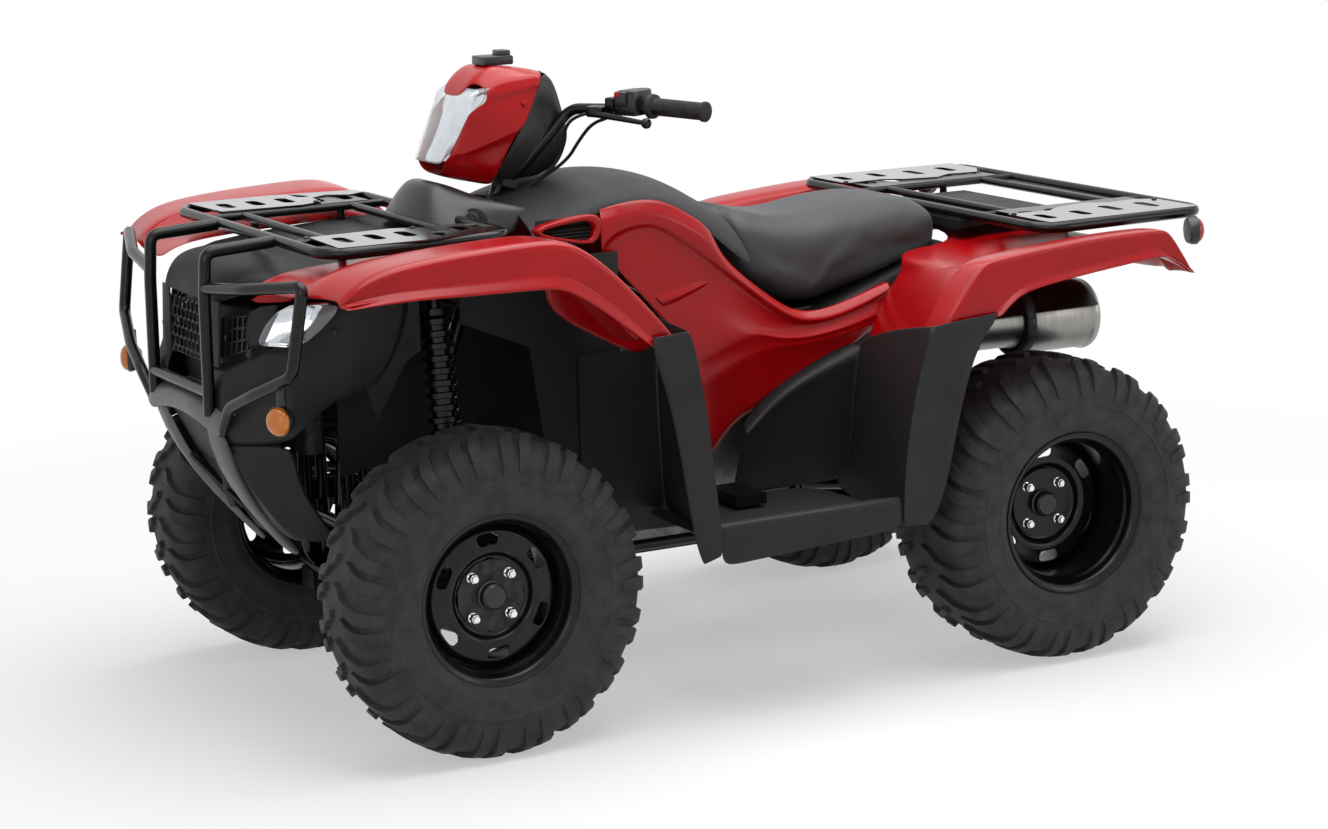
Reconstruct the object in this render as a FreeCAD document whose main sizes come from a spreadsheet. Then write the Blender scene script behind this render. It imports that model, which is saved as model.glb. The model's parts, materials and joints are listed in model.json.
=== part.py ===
import FreeCAD, Part
import math
import os
import Sketcher

# A utility quad bike: solid rear axle on a swing arm, double wishbones in front, steel racks.
# Frame: millimetres, +Z up, front towards -Y, the rider's left towards +X,
# origin on the floor below the middle of the vehicle.

V = FreeCAD.Vector
doc = FreeCAD.newDocument("quad_bike")
sheet = doc.addObject("Spreadsheet::Sheet", "Sizes")

# Driving dimensions

SIZES = {
    # Stance
    "wheelbase": 1295,
    "track": 925,
    # Tyres
    "tyre_radius": 314,
    "lug_depth": 14,
    "lug_width": 44,
    "front_tyre_width": 203,
    "rear_tyre_width": 254,
    "bead_width_gap": 4,
    # Rims
    "flange_radius": 166,
    "bead_radius": 152,
    "flange_width": 5,
    "rim_wall": 4,
    "front_rim_width": 176,
    "rear_rim_width": 230,
    "front_disc_inset": 45,
    "rear_disc_inset": 112,
    "disc_thickness": 6,
    "disc_ring_radius": 82,
    "slot_circle_radius": 113,
    "slot_length": 50,
    "slot_width": 25,
    "centre_cap_radius": 24,
    "centre_cap_length": 30,
    "stud_circle_radius": 55,
    "stud_radius": 9,
    "stud_length": 16,
    # Front hubs, brake discs and knuckles
    "hub_flange_radius": 70,
    "hub_flange_thickness": 10,
    "brake_disc_radius": 92,
    "brake_disc_thickness": 4,
    "brake_disc_offset": 8,
    "hub_neck_radius": 30,
    "spindle_radius": 17,
    "bearing_clearance": 0.5,
    "carrier_radius": 46,
    "carrier_width": 34,
    "kingpin_offset": 67,
    "ball_height": 91,
    "ball_radius": 17,
    "eye_height": 22,
    "eye_bore_gap": 0.4,
    "pin_radius": 8,
    "pin_gap": 2,
    "lug_plate": 13,
    "joint_housing_radius": 34,
    "caliper_height": 76,
    "running_gap": 5,
    "steer_arm_length": 98,
    "steer_arm_inset": 0,
    "steer_arm_thickness": 12,
    "steer_arm_width": 26,
    "steer_arm_rise": 50,
    # Tie rods and steering stem
    "tie_rod_radius": 8,
    "tie_rod_eye_radius": 15,
    "tie_rod_eye_height": 18,
    "stem_foot_rise": 61,
    "stem_foot_back": 47,
    "stem_radius": 15,
    "clamp_height": 1040,
    "clamp_back": 295,
    "pitman_half_gap": 20,
    "pitman_reach": 88,
    "pitman_thickness": 10,
    "pitman_width": 34,
    # Handlebar
    "bar_radius": 11,
    "bar_bend": 40,
    "bar_centre_half": 55,
    "bar_knee_half": 105,
    "bar_knee_sweep": 54,
    "bar_knee_rise": 163,
    "bar_end_half": 392,
    "bar_end_sweep": 183,
    "bar_end_rise": 222,
    "grip_radius": 17,
    "grip_length": 118,
    "grip_flange_radius": 24,
    "grip_flange_length": 6,
    "switch_length": 52,
    "switch_height": 58,
    "switch_depth": 46,
    "lever_length": 150,
    "lever_radius": 7,
    "lever_gap": 62,
    "perch_radius": 18,
    "perch_length": 26,
    "clamp_width": 96,
    "clamp_thickness": 34,
    # Frame
    "frame_tube_radius": 15,
    "frame_bend": 70,
    "frame_half_width": 110,
    "frame_nose": 765,
    "frame_floor": 262,
    "frame_tail": 862,
    "pivot_back": 262,
    "seat_rail_height": 712,
    "head_height": 902,
    "head_back": 330,
    "tower_half": 208,
    "tower_height": 862,
    "tower_ahead": 36,
    "bush_radius": 20,
    "bush_length": 44,
    "nose_post": 120,
    "rail_kick_start": 560,
    "rail_kick_end": 700,
    "tail_rail_height": 828,
    "ear_height": 40,
    "ear_reach": 60,
    "ear_thickness": 6,
    "bearing_wall": 9,
    "bearing_length": 30,
    "low_bearing_rise": 70,
    "high_bearing_rise": 558,
    "skid_wall": 4,
    "skid_lip": 34,
    "skid_width": 219.4,
    # Suspension
    "arm_tube_radius": 12,
    "lower_pivot_half": 150,
    "upper_pivot_half": 150,
    "upper_elbow_half": 330,
    "upper_elbow_spread": 72,
    "upper_bend": 25,
    "arm_spread": 82,
    "pivot_drop": 84,
    "pivot_rise": 104,
    "shock_foot_inset": 100,
    "shock_foot_height": 258,
    "shock_body_radius": 18,
    "spring_radius": 33,
    "spring_wire_radius": 6,
    "spring_pitch": 24,
    "spring_length": 240,
    "rear_spring_length": 168,
    "shock_eye_radius": 18,
    "shock_eye_width": 30,
    "rear_shock_reach": 190,
    "rear_shock_foot": 430,
    "rear_shock_lean": 60,
    "rear_shock_top": 680,
    "seat_gap": 0.3,
    # Front drive
    "diff_radius": 62,
    "diff_width": 140,
    "shaft_radius": 13,
    "boot_radius": 34,
    "boot_length": 62,
    "prop_radius": 12,
    # Rear axle and swing arm
    "axle_radius": 17,
    "axle_tube_radius": 36,
    "axle_tube_half": 292,
    "final_drive_radius": 92,
    "final_drive_width": 104,
    "final_drive_offset": 40,
    "swing_tube_radius": 24,
    "swing_pivot_half": 62,
    "swing_pivot_back": 250,
    "swing_bush_length": 60,
    "swing_pivot_height": 345,
    "rear_hub_radius": 72,
    "rear_hub_thickness": 12,
    "axle_bearing_length": 30,
    "hitch_bore_radius": 9.6,
    "hitch_thickness": 10,
    "hitch_width": 62,
    "hitch_reach": 150,
    "hitch_height": 300,
    # Engine
    "engine_width": 300,
    "engine_length": 400,
    "crankcase_height": 250,
    "engine_back": 20,
    "cylinder_width": 168,
    "cylinder_height": 250,
    "cylinder_lean": 24,
    "fin_count": 7,
    "fin_thickness": 3,
    "fin_reach": 14,
    "cover_radius": 104,
    "cover_depth": 18,
    # Exhaust
    "muffler_radius": 68,
    "muffler_x": 254,
    "muffler_front": 650,
    "muffler_length": 250,
    "muffler_height": 645,
    "muffler_taper": 60,
    "pipe_radius": 19,
    "pipe_bend": 75,
    "pipe_drop": 46,
    "pipe_out": 147,
    # Radiator
    "radiator_half": 150,
    "radiator_ahead": 875,
    "radiator_floor": 556,
    "radiator_height": 220,
    "nose_stay_half": 132,
    "nose_stay_radius": 8,
    "nose_stay_reach": 1010.6,
    "radiator_thickness": 36,
    # Panels
    "panel_wall": 4,
    "nose_length": 1072,
    "half_width": 602,
    "lip_wall": 8,
    "fender_nose": 1000,
    "fender_length": 800,
    "fender_floor": 700,
    "fender_height": 300,
    "fender_inner": 240,
    "fender_step": 425,
    "fender_bed_drop": 40,
    "fender_outer": 589.4,
    "foot_nose": 330,
    "foot_length": 780,
    "foot_floor": 310,
    "foot_height": 480,
    "foot_inner": 258,
    "foot_outer": 597.7,
    "rear_fender_start": 320,
    "rear_fender_length": 620,
    "rear_fender_floor": 730,
    "rear_fender_height": 160,
    "rear_bed_drop": 16,
    "tail_cover_half": 200,
    "tail_cover_start": 622,
    "tail_cover_end": 900,
    "tail_cover_top": 880,
    "flap_drop": 84,
    "flap_back": 30,
    "flap_gap": 66,
    "wall_low": 604,
    "wall_high": 714,
    "rear_bed_half": 520,
    "seat_bay_half": 172,
    "seat_bay_step": 412,
    "seat_bay_end": 640,
    "cover_nose": 390,
    "cover_length": 800,
    "cover_floor": 450,
    "cover_height": 540,
    "cover_inner": 170,
    "cover_outer": 234,
    "tank_nose": 355,
    "tank_length": 465,
    "tank_half": 169.7,
    "tank_floor": 920,
    "tank_height": 116,
    "seat_start": 109.4,
    "seat_length": 505,
    "seat_half": 168,
    "seat_floor": 727.3,
    "seat_height": 240,
    # Nose
    "fascia_nose": 1040,
    "fascia_length": 350,
    "fascia_flank": 880,
    "fascia_floor": 546,
    "fascia_height": 340,
    "fascia_half": 300,
    "grille_half": 112,
    "grille_floor": 735,
    "grille_height": 140,
    "grille_bar": 10,
    "grille_depth": 16,
    "grille_columns": 8,
    "grille_rows": 5,
    "bumper_length": 291.7,
    "bumper_floor": 330,
    "bumper_height": 350,
    "bumper_top_half": 168,
    "bumper_foot_half": 96,
    "guard_tube_radius": 12,
    "guard_bend": 45,
    "guard_half": 462,
    "guard_inner_half": 148,
    "guard_nose": 1060,
    "guard_sweep": 72,
    "guard_floor": 680.3,
    "guard_low_corner": 760,
    "guard_top": 925,
    "guard_crown": 950,
    "guard_knee": 60,
    "guard_return": 143.7,
    "front_rack_half": 400,
    "front_rack_rear_half": 367,
    "front_rack_nose": 905,
    "front_rack_back": 512,
    "front_rack_height": 974,
    "rear_rack_half": 485,
    "rear_rack_rear_half": 466,
    "rear_rack_start": 639,
    "rear_rack_end": 1061,
    "rear_rack_height": 892,
    "rack_tube_radius": 11,
    "rack_bend": 60,
    "rack_plate_thickness": 4,
    "rack_plate_rise": 5,
    "lamp_inner": 160,
    "lamp_width": 160,
    "lamp_floor": 785,
    "lamp_height": 90,
    "lamp_depth": 80,
    "lamp_nose": 1010,
    "signal_half": 405,
    "signal_nose": 1000,
    "signal_height": 678,
    "signal_radius": 28,
    "signal_depth": 40,
    "tail_lamp_half": 509,
    "tail_lamp_post": 469,
    "tail_lamp_back": 985,
    "tail_lamp_height": 860,
    # Pod and console
    "pod_nose": 540,
    "pod_length": 300,
    "pod_floor": 1023,
    "pod_height": 240,
    "pod_half": 112,
    "pod_lamp_half": 84,
    "pod_housing_half": 92,
    "console_nose": 502.3,
    "console_length": 128.7,
    "console_floor": 922,
    "console_height": 108,
    "console_half": 137,
    "guard_liner_nose": 780,
    "guard_liner_length": 560,
    "liner_stay_radius": 6,
    "guard_liner_floor": 470,
    "guard_liner_height": 430,
    "guard_liner_half": 236,
    "peg_inner": 262,
    "peg_outer": 380,
    "peg_start": -40,
    "peg_width": 70,
    "peg_height": 380,
    "peg_thickness": 22,
    "overrun": 2000,
}

CELL_COLUMNS = ("A", "B")


def fill_sheet():
    """Write every driving dimension to a cell of the sheet and give the cell its alias."""
    name_column, value_column = CELL_COLUMNS
    for row, (alias, value) in enumerate(SIZES.items(), start=1):
        sheet.set(f"{name_column}{row}", alias)
        sheet.set(f"{value_column}{row}", str(value))
        sheet.setAlias(f"{value_column}{row}", alias)
    doc.recompute()


class Dimensions:
    """Read a driving dimension from the sheet as an attribute."""

    def __getattr__(self, alias):
        return float(sheet.get(alias))


fill_sheet()
dim = Dimensions()

X_AXIS = V(1, 0, 0)
Y_AXIS = V(0, 1, 0)
Z_AXIS = V(0, 0, 1)
ORIGIN = V(0, 0, 0)
LEFT = 1
RIGHT = -1
SIDES = {"left": LEFT, "right": RIGHT}

FRONT_AXLE = V(0, -dim.wheelbase / 2, dim.tyre_radius)
REAR_AXLE = V(0, dim.wheelbase / 2, dim.tyre_radius)

# Outlines and features


def lines(points, closed=True):
    """Straight edges through the points of an outline, given as pairs."""
    count = len(points) if closed else len(points) - 1
    pairs = [(points[i], points[(i + 1) % len(points)]) for i in range(count)]
    return [Part.LineSegment(V(a[0], a[1], 0), V(b[0], b[1], 0)) for a, b in pairs]


def circle(u, v, radius):
    """One full circle of an outline."""
    return [Part.Circle(V(u, v, 0), Z_AXIS, radius)]


def placed(shares, start, span):
    """Turn shares of a piece's own length and height into places along its two directions."""
    return [(start[0] + u * span[0], start[1] + v * span[1]) for u, v in shares]


def new_body(label):
    body = doc.addObject("PartDesign::Body", label)
    body.Label = label
    return body


def add_sketch(body, role, edges, offset=None):
    """Draw an outline on one of the body's own origin planes, moved along its normal by an offset."""
    sketch = body.newObject("Sketcher::SketchObject", "Outline")
    plane = next(item for item in body.Origin.OriginFeatures if item.Role == role)
    sketch.AttachmentSupport = (plane, [""])
    sketch.MapMode = "FlatFace"
    if offset is not None:
        sketch.setExpression("AttachmentOffset.Base.z", offset)
    sketch.addGeometry(edges, False)
    count = len(edges)
    if count > 1:
        for i in range(count):
            sketch.addConstraint(Sketcher.Constraint("Coincident", i, 2, (i + 1) % count, 1))
    return sketch


def extrude(body, kind, role, edges, length, offset=None, symmetric=False, reverse=False):
    """Pad or pocket an outline by a length that is an expression of the sheet's sizes."""
    sketch = add_sketch(body, role, edges, offset)
    feature = body.newObject("PartDesign::" + kind, kind)
    feature.Profile = sketch
    feature.setExpression("Length", length)
    feature.SideType = "Symmetric" if symmetric else "One side"
    feature.Reversed = reverse
    return feature


def pad(body, role, edges, length, offset=None, symmetric=False, reverse=False):
    return extrude(body, "Pad", role, edges, length, offset, symmetric, reverse)


def pocket(body, role, edges, length="Sizes.overrun", offset=None, symmetric=True, reverse=False):
    return extrude(body, "Pocket", role, edges, length, offset, symmetric, reverse)


def feature(label, shape):
    """A sub-part whose shape is made from the sheet's values directly."""
    item = doc.addObject("Part::Feature", label)
    item.Label = label
    item.Shape = shape
    return item


def mirrored(shape):
    """The same shape on the other side of the vehicle."""
    return shape.mirror(ORIGIN, X_AXIS)


def both_sides(shape):
    return Part.makeCompound([shape, mirrored(shape)])


def joined(shapes):
    """Join solids into one."""
    return shapes[0].multiFuse(shapes[1:])


def fused(shapes):
    """Join solids into one and remove the edges left between them."""
    return joined(shapes).removeSplitter()


def mirror_pair(label, body, part_name):
    """One node that holds a body and its mirror image as two solids."""
    body.Label = part_name
    twin = doc.addObject("Part::Mirroring", label + "_twin")
    twin.Source = body
    twin.Normal = X_AXIS
    twin.Base = ORIGIN
    pair = doc.addObject("Part::Compound", label)
    pair.Label = label
    pair.Links = [body, twin]
    return pair


def rod(start, end, radius):
    """A straight round bar from one point to another."""
    run = end - start
    return Part.makeCylinder(radius, run.Length, start, run)


def bent_wire(points, bend, closed=False):
    """Straight runs joined by tangent arcs of one bend radius, smaller where a run is short."""
    count = len(points)
    corners = range(count) if closed else range(1, count - 1)
    entries, exits, middles = {}, {}, {}
    for i in corners:
        corner = points[i]
        back = points[i - 1] - corner
        ahead = points[(i + 1) % count] - corner
        half = (math.pi - back.getAngle(ahead)) / 2
        reach = min(bend * math.tan(half), BEND_SHARE * min(back.Length, ahead.Length))
        radius = reach / math.tan(half)
        back.normalize()
        ahead.normalize()
        entries[i] = corner + back * reach
        exits[i] = corner + ahead * reach
        inward = (back + ahead).normalize()
        middles[i] = corner + inward * (radius / math.cos(half) - radius)
    edges = []
    runs = range(count) if closed else range(count - 1)
    for i in runs:
        following = (i + 1) % count
        begin = exits.get(i, points[i])
        finish = entries.get(following, points[following])
        if begin.distanceToPoint(finish) > SEAM_GAP:
            edges.append(Part.LineSegment(begin, finish).toShape())
        if following in entries:
            arc = Part.Arc(entries[following], middles[following], exits[following])
            edges.append(arc.toShape())
    return Part.Wire(edges)


BEND_SHARE = 0.48
SEAM_GAP = 1e-4


def tube(points, radius, bend, closed=False):
    """A round bar bent along a route of points."""
    spine = bent_wire(points, bend, closed)
    first = spine.OrderedEdges[0]
    start = first.valueAt(first.FirstParameter)
    heading = first.tangentAt(first.FirstParameter)
    section = Part.Wire(Part.Circle(start, heading, radius).toShape())
    return spine.makePipeShell([section], True, False)


# A cut through a plate starts one thickness outside it and ends one beyond it
CUT_DEPTHS = 3


def slab(outline, origin, u_axis, v_axis, thickness):
    """A flat plate: an outline of pairs drawn on two directions, thickened along their normal."""
    corners = [origin + u_axis * u + v_axis * v for u, v in outline]
    face = Part.Face(Part.makePolygon(corners + [corners[0]]))
    normal = u_axis.cross(v_axis).normalize()
    return face.extrude(normal * thickness)


def block(low, high):
    """A box between two corners."""
    size = high - low
    return Part.makeBox(size.x, size.y, size.z, low)


def sorted_block(a, b):
    """A box between two corners given in any order."""
    low = V(min(a.x, b.x), min(a.y, b.y), min(a.z, b.z))
    high = V(max(a.x, b.x), max(a.y, b.y), max(a.z, b.z))
    return block(low, high)


def facet_circle(x, radius, count):
    """Corners of a regular polygon about X."""
    angles = [2 * math.pi * k / count for k in range(count)]
    return [V(x, radius * math.sin(a), radius * math.cos(a)) for a in angles]


def facet_band(ring, other):
    """Flat facets between two such polygons."""
    faces = []
    for k in range(len(ring)):
        following = (k + 1) % len(ring)
        quad = [ring[k], ring[following], other[following], other[k]]
        faces.append(Part.Face(Part.makePolygon(quad + [quad[0]])))
    return faces


def closed_solid(faces):
    solid = Part.Solid(Part.Shell(faces))
    if solid.Volume < 0:
        solid.reverse()
    return solid


def faceted_ring(profile, count):
    """A ring about X with flat facets: a closed profile of (x, radius) pairs, turned in steps."""
    rings = [facet_circle(x, r, count) for x, r in profile]
    faces = []
    for i, ring in enumerate(rings):
        faces += facet_band(ring, rings[(i + 1) % len(rings)])
    return closed_solid(faces)


def faceted_turning(profile, count):
    """A full form about X with flat facets, through (x, radius) pairs from one end to the other."""
    rings = [facet_circle(x, r, count) for x, r in profile]
    faces = [Part.Face(Part.makePolygon(ring + [ring[0]])) for ring in (rings[0], rings[-1])]
    for ring, other in zip(rings, rings[1:]):
        faces += facet_band(ring, other)
    return closed_solid(faces)


def lofted(sections):
    """A closed form through straight-sided sections, each a list of points."""
    wires = [Part.makePolygon(points + [points[0]]) for points in sections]
    return Part.makeLoft(wires, True, True)


# Wheels

RING_FACETS = 28
HUB_FACETS = 14
LUG_ANGLE = 2 * math.pi / RING_FACETS
# (share of half width, share of tread radius) along the outside of the carcass
CARCASS_SHARES = [(0.97, 0.75), (0.91, 0.925), (0.60, 0.955)]
# (share of half width, share of lug depth above the carcass) along a lug, from centre to sidewall
LUG_SHARES = [(-0.14, 1.0), (0.60, 1.0), (0.94, 0.3), (1.0, -2.6), (0.9, -2.8), (0.86, -1.2),
              (-0.14, -1.0)]


def tyre_shape(width, rim_width):
    """A carcass over the rim's bead seats with two rows of staggered lugs fused to it."""
    half = width / 2
    bead_half = rim_width / 2 - dim.flange_width - dim.seat_gap
    outside = [(half * u, dim.tyre_radius * v) for u, v in CARCASS_SHARES]
    bead = dim.bead_radius + dim.seat_gap
    profile = [(bead_half, bead), (bead_half, dim.flange_radius + dim.bead_width_gap)]
    profile += outside
    profile += [(-x, r) for x, r in reversed(profile)]
    carcass = faceted_ring(profile, RING_FACETS)
    crown = dim.tyre_radius - dim.lug_depth
    lug_profile = [(half * u, crown + dim.lug_depth * v) for u, v in LUG_SHARES]
    lugs = []
    for k in range(RING_FACETS):
        side = LEFT if k % 2 else RIGHT
        corners = [V(side * x, -dim.lug_width / 2, r) for x, r in lug_profile]
        lug = Part.Face(Part.makePolygon(corners + [corners[0]])).extrude(V(0, dim.lug_width, 0))
        lug.rotate(ORIGIN, X_AXIS, math.degrees(-(2 * k + 1) * LUG_ANGLE / 2))
        lugs.append(lug)
    return carcass.multiFuse(lugs)


SLOT_COUNT = 6
STUD_COUNT = 4
# A slot, a stud or a rack rung sits half a pitch round from the start
SLOT_TURN_SHARE = 0.5


def rim_shape(rim_width, disc_inset):
    """A pressed steel rim: barrel with two flanges, slotted disc, centre cap and lug nuts."""
    half = rim_width / 2
    seat = half - 2 * dim.flange_width
    outer = [(half, dim.flange_radius), (half - dim.flange_width, dim.flange_radius),
             (half - dim.flange_width, dim.bead_radius)]
    inner = [(half, dim.flange_radius - dim.rim_wall), (seat, dim.bead_radius - dim.rim_wall)]
    profile = outer + [(-x, r) for x, r in reversed(outer)]
    profile += [(-x, r) for x, r in inner] + list(reversed(inner))
    barrel = faceted_ring(profile, RING_FACETS)
    disc_x = half - disc_inset
    disc_back = disc_x - dim.disc_thickness
    ring_top = dim.disc_ring_radius - dim.disc_thickness
    dish_radius = ring_top - dim.disc_thickness
    disc = faceted_turning([(disc_back, dim.bead_radius - dim.rim_wall / 2),
                            (disc_x, dim.bead_radius - dim.rim_wall / 2)], RING_FACETS)
    ring = faceted_ring([(disc_x - dim.rim_wall, dim.disc_ring_radius), (disc_x, dim.disc_ring_radius),
                         (disc_x + dim.disc_thickness, ring_top), (disc_x + dim.disc_thickness, dish_radius),
                         (disc_x - dim.rim_wall, dish_radius)], HUB_FACETS)
    cap_face = (disc_x + dim.centre_cap_length, dim.centre_cap_radius - dim.rim_wall)
    cap = faceted_turning([(disc_back, dim.centre_cap_radius), (disc_x, dim.centre_cap_radius), cap_face],
                          HUB_FACETS)
    cuts = []
    for k in range(SLOT_COUNT):
        reach = dim.slot_length / 2 - dim.slot_width / 2
        slot = block(V(disc_x - 2 * dim.disc_thickness, -reach, dim.slot_circle_radius - dim.slot_width / 2),
                     V(disc_x + dim.disc_thickness, reach, dim.slot_circle_radius + dim.slot_width / 2))
        slot.rotate(ORIGIN, X_AXIS, math.degrees(2 * math.pi * (k + SLOT_TURN_SHARE) / SLOT_COUNT))
        cuts.append(slot)
    body = barrel.multiFuse([disc, ring, cap]).cut(Part.makeCompound(cuts))
    studs = []
    for k in range(STUD_COUNT):
        angle = 2 * math.pi * (k + SLOT_TURN_SHARE) / STUD_COUNT
        centre = V(disc_x, dim.stud_circle_radius * math.sin(angle), dim.stud_circle_radius * math.cos(angle))
        studs.append(hexagon_prism(centre, dim.stud_radius, dim.stud_length))
    return body.multiFuse(studs)


HEXAGON = 6


def hexagon_prism(centre, radius, length):
    """A six-sided nut or head standing out along +X."""
    angles = [2 * math.pi * k / HEXAGON for k in range(HEXAGON)]
    corners = [centre + V(0, radius * math.sin(a), radius * math.cos(a)) for a in angles]
    return Part.Face(Part.makePolygon(corners + [corners[0]])).extrude(V(length, 0, 0))


def wheel_place(side, axle):
    """Where a wheel's own origin lies: its centre, on the axle line."""
    return FreeCAD.Placement(V(side * dim.track / 2, axle.y, axle.z), FreeCAD.Rotation())


def add_front_wheels():
    tyre = tyre_shape(dim.front_tyre_width, dim.front_rim_width)
    rim = rim_shape(dim.front_rim_width, dim.front_disc_inset)
    for name, side in SIDES.items():
        for piece, shape in (("tyre_front_", tyre), ("rim_front_", rim)):
            item = feature(piece + name, shape if side == LEFT else mirrored(shape))
            item.Placement = wheel_place(side, FRONT_AXLE)


def add_rear_wheels():
    tyre = tyre_shape(dim.rear_tyre_width, dim.rear_rim_width)
    rim = rim_shape(dim.rear_rim_width, dim.rear_disc_inset)
    for name, shape in (("tyres_rear", tyre), ("rims_rear", rim)):
        placed_shape = shape.translated(V(dim.track / 2, 0, 0))
        item = feature(name, both_sides(placed_shape))
        item.Placement = FreeCAD.Placement(REAR_AXLE, FreeCAD.Rotation())


def revolve(body, edges):
    """Turn an outline drawn in the XZ plane about the X axis."""
    sketch = add_sketch(body, "XZ_Plane", edges)
    turned = body.newObject("PartDesign::Revolution", "Revolution")
    turned.Profile = sketch
    turned.ReferenceAxis = (sketch, ["H_Axis"])
    return turned


def hub_outline():
    """The turned hub: joint cup, spindle, brake disc, neck and wheel flange, from inside to outside."""
    flange_end = dim.front_rim_width / 2 - dim.front_disc_inset - dim.disc_thickness
    flange_start = flange_end - dim.hub_flange_thickness
    disc_start = dim.brake_disc_offset
    disc_end = disc_start + dim.brake_disc_thickness
    carrier_in = -(dim.running_gap + dim.carrier_width)
    cup_in = -dim.kingpin_offset - dim.joint_housing_radius / 2
    cup_out = carrier_in - dim.running_gap
    return [
        (cup_in, dim.joint_housing_radius / 2), (-dim.kingpin_offset, dim.joint_housing_radius),
        (cup_out, dim.joint_housing_radius), (cup_out, dim.spindle_radius), (0, dim.spindle_radius),
        (0, dim.hub_neck_radius), (disc_start, dim.hub_neck_radius), (disc_start, dim.brake_disc_radius),
        (disc_end, dim.brake_disc_radius), (disc_end, dim.hub_neck_radius),
        (flange_start, dim.hub_neck_radius), (flange_start, dim.hub_flange_radius),
        (flange_end, dim.hub_flange_radius),
    ]


def add_front_hubs():
    shape = faceted_turning(hub_outline(), HUB_FACETS)
    for name, side in SIDES.items():
        item = feature("hub_front_" + name, shape if side == LEFT else mirrored(shape))
        item.Placement = wheel_place(side, FRONT_AXLE)


def knuckle_shape():
    """The left upright: a C that holds both ball pins, the bearing carrier and the steering arm."""
    pin_x = -dim.kingpin_offset
    outer_x = -dim.running_gap
    upright_in = outer_x - dim.carrier_width
    lug_low = dim.ball_height + dim.eye_height / 2 + dim.pin_gap
    lug_high = lug_low + dim.lug_plate
    lug_in = pin_x - dim.ball_radius
    outline = [(outer_x, -lug_high), (outer_x, lug_high), (lug_in, lug_high), (lug_in, lug_low),
               (upright_in, lug_low), (upright_in, -lug_low), (lug_in, -lug_low), (lug_in, -lug_high)]
    plate = slab([(x, z) for x, z in outline], V(0, dim.ball_radius, 0), X_AXIS, Z_AXIS,
                 2 * dim.ball_radius)
    carrier = Part.makeCylinder(dim.carrier_radius, dim.carrier_width, V(upright_in, 0, 0), X_AXIS)
    pins = [rod(V(pin_x, 0, s * lug_low), V(pin_x, 0, s * (dim.ball_height - dim.eye_height / 2)),
                dim.pin_radius) for s in (-1, 1)]
    arm_top = dim.steer_arm_rise
    eye = steer_eye()
    arm_outline = [(outer_x, 0), (outer_x, dim.ball_radius), (eye.x + dim.steer_arm_width / 2, eye.y),
                   (eye.x, eye.y + dim.steer_arm_width / 2), (eye.x - dim.steer_arm_width / 2, eye.y),
                   (upright_in, 0)]
    arm = slab(arm_outline, V(0, 0, arm_top - dim.steer_arm_thickness), X_AXIS, Y_AXIS,
               dim.steer_arm_thickness)
    caliper = block(V(outer_x - dim.steer_arm_thickness, -dim.brake_disc_radius - dim.steer_arm_thickness,
                      -dim.caliper_height / 2),
                    V(dim.brake_disc_offset + dim.brake_disc_thickness + dim.running_gap + dim.rim_wall,
                      -dim.hub_neck_radius - dim.running_gap, dim.caliper_height / 2))
    gap = Part.makeCylinder(dim.brake_disc_radius + dim.running_gap,
                            dim.brake_disc_thickness + 2 * dim.running_gap,
                            V(dim.brake_disc_offset - dim.running_gap, 0, 0), X_AXIS)
    neck = Part.makeCylinder(dim.hub_neck_radius + dim.running_gap, dim.overrun,
                             V(outer_x, 0, 0), X_AXIS)
    bore = Part.makeCylinder(dim.spindle_radius + dim.bearing_clearance, dim.overrun,
                             V(-dim.overrun / 2, 0, 0), X_AXIS)
    holder = caliper.cut(gap).cut(neck)
    body = fused([plate, carrier, arm, holder] + pins)
    return body.cut(bore)


def steer_eye():
    """Where the steering arm's eye lies, seen from the wheel's centre."""
    return V(-dim.kingpin_offset - dim.steer_arm_inset, dim.steer_arm_length, 0)


def add_knuckles():
    for name, side in SIDES.items():
        shape = knuckle_shape()
        item = feature("knuckle_" + name, shape if side == LEFT else mirrored(shape))
        item.Placement = wheel_place(side, FRONT_AXLE)


def add_rear_axle():
    """The solid axle with its two wheel flanges, one turning piece with both rear wheels."""
    body = new_body("rear_axle")
    flange_out = dim.track / 2 + dim.rear_rim_width / 2 - dim.rear_disc_inset - dim.disc_thickness
    flange_in = flange_out - dim.rear_hub_thickness
    half = [(flange_in, dim.axle_radius), (flange_in, dim.rear_hub_radius),
            (flange_out, dim.rear_hub_radius), (flange_out, 0)]
    outline = [(-x, r) for x, r in reversed(half)] + half
    revolve(body, lines(outline))
    body.Placement = FreeCAD.Placement(REAR_AXLE, FreeCAD.Rotation())


add_front_wheels()
add_rear_wheels()
add_front_hubs()
add_knuckles()
add_rear_axle()

# Steering geometry: points along the inclined column

STEM_FOOT = V(0, FRONT_AXLE.y + dim.stem_foot_back, FRONT_AXLE.z + dim.stem_foot_rise)
CLAMP = V(0, FRONT_AXLE.y + dim.clamp_back, dim.clamp_height)
STEM_UP = (CLAMP - STEM_FOOT).normalize()
STEM_BACK = X_AXIS.cross(STEM_UP) * -1


def bar_point(side, half, sweep, rise):
    """A place on the steering, measured from the handlebar clamp: sideways, back and up the column."""
    return CLAMP + X_AXIS * (side * half) + STEM_BACK * sweep + STEM_UP * rise


def pitman_eye(side):
    return STEM_FOOT + X_AXIS * (side * dim.pitman_half_gap) + STEM_BACK * dim.pitman_reach


def knuckle_eye(side):
    """The steering arm's eye in the vehicle's frame, at the height of the tie rod above it."""
    eye = steer_eye()
    rod_height = dim.steer_arm_rise + dim.running_gap + dim.tie_rod_eye_height / 2
    centre = V(side * (dim.track / 2 + eye.x), FRONT_AXLE.y + eye.y, FRONT_AXLE.z + rod_height)
    return centre


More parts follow.
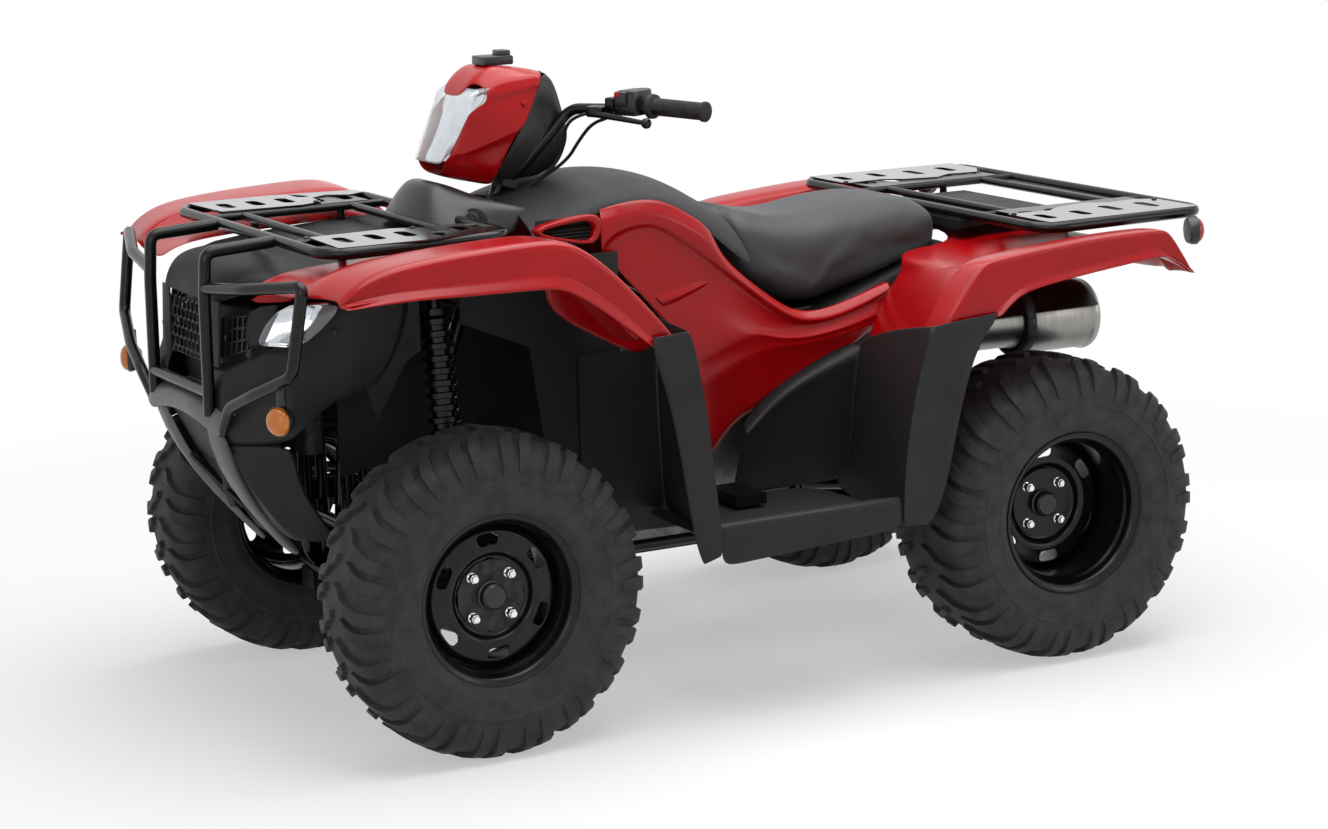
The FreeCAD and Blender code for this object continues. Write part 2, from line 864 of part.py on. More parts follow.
def add_tie_rods():
    """Each rod turns on its bolt at the pitman plate; the outer eye lies just above the knuckle's arm."""
    for name, side in SIDES.items():
        inner = pitman_eye(side) + STEM_UP * (dim.pitman_thickness / 2 + dim.pin_gap
                                              + dim.tie_rod_eye_height / 2)
        outer = knuckle_eye(side)
        inner_eye = rod(inner - STEM_UP * (dim.tie_rod_eye_height / 2),
                        inner + STEM_UP * (dim.tie_rod_eye_height / 2), dim.tie_rod_eye_radius)
        outer_eye = rod(outer - Z_AXIS * (dim.tie_rod_eye_height / 2),
                        outer + Z_AXIS * (dim.tie_rod_eye_height / 2), dim.tie_rod_eye_radius)
        bore = rod(inner - STEM_UP * dim.tie_rod_eye_height, inner + STEM_UP * dim.tie_rod_eye_height,
                   dim.pin_radius + dim.bearing_clearance)
        shape = fused([rod(inner, outer, dim.tie_rod_radius), inner_eye, outer_eye]).cut(bore)
        feature("tie_rod_" + name, shape)


def add_steering_stem():
    """The column with the pitman plate and its two bolts at the foot and the clamp block on top."""
    low = STEM_FOOT - STEM_UP * (dim.pitman_thickness / 2)
    column = rod(low, CLAMP, dim.stem_radius)
    half = dim.pitman_half_gap + dim.pitman_width / 2
    arm_half = dim.pitman_width / 2
    near, far = dim.pitman_reach - arm_half, dim.pitman_reach + arm_half
    outline = [(-arm_half, -dim.stem_radius), (arm_half, -dim.stem_radius), (half, near), (half, far),
               (-half, far), (-half, near)]
    plate = slab(outline, low, X_AXIS, STEM_BACK, dim.pitman_thickness)
    bolts = []
    for side in SIDES.values():
        foot = pitman_eye(side)
        reach = dim.pitman_thickness / 2 + dim.pin_gap + dim.tie_rod_eye_height
        bolts.append(rod(foot, foot + STEM_UP * reach, dim.pin_radius))
    width, depth = dim.clamp_width / 2, dim.clamp_thickness / 2
    clamp = slab([(-width, -depth), (width, -depth), (width, depth), (-width, depth)],
                 CLAMP - STEM_UP * (dim.bar_radius * 2), X_AXIS, STEM_BACK, dim.bar_radius * 2)
    seat = tube(handlebar_route(), dim.bar_radius + dim.seat_gap, dim.bar_bend)
    feature("steering_stem", fused([column, plate, clamp] + bolts).cut(seat))


def handlebar_route():
    half = [bar_point(LEFT, dim.bar_centre_half, 0, 0),
            bar_point(LEFT, dim.bar_knee_half, dim.bar_knee_sweep, dim.bar_knee_rise),
            bar_point(LEFT, dim.bar_end_half, dim.bar_end_sweep, dim.bar_end_rise)]
    return [V(-p.x, p.y, p.z) for p in reversed(half)] + half


def handlebar_shape():
    return tube(handlebar_route(), dim.bar_radius, dim.bar_bend)


def bar_outer_run(side):
    """Start and direction of the straight outer run of the bar, from its end inwards."""
    end = bar_point(side, dim.bar_end_half, dim.bar_end_sweep, dim.bar_end_rise)
    knee = bar_point(side, dim.bar_knee_half, dim.bar_knee_sweep, dim.bar_knee_rise)
    return end, (knee - end).normalize()


# A switch box's shoulder and crown as parts of its height and depth
SWITCH_SHOULDER_PART = 3
SWITCH_CROWN_PART = 4


def add_handlebar():
    feature("handlebar", handlebar_shape())
    grips, controls = [], []
    for side in SIDES.values():
        end, inward = bar_outer_run(side)
        tip = end - inward * dim.pin_gap
        stop = end + inward * dim.grip_length
        skin = dim.bar_radius + dim.seat_gap
        grip = rod(tip, stop, dim.grip_radius)
        flange = rod(stop - inward * dim.grip_flange_length, stop, dim.grip_flange_radius)
        grips.append(fused([grip, flange]).cut(rod(end, stop + inward, skin)))
        grips_end = stop + inward * dim.seat_gap
        across = inward.cross(Z_AXIS).normalize()
        upward = across.cross(inward).normalize()
        depth, height = dim.switch_depth / 2, dim.switch_height / 2
        shoulder, crown = dim.switch_height / SWITCH_SHOULDER_PART, dim.switch_depth / SWITCH_CROWN_PART
        housing = slab([(-depth, -height), (depth, -height), (depth, shoulder), (crown, height),
                        (-crown, height), (-depth, shoulder)],
                       grips_end + inward * dim.switch_length, across, upward, dim.switch_length)
        perch_start = grips_end + inward * (dim.switch_length + dim.pin_gap)
        perch = rod(perch_start, perch_start + inward * dim.perch_length, dim.perch_radius)
        forward = across if across.y < 0 else across * -1
        pivot = perch_start + inward * (dim.perch_length / 2) + forward * dim.lever_gap
        stalk = rod(perch_start + inward * (dim.perch_length / 2), pivot, dim.perch_radius / 2)
        lever = rod(pivot, pivot - inward * dim.lever_length, dim.lever_radius)
        bore = rod(end, perch_start + inward * dim.perch_length * 2, skin)
        controls.append(fused([housing.cut(bore)]))
        controls.append(fused([perch, stalk, lever]).cut(bore))
    feature("grips", Part.makeCompound(grips))
    feature("controls", Part.makeCompound(controls))


add_tie_rods()
add_steering_stem()
add_handlebar()

# Suspension

KINGPIN_X = dim.track / 2 - dim.kingpin_offset


def ball_point(rise_sign):
    return V(KINGPIN_X, FRONT_AXLE.y, FRONT_AXLE.z + rise_sign * dim.ball_height)


def wishbone(pivot_half, pivot_height, rise_sign, elbow=None):
    """An A-shaped arm: two tubes from the frame bushes to one upright eye for the ball pin."""
    ball = ball_point(rise_sign)
    pieces = []
    for along in (-1, 1):
        pivot = V(pivot_half, FRONT_AXLE.y + along * dim.arm_spread, pivot_height)
        tip = ball - X_AXIS * (dim.ball_radius * EYE_SINK_SHARE) + Y_AXIS * (along * dim.arm_tube_radius / 2)
        route = [pivot, tip]
        if elbow:
            route.insert(1, V(elbow[0], FRONT_AXLE.y + along * elbow[1], ball.z))
        pieces.append(tube(route, dim.arm_tube_radius, dim.upper_bend))
        pieces.append(rod(pivot - Y_AXIS * (dim.bush_length / 2), pivot + Y_AXIS * (dim.bush_length / 2),
                          dim.bush_radius))
    eye = rod(ball - Z_AXIS * (dim.eye_height / 2), ball + Z_AXIS * (dim.eye_height / 2), dim.ball_radius)
    bore = rod(ball - Z_AXIS * dim.eye_height, ball + Z_AXIS * dim.eye_height,
               dim.pin_radius + dim.eye_bore_gap)
    return pieces, eye, bore


EYE_SINK_SHARE = 0.8


def add_front_arms():
    shapes = []
    lower, lower_eye, lower_bore = wishbone(dim.lower_pivot_half, FRONT_AXLE.z - dim.pivot_drop, -1)
    foot = shock_foot()
    span = (foot.x - dim.lower_pivot_half) / (KINGPIN_X - dim.lower_pivot_half)
    half = dim.arm_spread * (1 - span) + dim.arm_tube_radius
    floor = foot.z - dim.shock_eye_radius - dim.seat_gap
    seat = block(V(foot.x - dim.shock_eye_radius, FRONT_AXLE.y - half, floor - dim.arm_tube_radius),
                 V(foot.x + dim.shock_eye_radius, FRONT_AXLE.y + half, floor))
    shapes.append(fused(lower + [lower_eye, seat]).cut(lower_bore))
    upper, upper_eye, upper_bore = wishbone(dim.upper_pivot_half, FRONT_AXLE.z + dim.pivot_rise, 1,
                                            (dim.upper_elbow_half, dim.upper_elbow_spread))
    shapes.append(fused(upper + [upper_eye]).cut(upper_bore))
    feature("front_arms", Part.makeCompound(shapes + [mirrored(item) for item in shapes]))


def shock_foot():
    return V(KINGPIN_X - dim.shock_foot_inset, FRONT_AXLE.y + dim.tower_ahead, dim.shock_foot_height)


def shock_top():
    return V(dim.tower_half, FRONT_AXLE.y + dim.tower_ahead, dim.tower_height)


COIL_SHARES = [(0.2, 0.74), (0.3, 1.0), (0.7, 1.0), (0.8, 0.74)]
COIL_FACETS = 12
# Places along a damper, counted in eye radii: the neck's end, the body's start and the upper neck's start
NECK_END = 1.6
BODY_START = 3
UPPER_NECK_START = 4


def turned_along(profile, count, start, heading):
    """A faceted turned form laid from a point along a heading."""
    shape = faceted_turning(profile, count)
    shape.Placement = FreeCAD.Placement(start, FreeCAD.Rotation(X_AXIS, heading))
    return shape


def coil_profile(length):
    """The spring with its two cups as one ribbed outline: a round rib for each turn of wire."""
    count = int(length / dim.spring_pitch)
    cup = dim.spring_wire_radius
    profile = [(-cup, dim.spring_radius), (0, dim.spring_radius)]
    for k in range(count):
        profile += [(dim.spring_pitch * (k + u), dim.spring_radius * v) for u, v in COIL_SHARES]
    end = dim.spring_pitch * count
    return profile + [(end, dim.spring_radius), (end + 2 * cup, dim.spring_radius)]


def shock_shape(foot, top, spring_length, eye_axis):
    """A damper with an eye at each end, a spring seat, ribbed coils and an upper cup."""
    heading = (top - foot).normalize()
    length = (top - foot).Length
    eyes = [rod(p - eye_axis * (dim.shock_eye_width / 2), p + eye_axis * (dim.shock_eye_width / 2),
                dim.shock_eye_radius) for p in (foot, top)]
    spring_start = length - BODY_START * dim.shock_eye_radius - spring_length
    neck_radius = dim.shock_eye_width / 2 - dim.pin_gap
    body = [(0, neck_radius), (NECK_END * dim.shock_eye_radius, neck_radius),
            (BODY_START * dim.shock_eye_radius, dim.shock_body_radius),
            (spring_start + dim.spring_pitch, dim.shock_body_radius)]
    damper = turned_along(body, COIL_FACETS, foot, heading)
    spring = turned_along(coil_profile(spring_length), COIL_FACETS, foot + heading * spring_start, heading)
    neck_start = length - UPPER_NECK_START * dim.shock_eye_radius
    neck = turned_along([(neck_start, neck_radius), (length, neck_radius)], COIL_FACETS, foot, heading)
    return fused(eyes + [damper, spring, neck])


def rear_shock_top():
    return V(0, dim.swing_pivot_back + dim.rear_shock_lean, dim.rear_shock_top)


def add_shocks():
    feature("front_shocks", both_sides(shock_shape(shock_foot(), shock_top(), dim.spring_length, Y_AXIS)))
    foot = V(0, dim.swing_pivot_back + dim.rear_shock_reach, dim.rear_shock_foot)
    feature("rear_shock", shock_shape(foot, rear_shock_top(), dim.rear_spring_length, X_AXIS))


def add_front_drive():
    """The front gear case with its two half shafts, their boots and the shaft from the engine."""
    diff_half = dim.diff_width / 2
    end_radius, belly = dim.diff_radius * CASE_END_SHARE, diff_half * CASE_END_SHARE
    case = faceted_turning([(-diff_half, end_radius), (-belly, dim.diff_radius), (belly, dim.diff_radius),
                            (diff_half, end_radius)], HUB_FACETS)
    cup_in = KINGPIN_X - dim.joint_housing_radius / 2 - dim.running_gap
    outline = [(diff_half, dim.shaft_radius * 2), (diff_half + dim.boot_length, dim.boot_radius),
               (diff_half + 2 * dim.boot_length, dim.shaft_radius),
               (cup_in - dim.boot_length, dim.shaft_radius),
               (cup_in - dim.boot_length * BOOT_MOUTH_SHARE, dim.boot_radius * BOOT_END_SHARE),
               (cup_in - dim.boot_length * BOOT_TIP_SHARE, dim.pin_radius)]
    full = [(-x, r) for x, r in reversed(outline)] + outline
    shafts = faceted_turning(full, BOOT_FACETS)
    shape = fused([case, shafts])
    shape.translate(FRONT_AXLE)
    prop_end = V(0, dim.engine_back - dim.engine_length / 2 - dim.seat_gap, FRONT_AXLE.z)
    prop = rod(FRONT_AXLE + Y_AXIS * (dim.diff_radius / 2), prop_end, dim.prop_radius)
    feature("front_drive", fused([shape, prop]))


CASE_END_SHARE = 0.6
BOOT_END_SHARE = 0.6
BOOT_MOUTH_SHARE = 0.35
BOOT_TIP_SHARE = 0.17
BOOT_FACETS = 12


def swing_height(along):
    """Height of the swing arm's tubes at a distance along the vehicle."""
    share = (along - dim.swing_pivot_back) / (REAR_AXLE.y - dim.swing_pivot_back)
    return dim.swing_pivot_height + share * (REAR_AXLE.z - dim.swing_pivot_height)


def add_swing_arm():
    """Two arms from the frame pivot to the axle tube, with the final drive case and the tow hitch."""
    half = dim.axle_tube_half
    housing = rod(REAR_AXLE - X_AXIS * half, REAR_AXLE + X_AXIS * half, dim.axle_tube_radius)
    case_centre = REAR_AXLE + X_AXIS * dim.final_drive_offset
    case_half = dim.final_drive_width / 2
    end_radius, belly = dim.final_drive_radius * CASE_END_SHARE, case_half * CASE_END_SHARE
    case = turned_along([(-case_half, end_radius), (-belly, dim.final_drive_radius),
                         (belly, dim.final_drive_radius), (case_half, end_radius)],
                        RING_FACETS, case_centre, X_AXIS)
    shapes = [housing, case]
    for side in SIDES.values():
        pivot = V(side * dim.swing_pivot_half, dim.swing_pivot_back, dim.swing_pivot_height)
        arm_end = REAR_AXLE + X_AXIS * (side * half * ARM_SPREAD_SHARE)
        shapes.append(rod(pivot, arm_end, dim.swing_tube_radius))
        bush = X_AXIS * (dim.swing_bush_length / 2)
        shapes.append(rod(pivot - bush, pivot + bush, dim.swing_tube_radius + dim.arm_tube_radius / 2))
    bracket_y = dim.swing_pivot_back + dim.rear_shock_reach
    cross_height = swing_height(bracket_y)
    spread = (bracket_y - dim.swing_pivot_back) / (REAR_AXLE.y - dim.swing_pivot_back)
    cross_half = dim.swing_pivot_half + spread * (half * ARM_SPREAD_SHARE - dim.swing_pivot_half)
    shapes.append(rod(V(-cross_half, bracket_y, cross_height), V(cross_half, bracket_y, cross_height),
                      dim.arm_tube_radius))
    near = dim.shock_eye_width / 2 + dim.seat_gap
    for face in (-1, 1):
        shapes.append(sorted_block(V(face * near, bracket_y - dim.shock_eye_radius, cross_height),
                                   V(face * (near + dim.ear_thickness), bracket_y + dim.shock_eye_radius,
                                     dim.rear_shock_foot + dim.shock_eye_radius)))
    plate_low = V(-dim.hitch_width / 2, REAR_AXLE.y, dim.hitch_height)
    shapes.append(block(plate_low, plate_low + V(dim.hitch_width, dim.hitch_reach, dim.hitch_thickness)))
    hitch = rod(hitch_point() - Z_AXIS * dim.hitch_thickness, hitch_point() + Z_AXIS * dim.hitch_thickness,
                dim.hitch_bore_radius)
    hollow_half = half - dim.axle_bearing_length
    hollow = rod(REAR_AXLE - X_AXIS * hollow_half, REAR_AXLE + X_AXIS * hollow_half,
                 dim.axle_radius + dim.running_gap)
    bore = rod(REAR_AXLE - X_AXIS * dim.overrun, REAR_AXLE + X_AXIS * dim.overrun,
               dim.axle_radius + dim.seat_gap)
    feature("swing_arm", fused(shapes).cut(bore).cut(hollow).cut(hitch))


def hitch_point():
    """Middle of the tow hitch's bore."""
    return V(0, REAR_AXLE.y + dim.hitch_reach - dim.hitch_width / 2,
             dim.hitch_height + dim.hitch_thickness / 2)


ARM_SPREAD_SHARE = 0.55

add_front_arms()
add_shocks()
add_front_drive()
add_swing_arm()

# Frame


def frame_loop(side):
    """One side of the frame: floor rail and rear post, then nose post, top rail and seat rail."""
    x = side * dim.frame_half_width
    nose = -dim.frame_nose
    split = dim.frame_floor + dim.nose_post
    lower = [V(x, nose, split), V(x, nose, dim.frame_floor), V(x, dim.pivot_back, dim.frame_floor),
             V(x, dim.pivot_back, dim.seat_rail_height)]
    upper = [V(x, nose, split), V(x, nose, dim.tower_height), V(x, -dim.head_back, dim.head_height),
             V(x, 0, dim.seat_rail_height), V(x, dim.rail_kick_start, dim.seat_rail_height),
             V(x, dim.rail_kick_end, dim.tail_rail_height), V(x, dim.frame_tail, dim.tail_rail_height)]
    return [tube(path, dim.frame_tube_radius, dim.frame_bend) for path in (lower, upper)]


def bush_ears(side, centre):
    """Two ears beside an arm's bush, joined by a web that stands on the frame's post."""
    post = side * dim.frame_half_width
    near = dim.bush_length / 2 + dim.seat_gap
    far = near + dim.ear_thickness
    half = dim.ear_height / 2
    tip = side * (dim.frame_half_width + dim.ear_reach)
    ears = [sorted_block(V(post, centre.y + face * near, centre.z - half),
                         V(tip, centre.y + face * far, centre.z + half)) for face in (-1, 1)]
    web = sorted_block(V(post, centre.y - far, centre.z - half),
                       V(post + side * dim.ear_thickness * 2, centre.y + far, centre.z + half))
    return ears + [web]


def column_bearing(distance):
    """A ring round the steering column with a cross beam behind it."""
    centre = STEM_FOOT + STEM_UP * distance
    ring_radius = dim.stem_radius + dim.bearing_wall
    half_length = dim.bearing_length / 2
    ring = rod(centre - STEM_UP * half_length, centre + STEM_UP * half_length, ring_radius)
    bore = rod(centre - STEM_UP * dim.bearing_length, centre + STEM_UP * dim.bearing_length,
               dim.stem_radius + dim.bearing_clearance)
    beam_y = centre.y + ring_radius + dim.arm_tube_radius / 2
    half = dim.frame_half_width
    beam = rod(V(-half, beam_y, centre.z), V(half, beam_y, centre.z), dim.arm_tube_radius)
    return ring, beam, bore


def cross_tube(along, height):
    half = dim.frame_half_width
    return rod(V(-half, along, height), V(half, along, height), dim.frame_tube_radius * POST_SHARE)


POST_SHARE = 0.8


def build_frame():
    """Two loops of tube with cross tubes, posts, arm brackets, shock towers and column bearings."""
    shapes = []
    low_ring, low_beam, low_bore = column_bearing(dim.low_bearing_rise)
    high_ring, high_beam, high_bore = column_bearing(dim.high_bearing_rise)
    top = shock_top()
    near = dim.shock_eye_width / 2 + dim.seat_gap
    for side in SIDES.values():
        shapes += frame_loop(side)
        post = side * dim.frame_half_width
        for along in (-1, 1):
            y = FRONT_AXLE.y + along * dim.arm_spread
            shapes.append(rod(V(post, y, dim.frame_floor), V(post, y, dim.tower_height),
                              dim.frame_tube_radius * POST_SHARE))
            for height, half in ((-dim.pivot_drop, dim.lower_pivot_half),
                                 (dim.pivot_rise, dim.upper_pivot_half)):
                shapes += bush_ears(side, V(side * half, y, FRONT_AXLE.z + height))
        stay_height = dim.tower_height - dim.frame_bend
        stay_back = V(side * dim.nose_stay_half, -dim.frame_nose, stay_height)
        stay_front = V(stay_back.x, -dim.nose_stay_reach, stay_height)
        stay_end = stay_back + X_AXIS * (side * dim.nose_stay_radius)
        shapes.append(rod(V(post, -dim.frame_nose, stay_height), stay_end,
                          dim.frame_tube_radius * POST_SHARE))
        shapes.append(rod(stay_back, stay_front, dim.nose_stay_radius))
        beam = low_beam.BoundBox.Center
        shapes.append(rod(V(post, FRONT_AXLE.y + dim.arm_spread, beam.z), V(post, beam.y, beam.z),
                          dim.arm_tube_radius))
        tip = side * (top.x + dim.shock_eye_radius)
        for face in (-1, 1):
            shapes.append(sorted_block(V(post, top.y + face * near, top.z - dim.shock_eye_radius),
                                       V(tip, top.y + face * (near + dim.ear_thickness),
                                         top.z + dim.shock_eye_radius)))
        shapes.append(sorted_block(V(post - dim.ear_thickness, top.y - near - dim.ear_thickness,
                                     top.z - dim.shock_eye_radius),
                                   V(post + dim.ear_thickness, top.y + near + dim.ear_thickness,
                                     top.z + dim.shock_eye_radius)))
        pivot_half = dim.swing_pivot_half + dim.swing_bush_length / 2 + dim.seat_gap
        pivot = V(side * pivot_half, dim.swing_pivot_back, dim.swing_pivot_height)
        shapes.append(sorted_block(V(pivot.x, pivot.y - dim.ear_height / 2, pivot.z - dim.ear_height),
                                   V(post, pivot.y + dim.ear_height / 2, pivot.z + dim.ear_height)))
    hung = rear_shock_top()
    for face in (-1, 1):
        ear_low = V(face * near, hung.y - dim.shock_eye_radius, hung.z - dim.shock_eye_radius)
        shapes.append(sorted_block(ear_low,
                                   V(face * (near + dim.ear_thickness), hung.y + dim.shock_eye_radius,
                                     dim.seat_rail_height)))
    shapes.append(cross_tube(hung.y, dim.seat_rail_height))
    shapes += [low_ring, low_beam, high_ring, high_beam]
    shapes += [cross_tube(-dim.frame_nose, dim.frame_floor + dim.nose_post),
               cross_tube(-dim.frame_nose, dim.tower_height - dim.frame_bend),
               cross_tube(0, dim.seat_rail_height), cross_tube(dim.rail_kick_start, dim.seat_rail_height),
               cross_tube(dim.frame_tail, dim.tail_rail_height),
               cross_tube(-dim.engine_length, dim.frame_floor)]
    feature("frame", joined(shapes).cut(low_bore).cut(high_bore))


def add_skid_plate():
    """A pressed plate under the frame tubes, turned up at the front."""
    top = dim.frame_floor - dim.frame_tube_radius - dim.seat_gap
    half = dim.frame_half_width + dim.frame_tube_radius
    front = -dim.frame_nose - dim.frame_tube_radius - dim.seat_gap
    back = dim.pivot_back
    wall = dim.skid_wall
    body = new_body("skid_plate")
    path = [(front, top + dim.skid_lip), (front + dim.skid_lip, top), (back, top)]
    underside = [(back, top - wall), (front + dim.skid_lip, top - wall), (front - wall, top + dim.skid_lip)]
    pad(body, "YZ_Plane", lines(path + underside), "Sizes.skid_width", symmetric=True)


CASE_NOSE_SHARE = 0.2
CASE_CORNER_SHARE = 0.3
COVER_RIM_SHARE = 0.6
COVER_FACE_SHARE = 0.7
FIN_ZONE_SHARE = 0.55


def add_engine():
    """Crankcase, leaning finned cylinder, round side covers: the heavy mass between the frame tubes."""
    y0 = dim.engine_back - dim.engine_length / 2
    y1 = dim.engine_back + dim.engine_length / 2
    floor = dim.frame_floor + dim.frame_tube_radius + dim.seat_gap
    top = floor + dim.crankcase_height
    inner = dim.frame_half_width - dim.frame_tube_radius - dim.running_gap
    corner = dim.crankcase_height * CASE_CORNER_SHARE
    case = [(y0, floor + dim.crankcase_height * CASE_NOSE_SHARE), (y0 + dim.cover_depth, floor),
            (y1 - dim.cover_depth, floor), (y1, floor + corner), (y1, top - corner),
            (y1 - dim.cover_radius, top), (y0, top)]
    core = slab([(y, z) for y, z in case], V(-dim.engine_width / 2, 0, 0), Y_AXIS, Z_AXIS, dim.engine_width)
    for side in SIDES.values():
        rail_slot = block(V(min(side * inner, side * dim.overrun), y0 - dim.overrun, floor - dim.overrun),
                          V(max(side * inner, side * dim.overrun), y1 + dim.overrun,
                            dim.frame_floor + dim.frame_tube_radius + dim.running_gap))
        core = core.cut(rail_slot)
    tilt = math.radians(dim.cylinder_lean)
    lean = Z_AXIS * math.cos(tilt) - Y_AXIS * math.sin(tilt)
    across = lean.cross(X_AXIS)
    base = V(0, y0 + dim.cylinder_width, top - dim.fin_reach)
    pieces = [core]
    half = dim.cylinder_width / 2
    barrel_half = half - dim.fin_reach

    def square(size_half, start, length):
        corner = base + lean * start - X_AXIS * size_half - across * size_half
        return slab([(0, 0), (2 * size_half, 0), (2 * size_half, 2 * size_half), (0, 2 * size_half)],
                    corner, X_AXIS, across, length)

    pieces.append(square(barrel_half, 0, dim.cylinder_height))
    pitch = dim.cylinder_height * FIN_ZONE_SHARE / dim.fin_count
    for k in range(int(dim.fin_count)):
        pieces.append(square(half, pitch * (k + 1), dim.fin_thickness))
    pieces.append(square(half - dim.fin_reach / 2, dim.cylinder_height * FIN_ZONE_SHARE + pitch,
                         dim.cylinder_height * (1 - FIN_ZONE_SHARE) - pitch))
    cover_centre = V(dim.engine_width / 2, dim.engine_back + dim.cover_radius / 2,
                     floor + dim.crankcase_height / 2)
    for side in SIDES.values():
        start = V(side * cover_centre.x, cover_centre.y, cover_centre.z)
        cover = turned_along([(0, dim.cover_radius), (dim.cover_depth * COVER_RIM_SHARE, dim.cover_radius),
                              (dim.cover_depth, dim.cover_radius * COVER_FACE_SHARE)],
                             RING_FACETS, start, X_AXIS * side)
        pieces.append(cover)
    feature("engine", fused(pieces))


MUFFLER_END_SHARE = 0.8
HEADER_PLACE_PART = 4


def add_exhaust():
    """Header pipe from the cylinder to the rear, and the can above the left rear wheel."""
    can_start = V(dim.muffler_x, dim.muffler_front, dim.muffler_height)
    heading = Y_AXIS
    can = turned_along([(-dim.muffler_taper, dim.pipe_radius * 2), (0, dim.muffler_radius),
                        (dim.muffler_length, dim.muffler_radius),
                        (dim.muffler_length + dim.pipe_radius, dim.muffler_radius * MUFFLER_END_SHARE)],
                       RING_FACETS, can_start, heading)
    outlet = rod(can_start + heading * dim.muffler_length,
                 can_start + heading * (dim.muffler_length + 2 * dim.pipe_radius), dim.pipe_radius)
    head_side = dim.cylinder_width / 2 - dim.fin_reach / 2 + dim.seat_gap
    route = [V(-head_side, -dim.engine_length / HEADER_PLACE_PART, dim.seat_rail_height - dim.pipe_drop),
             V(-dim.pipe_out, -dim.engine_length / HEADER_PLACE_PART, dim.seat_rail_height - dim.pipe_drop),
             V(-dim.pipe_out, dim.swing_pivot_back + dim.pipe_bend, dim.seat_rail_height - dim.pipe_drop),
             V(dim.muffler_x, dim.muffler_front - dim.muffler_taper * 2, dim.muffler_height),
             V(dim.muffler_x, dim.muffler_front - dim.muffler_taper / 2, dim.muffler_height)]
    pipe = tube(route, dim.pipe_radius, dim.pipe_bend)
    hanger_y = dim.muffler_front + dim.muffler_length / 2
    rail = V(dim.frame_half_width, hanger_y, dim.tail_rail_height)
    hung = V(dim.muffler_x, hanger_y, dim.muffler_height)
    toward = (rail - hung).normalize()
    hanger = rod(hung, rail - toward * (dim.frame_tube_radius + dim.seat_gap), dim.liner_stay_radius)
    feature("exhaust", fused([can, outlet, pipe, hanger]))


STAY_SHARES = (0.2, 0.8)
TANK_RADIUS_SHARE = 0.7


def add_radiator():
    """The oil and water cooler behind the grille, with two side tanks and its shroud."""
    low = V(-dim.radiator_half, -dim.radiator_ahead, dim.radiator_floor)
    high = V(dim.radiator_half, -dim.radiator_ahead + dim.radiator_thickness,
             dim.radiator_floor + dim.radiator_height)
    core = block(low, high)
    tanks = []
    for side in SIDES.values():
        x = side * dim.radiator_half
        tanks.append(rod(V(x, (low.y + high.y) / 2, low.z), V(x, (low.y + high.y) / 2, high.z),
                         dim.radiator_thickness * TANK_RADIUS_SHARE))
        for share in STAY_SHARES:
            start = V(side * dim.frame_half_width, high.y, low.z + dim.radiator_height * share)
            reach = -dim.frame_nose - dim.frame_tube_radius - dim.seat_gap - high.y
            tanks.append(rod(start, start + Y_AXIS * reach, dim.liner_stay_radius))
    feature("radiator", fused([core] + tanks))


build_frame()
add_skid_plate()
add_engine()
add_exhaust()
add_radiator()

# Body panels


def band(path, wall):
    """A wall of even thickness on the inner (lower) side of a path of (y, z) pairs."""
    inner = offset_path(path, wall)
    return list(path) + list(reversed(inner))


def offset_path(path, distance):
    """The path moved square to itself, with mitred corners; a positive distance is to its right."""
    result = []
    for i, point in enumerate(path):
        normals = []
        if i > 0:
            normals.append(right_normal(path[i - 1], point))
        if i < len(path) - 1:
            normals.append(right_normal(point, path[i + 1]))
        mean = (sum(n[0] for n in normals), sum(n[1] for n in normals))
        size = math.hypot(mean[0], mean[1])
        unit = (mean[0] / size, mean[1] / size)
        stretch = distance / (unit[0] * normals[0][0] + unit[1] * normals[0][1])
        result.append((point[0] + unit[0] * stretch, point[1] + unit[1] * stretch))
    return result


def right_normal(start, end):
    run = (end[0] - start[0], end[1] - start[1])
    size = math.hypot(run[0], run[1])
    return (run[1] / size, -run[0] / size)


def front_fender_points(shares):
    return placed(shares, (-dim.fender_nose, dim.fender_floor), (dim.fender_length, dim.fender_height))


FENDER_SKIN_SHARES = [(0.056, 0.680), (0.058, 0.740), (0.146, 0.887), (0.245, 0.920), (0.446, 0.957),
                      (0.600, 0.967), (0.703, 0.827), (0.805, 0.567), (0.910, 0.250)]
FENDER_EDGE_SHARES = [(0.834, 0.230), (0.699, 0.503), (0.596, 0.673), (0.494, 0.683), (0.266, 0.700)]


def front_bed():
    """The floor of the front fenders under the rack, as a path of (y, z) pairs."""
    skin = front_fender_points(FENDER_SKIN_SHARES)
    return lowered(skin[:1] + skin[2:], dim.fender_bed_drop)


def height_on(path, along):
    """Height of a path of (y, z) pairs at one place along the vehicle."""
    for (y0, z0), (y1, z1) in zip(path, path[1:]):
        if y0 <= along <= y1:
            return z0 + (z1 - z0) * (along - y0) / (y1 - y0)
    raise ValueError("outside the path")


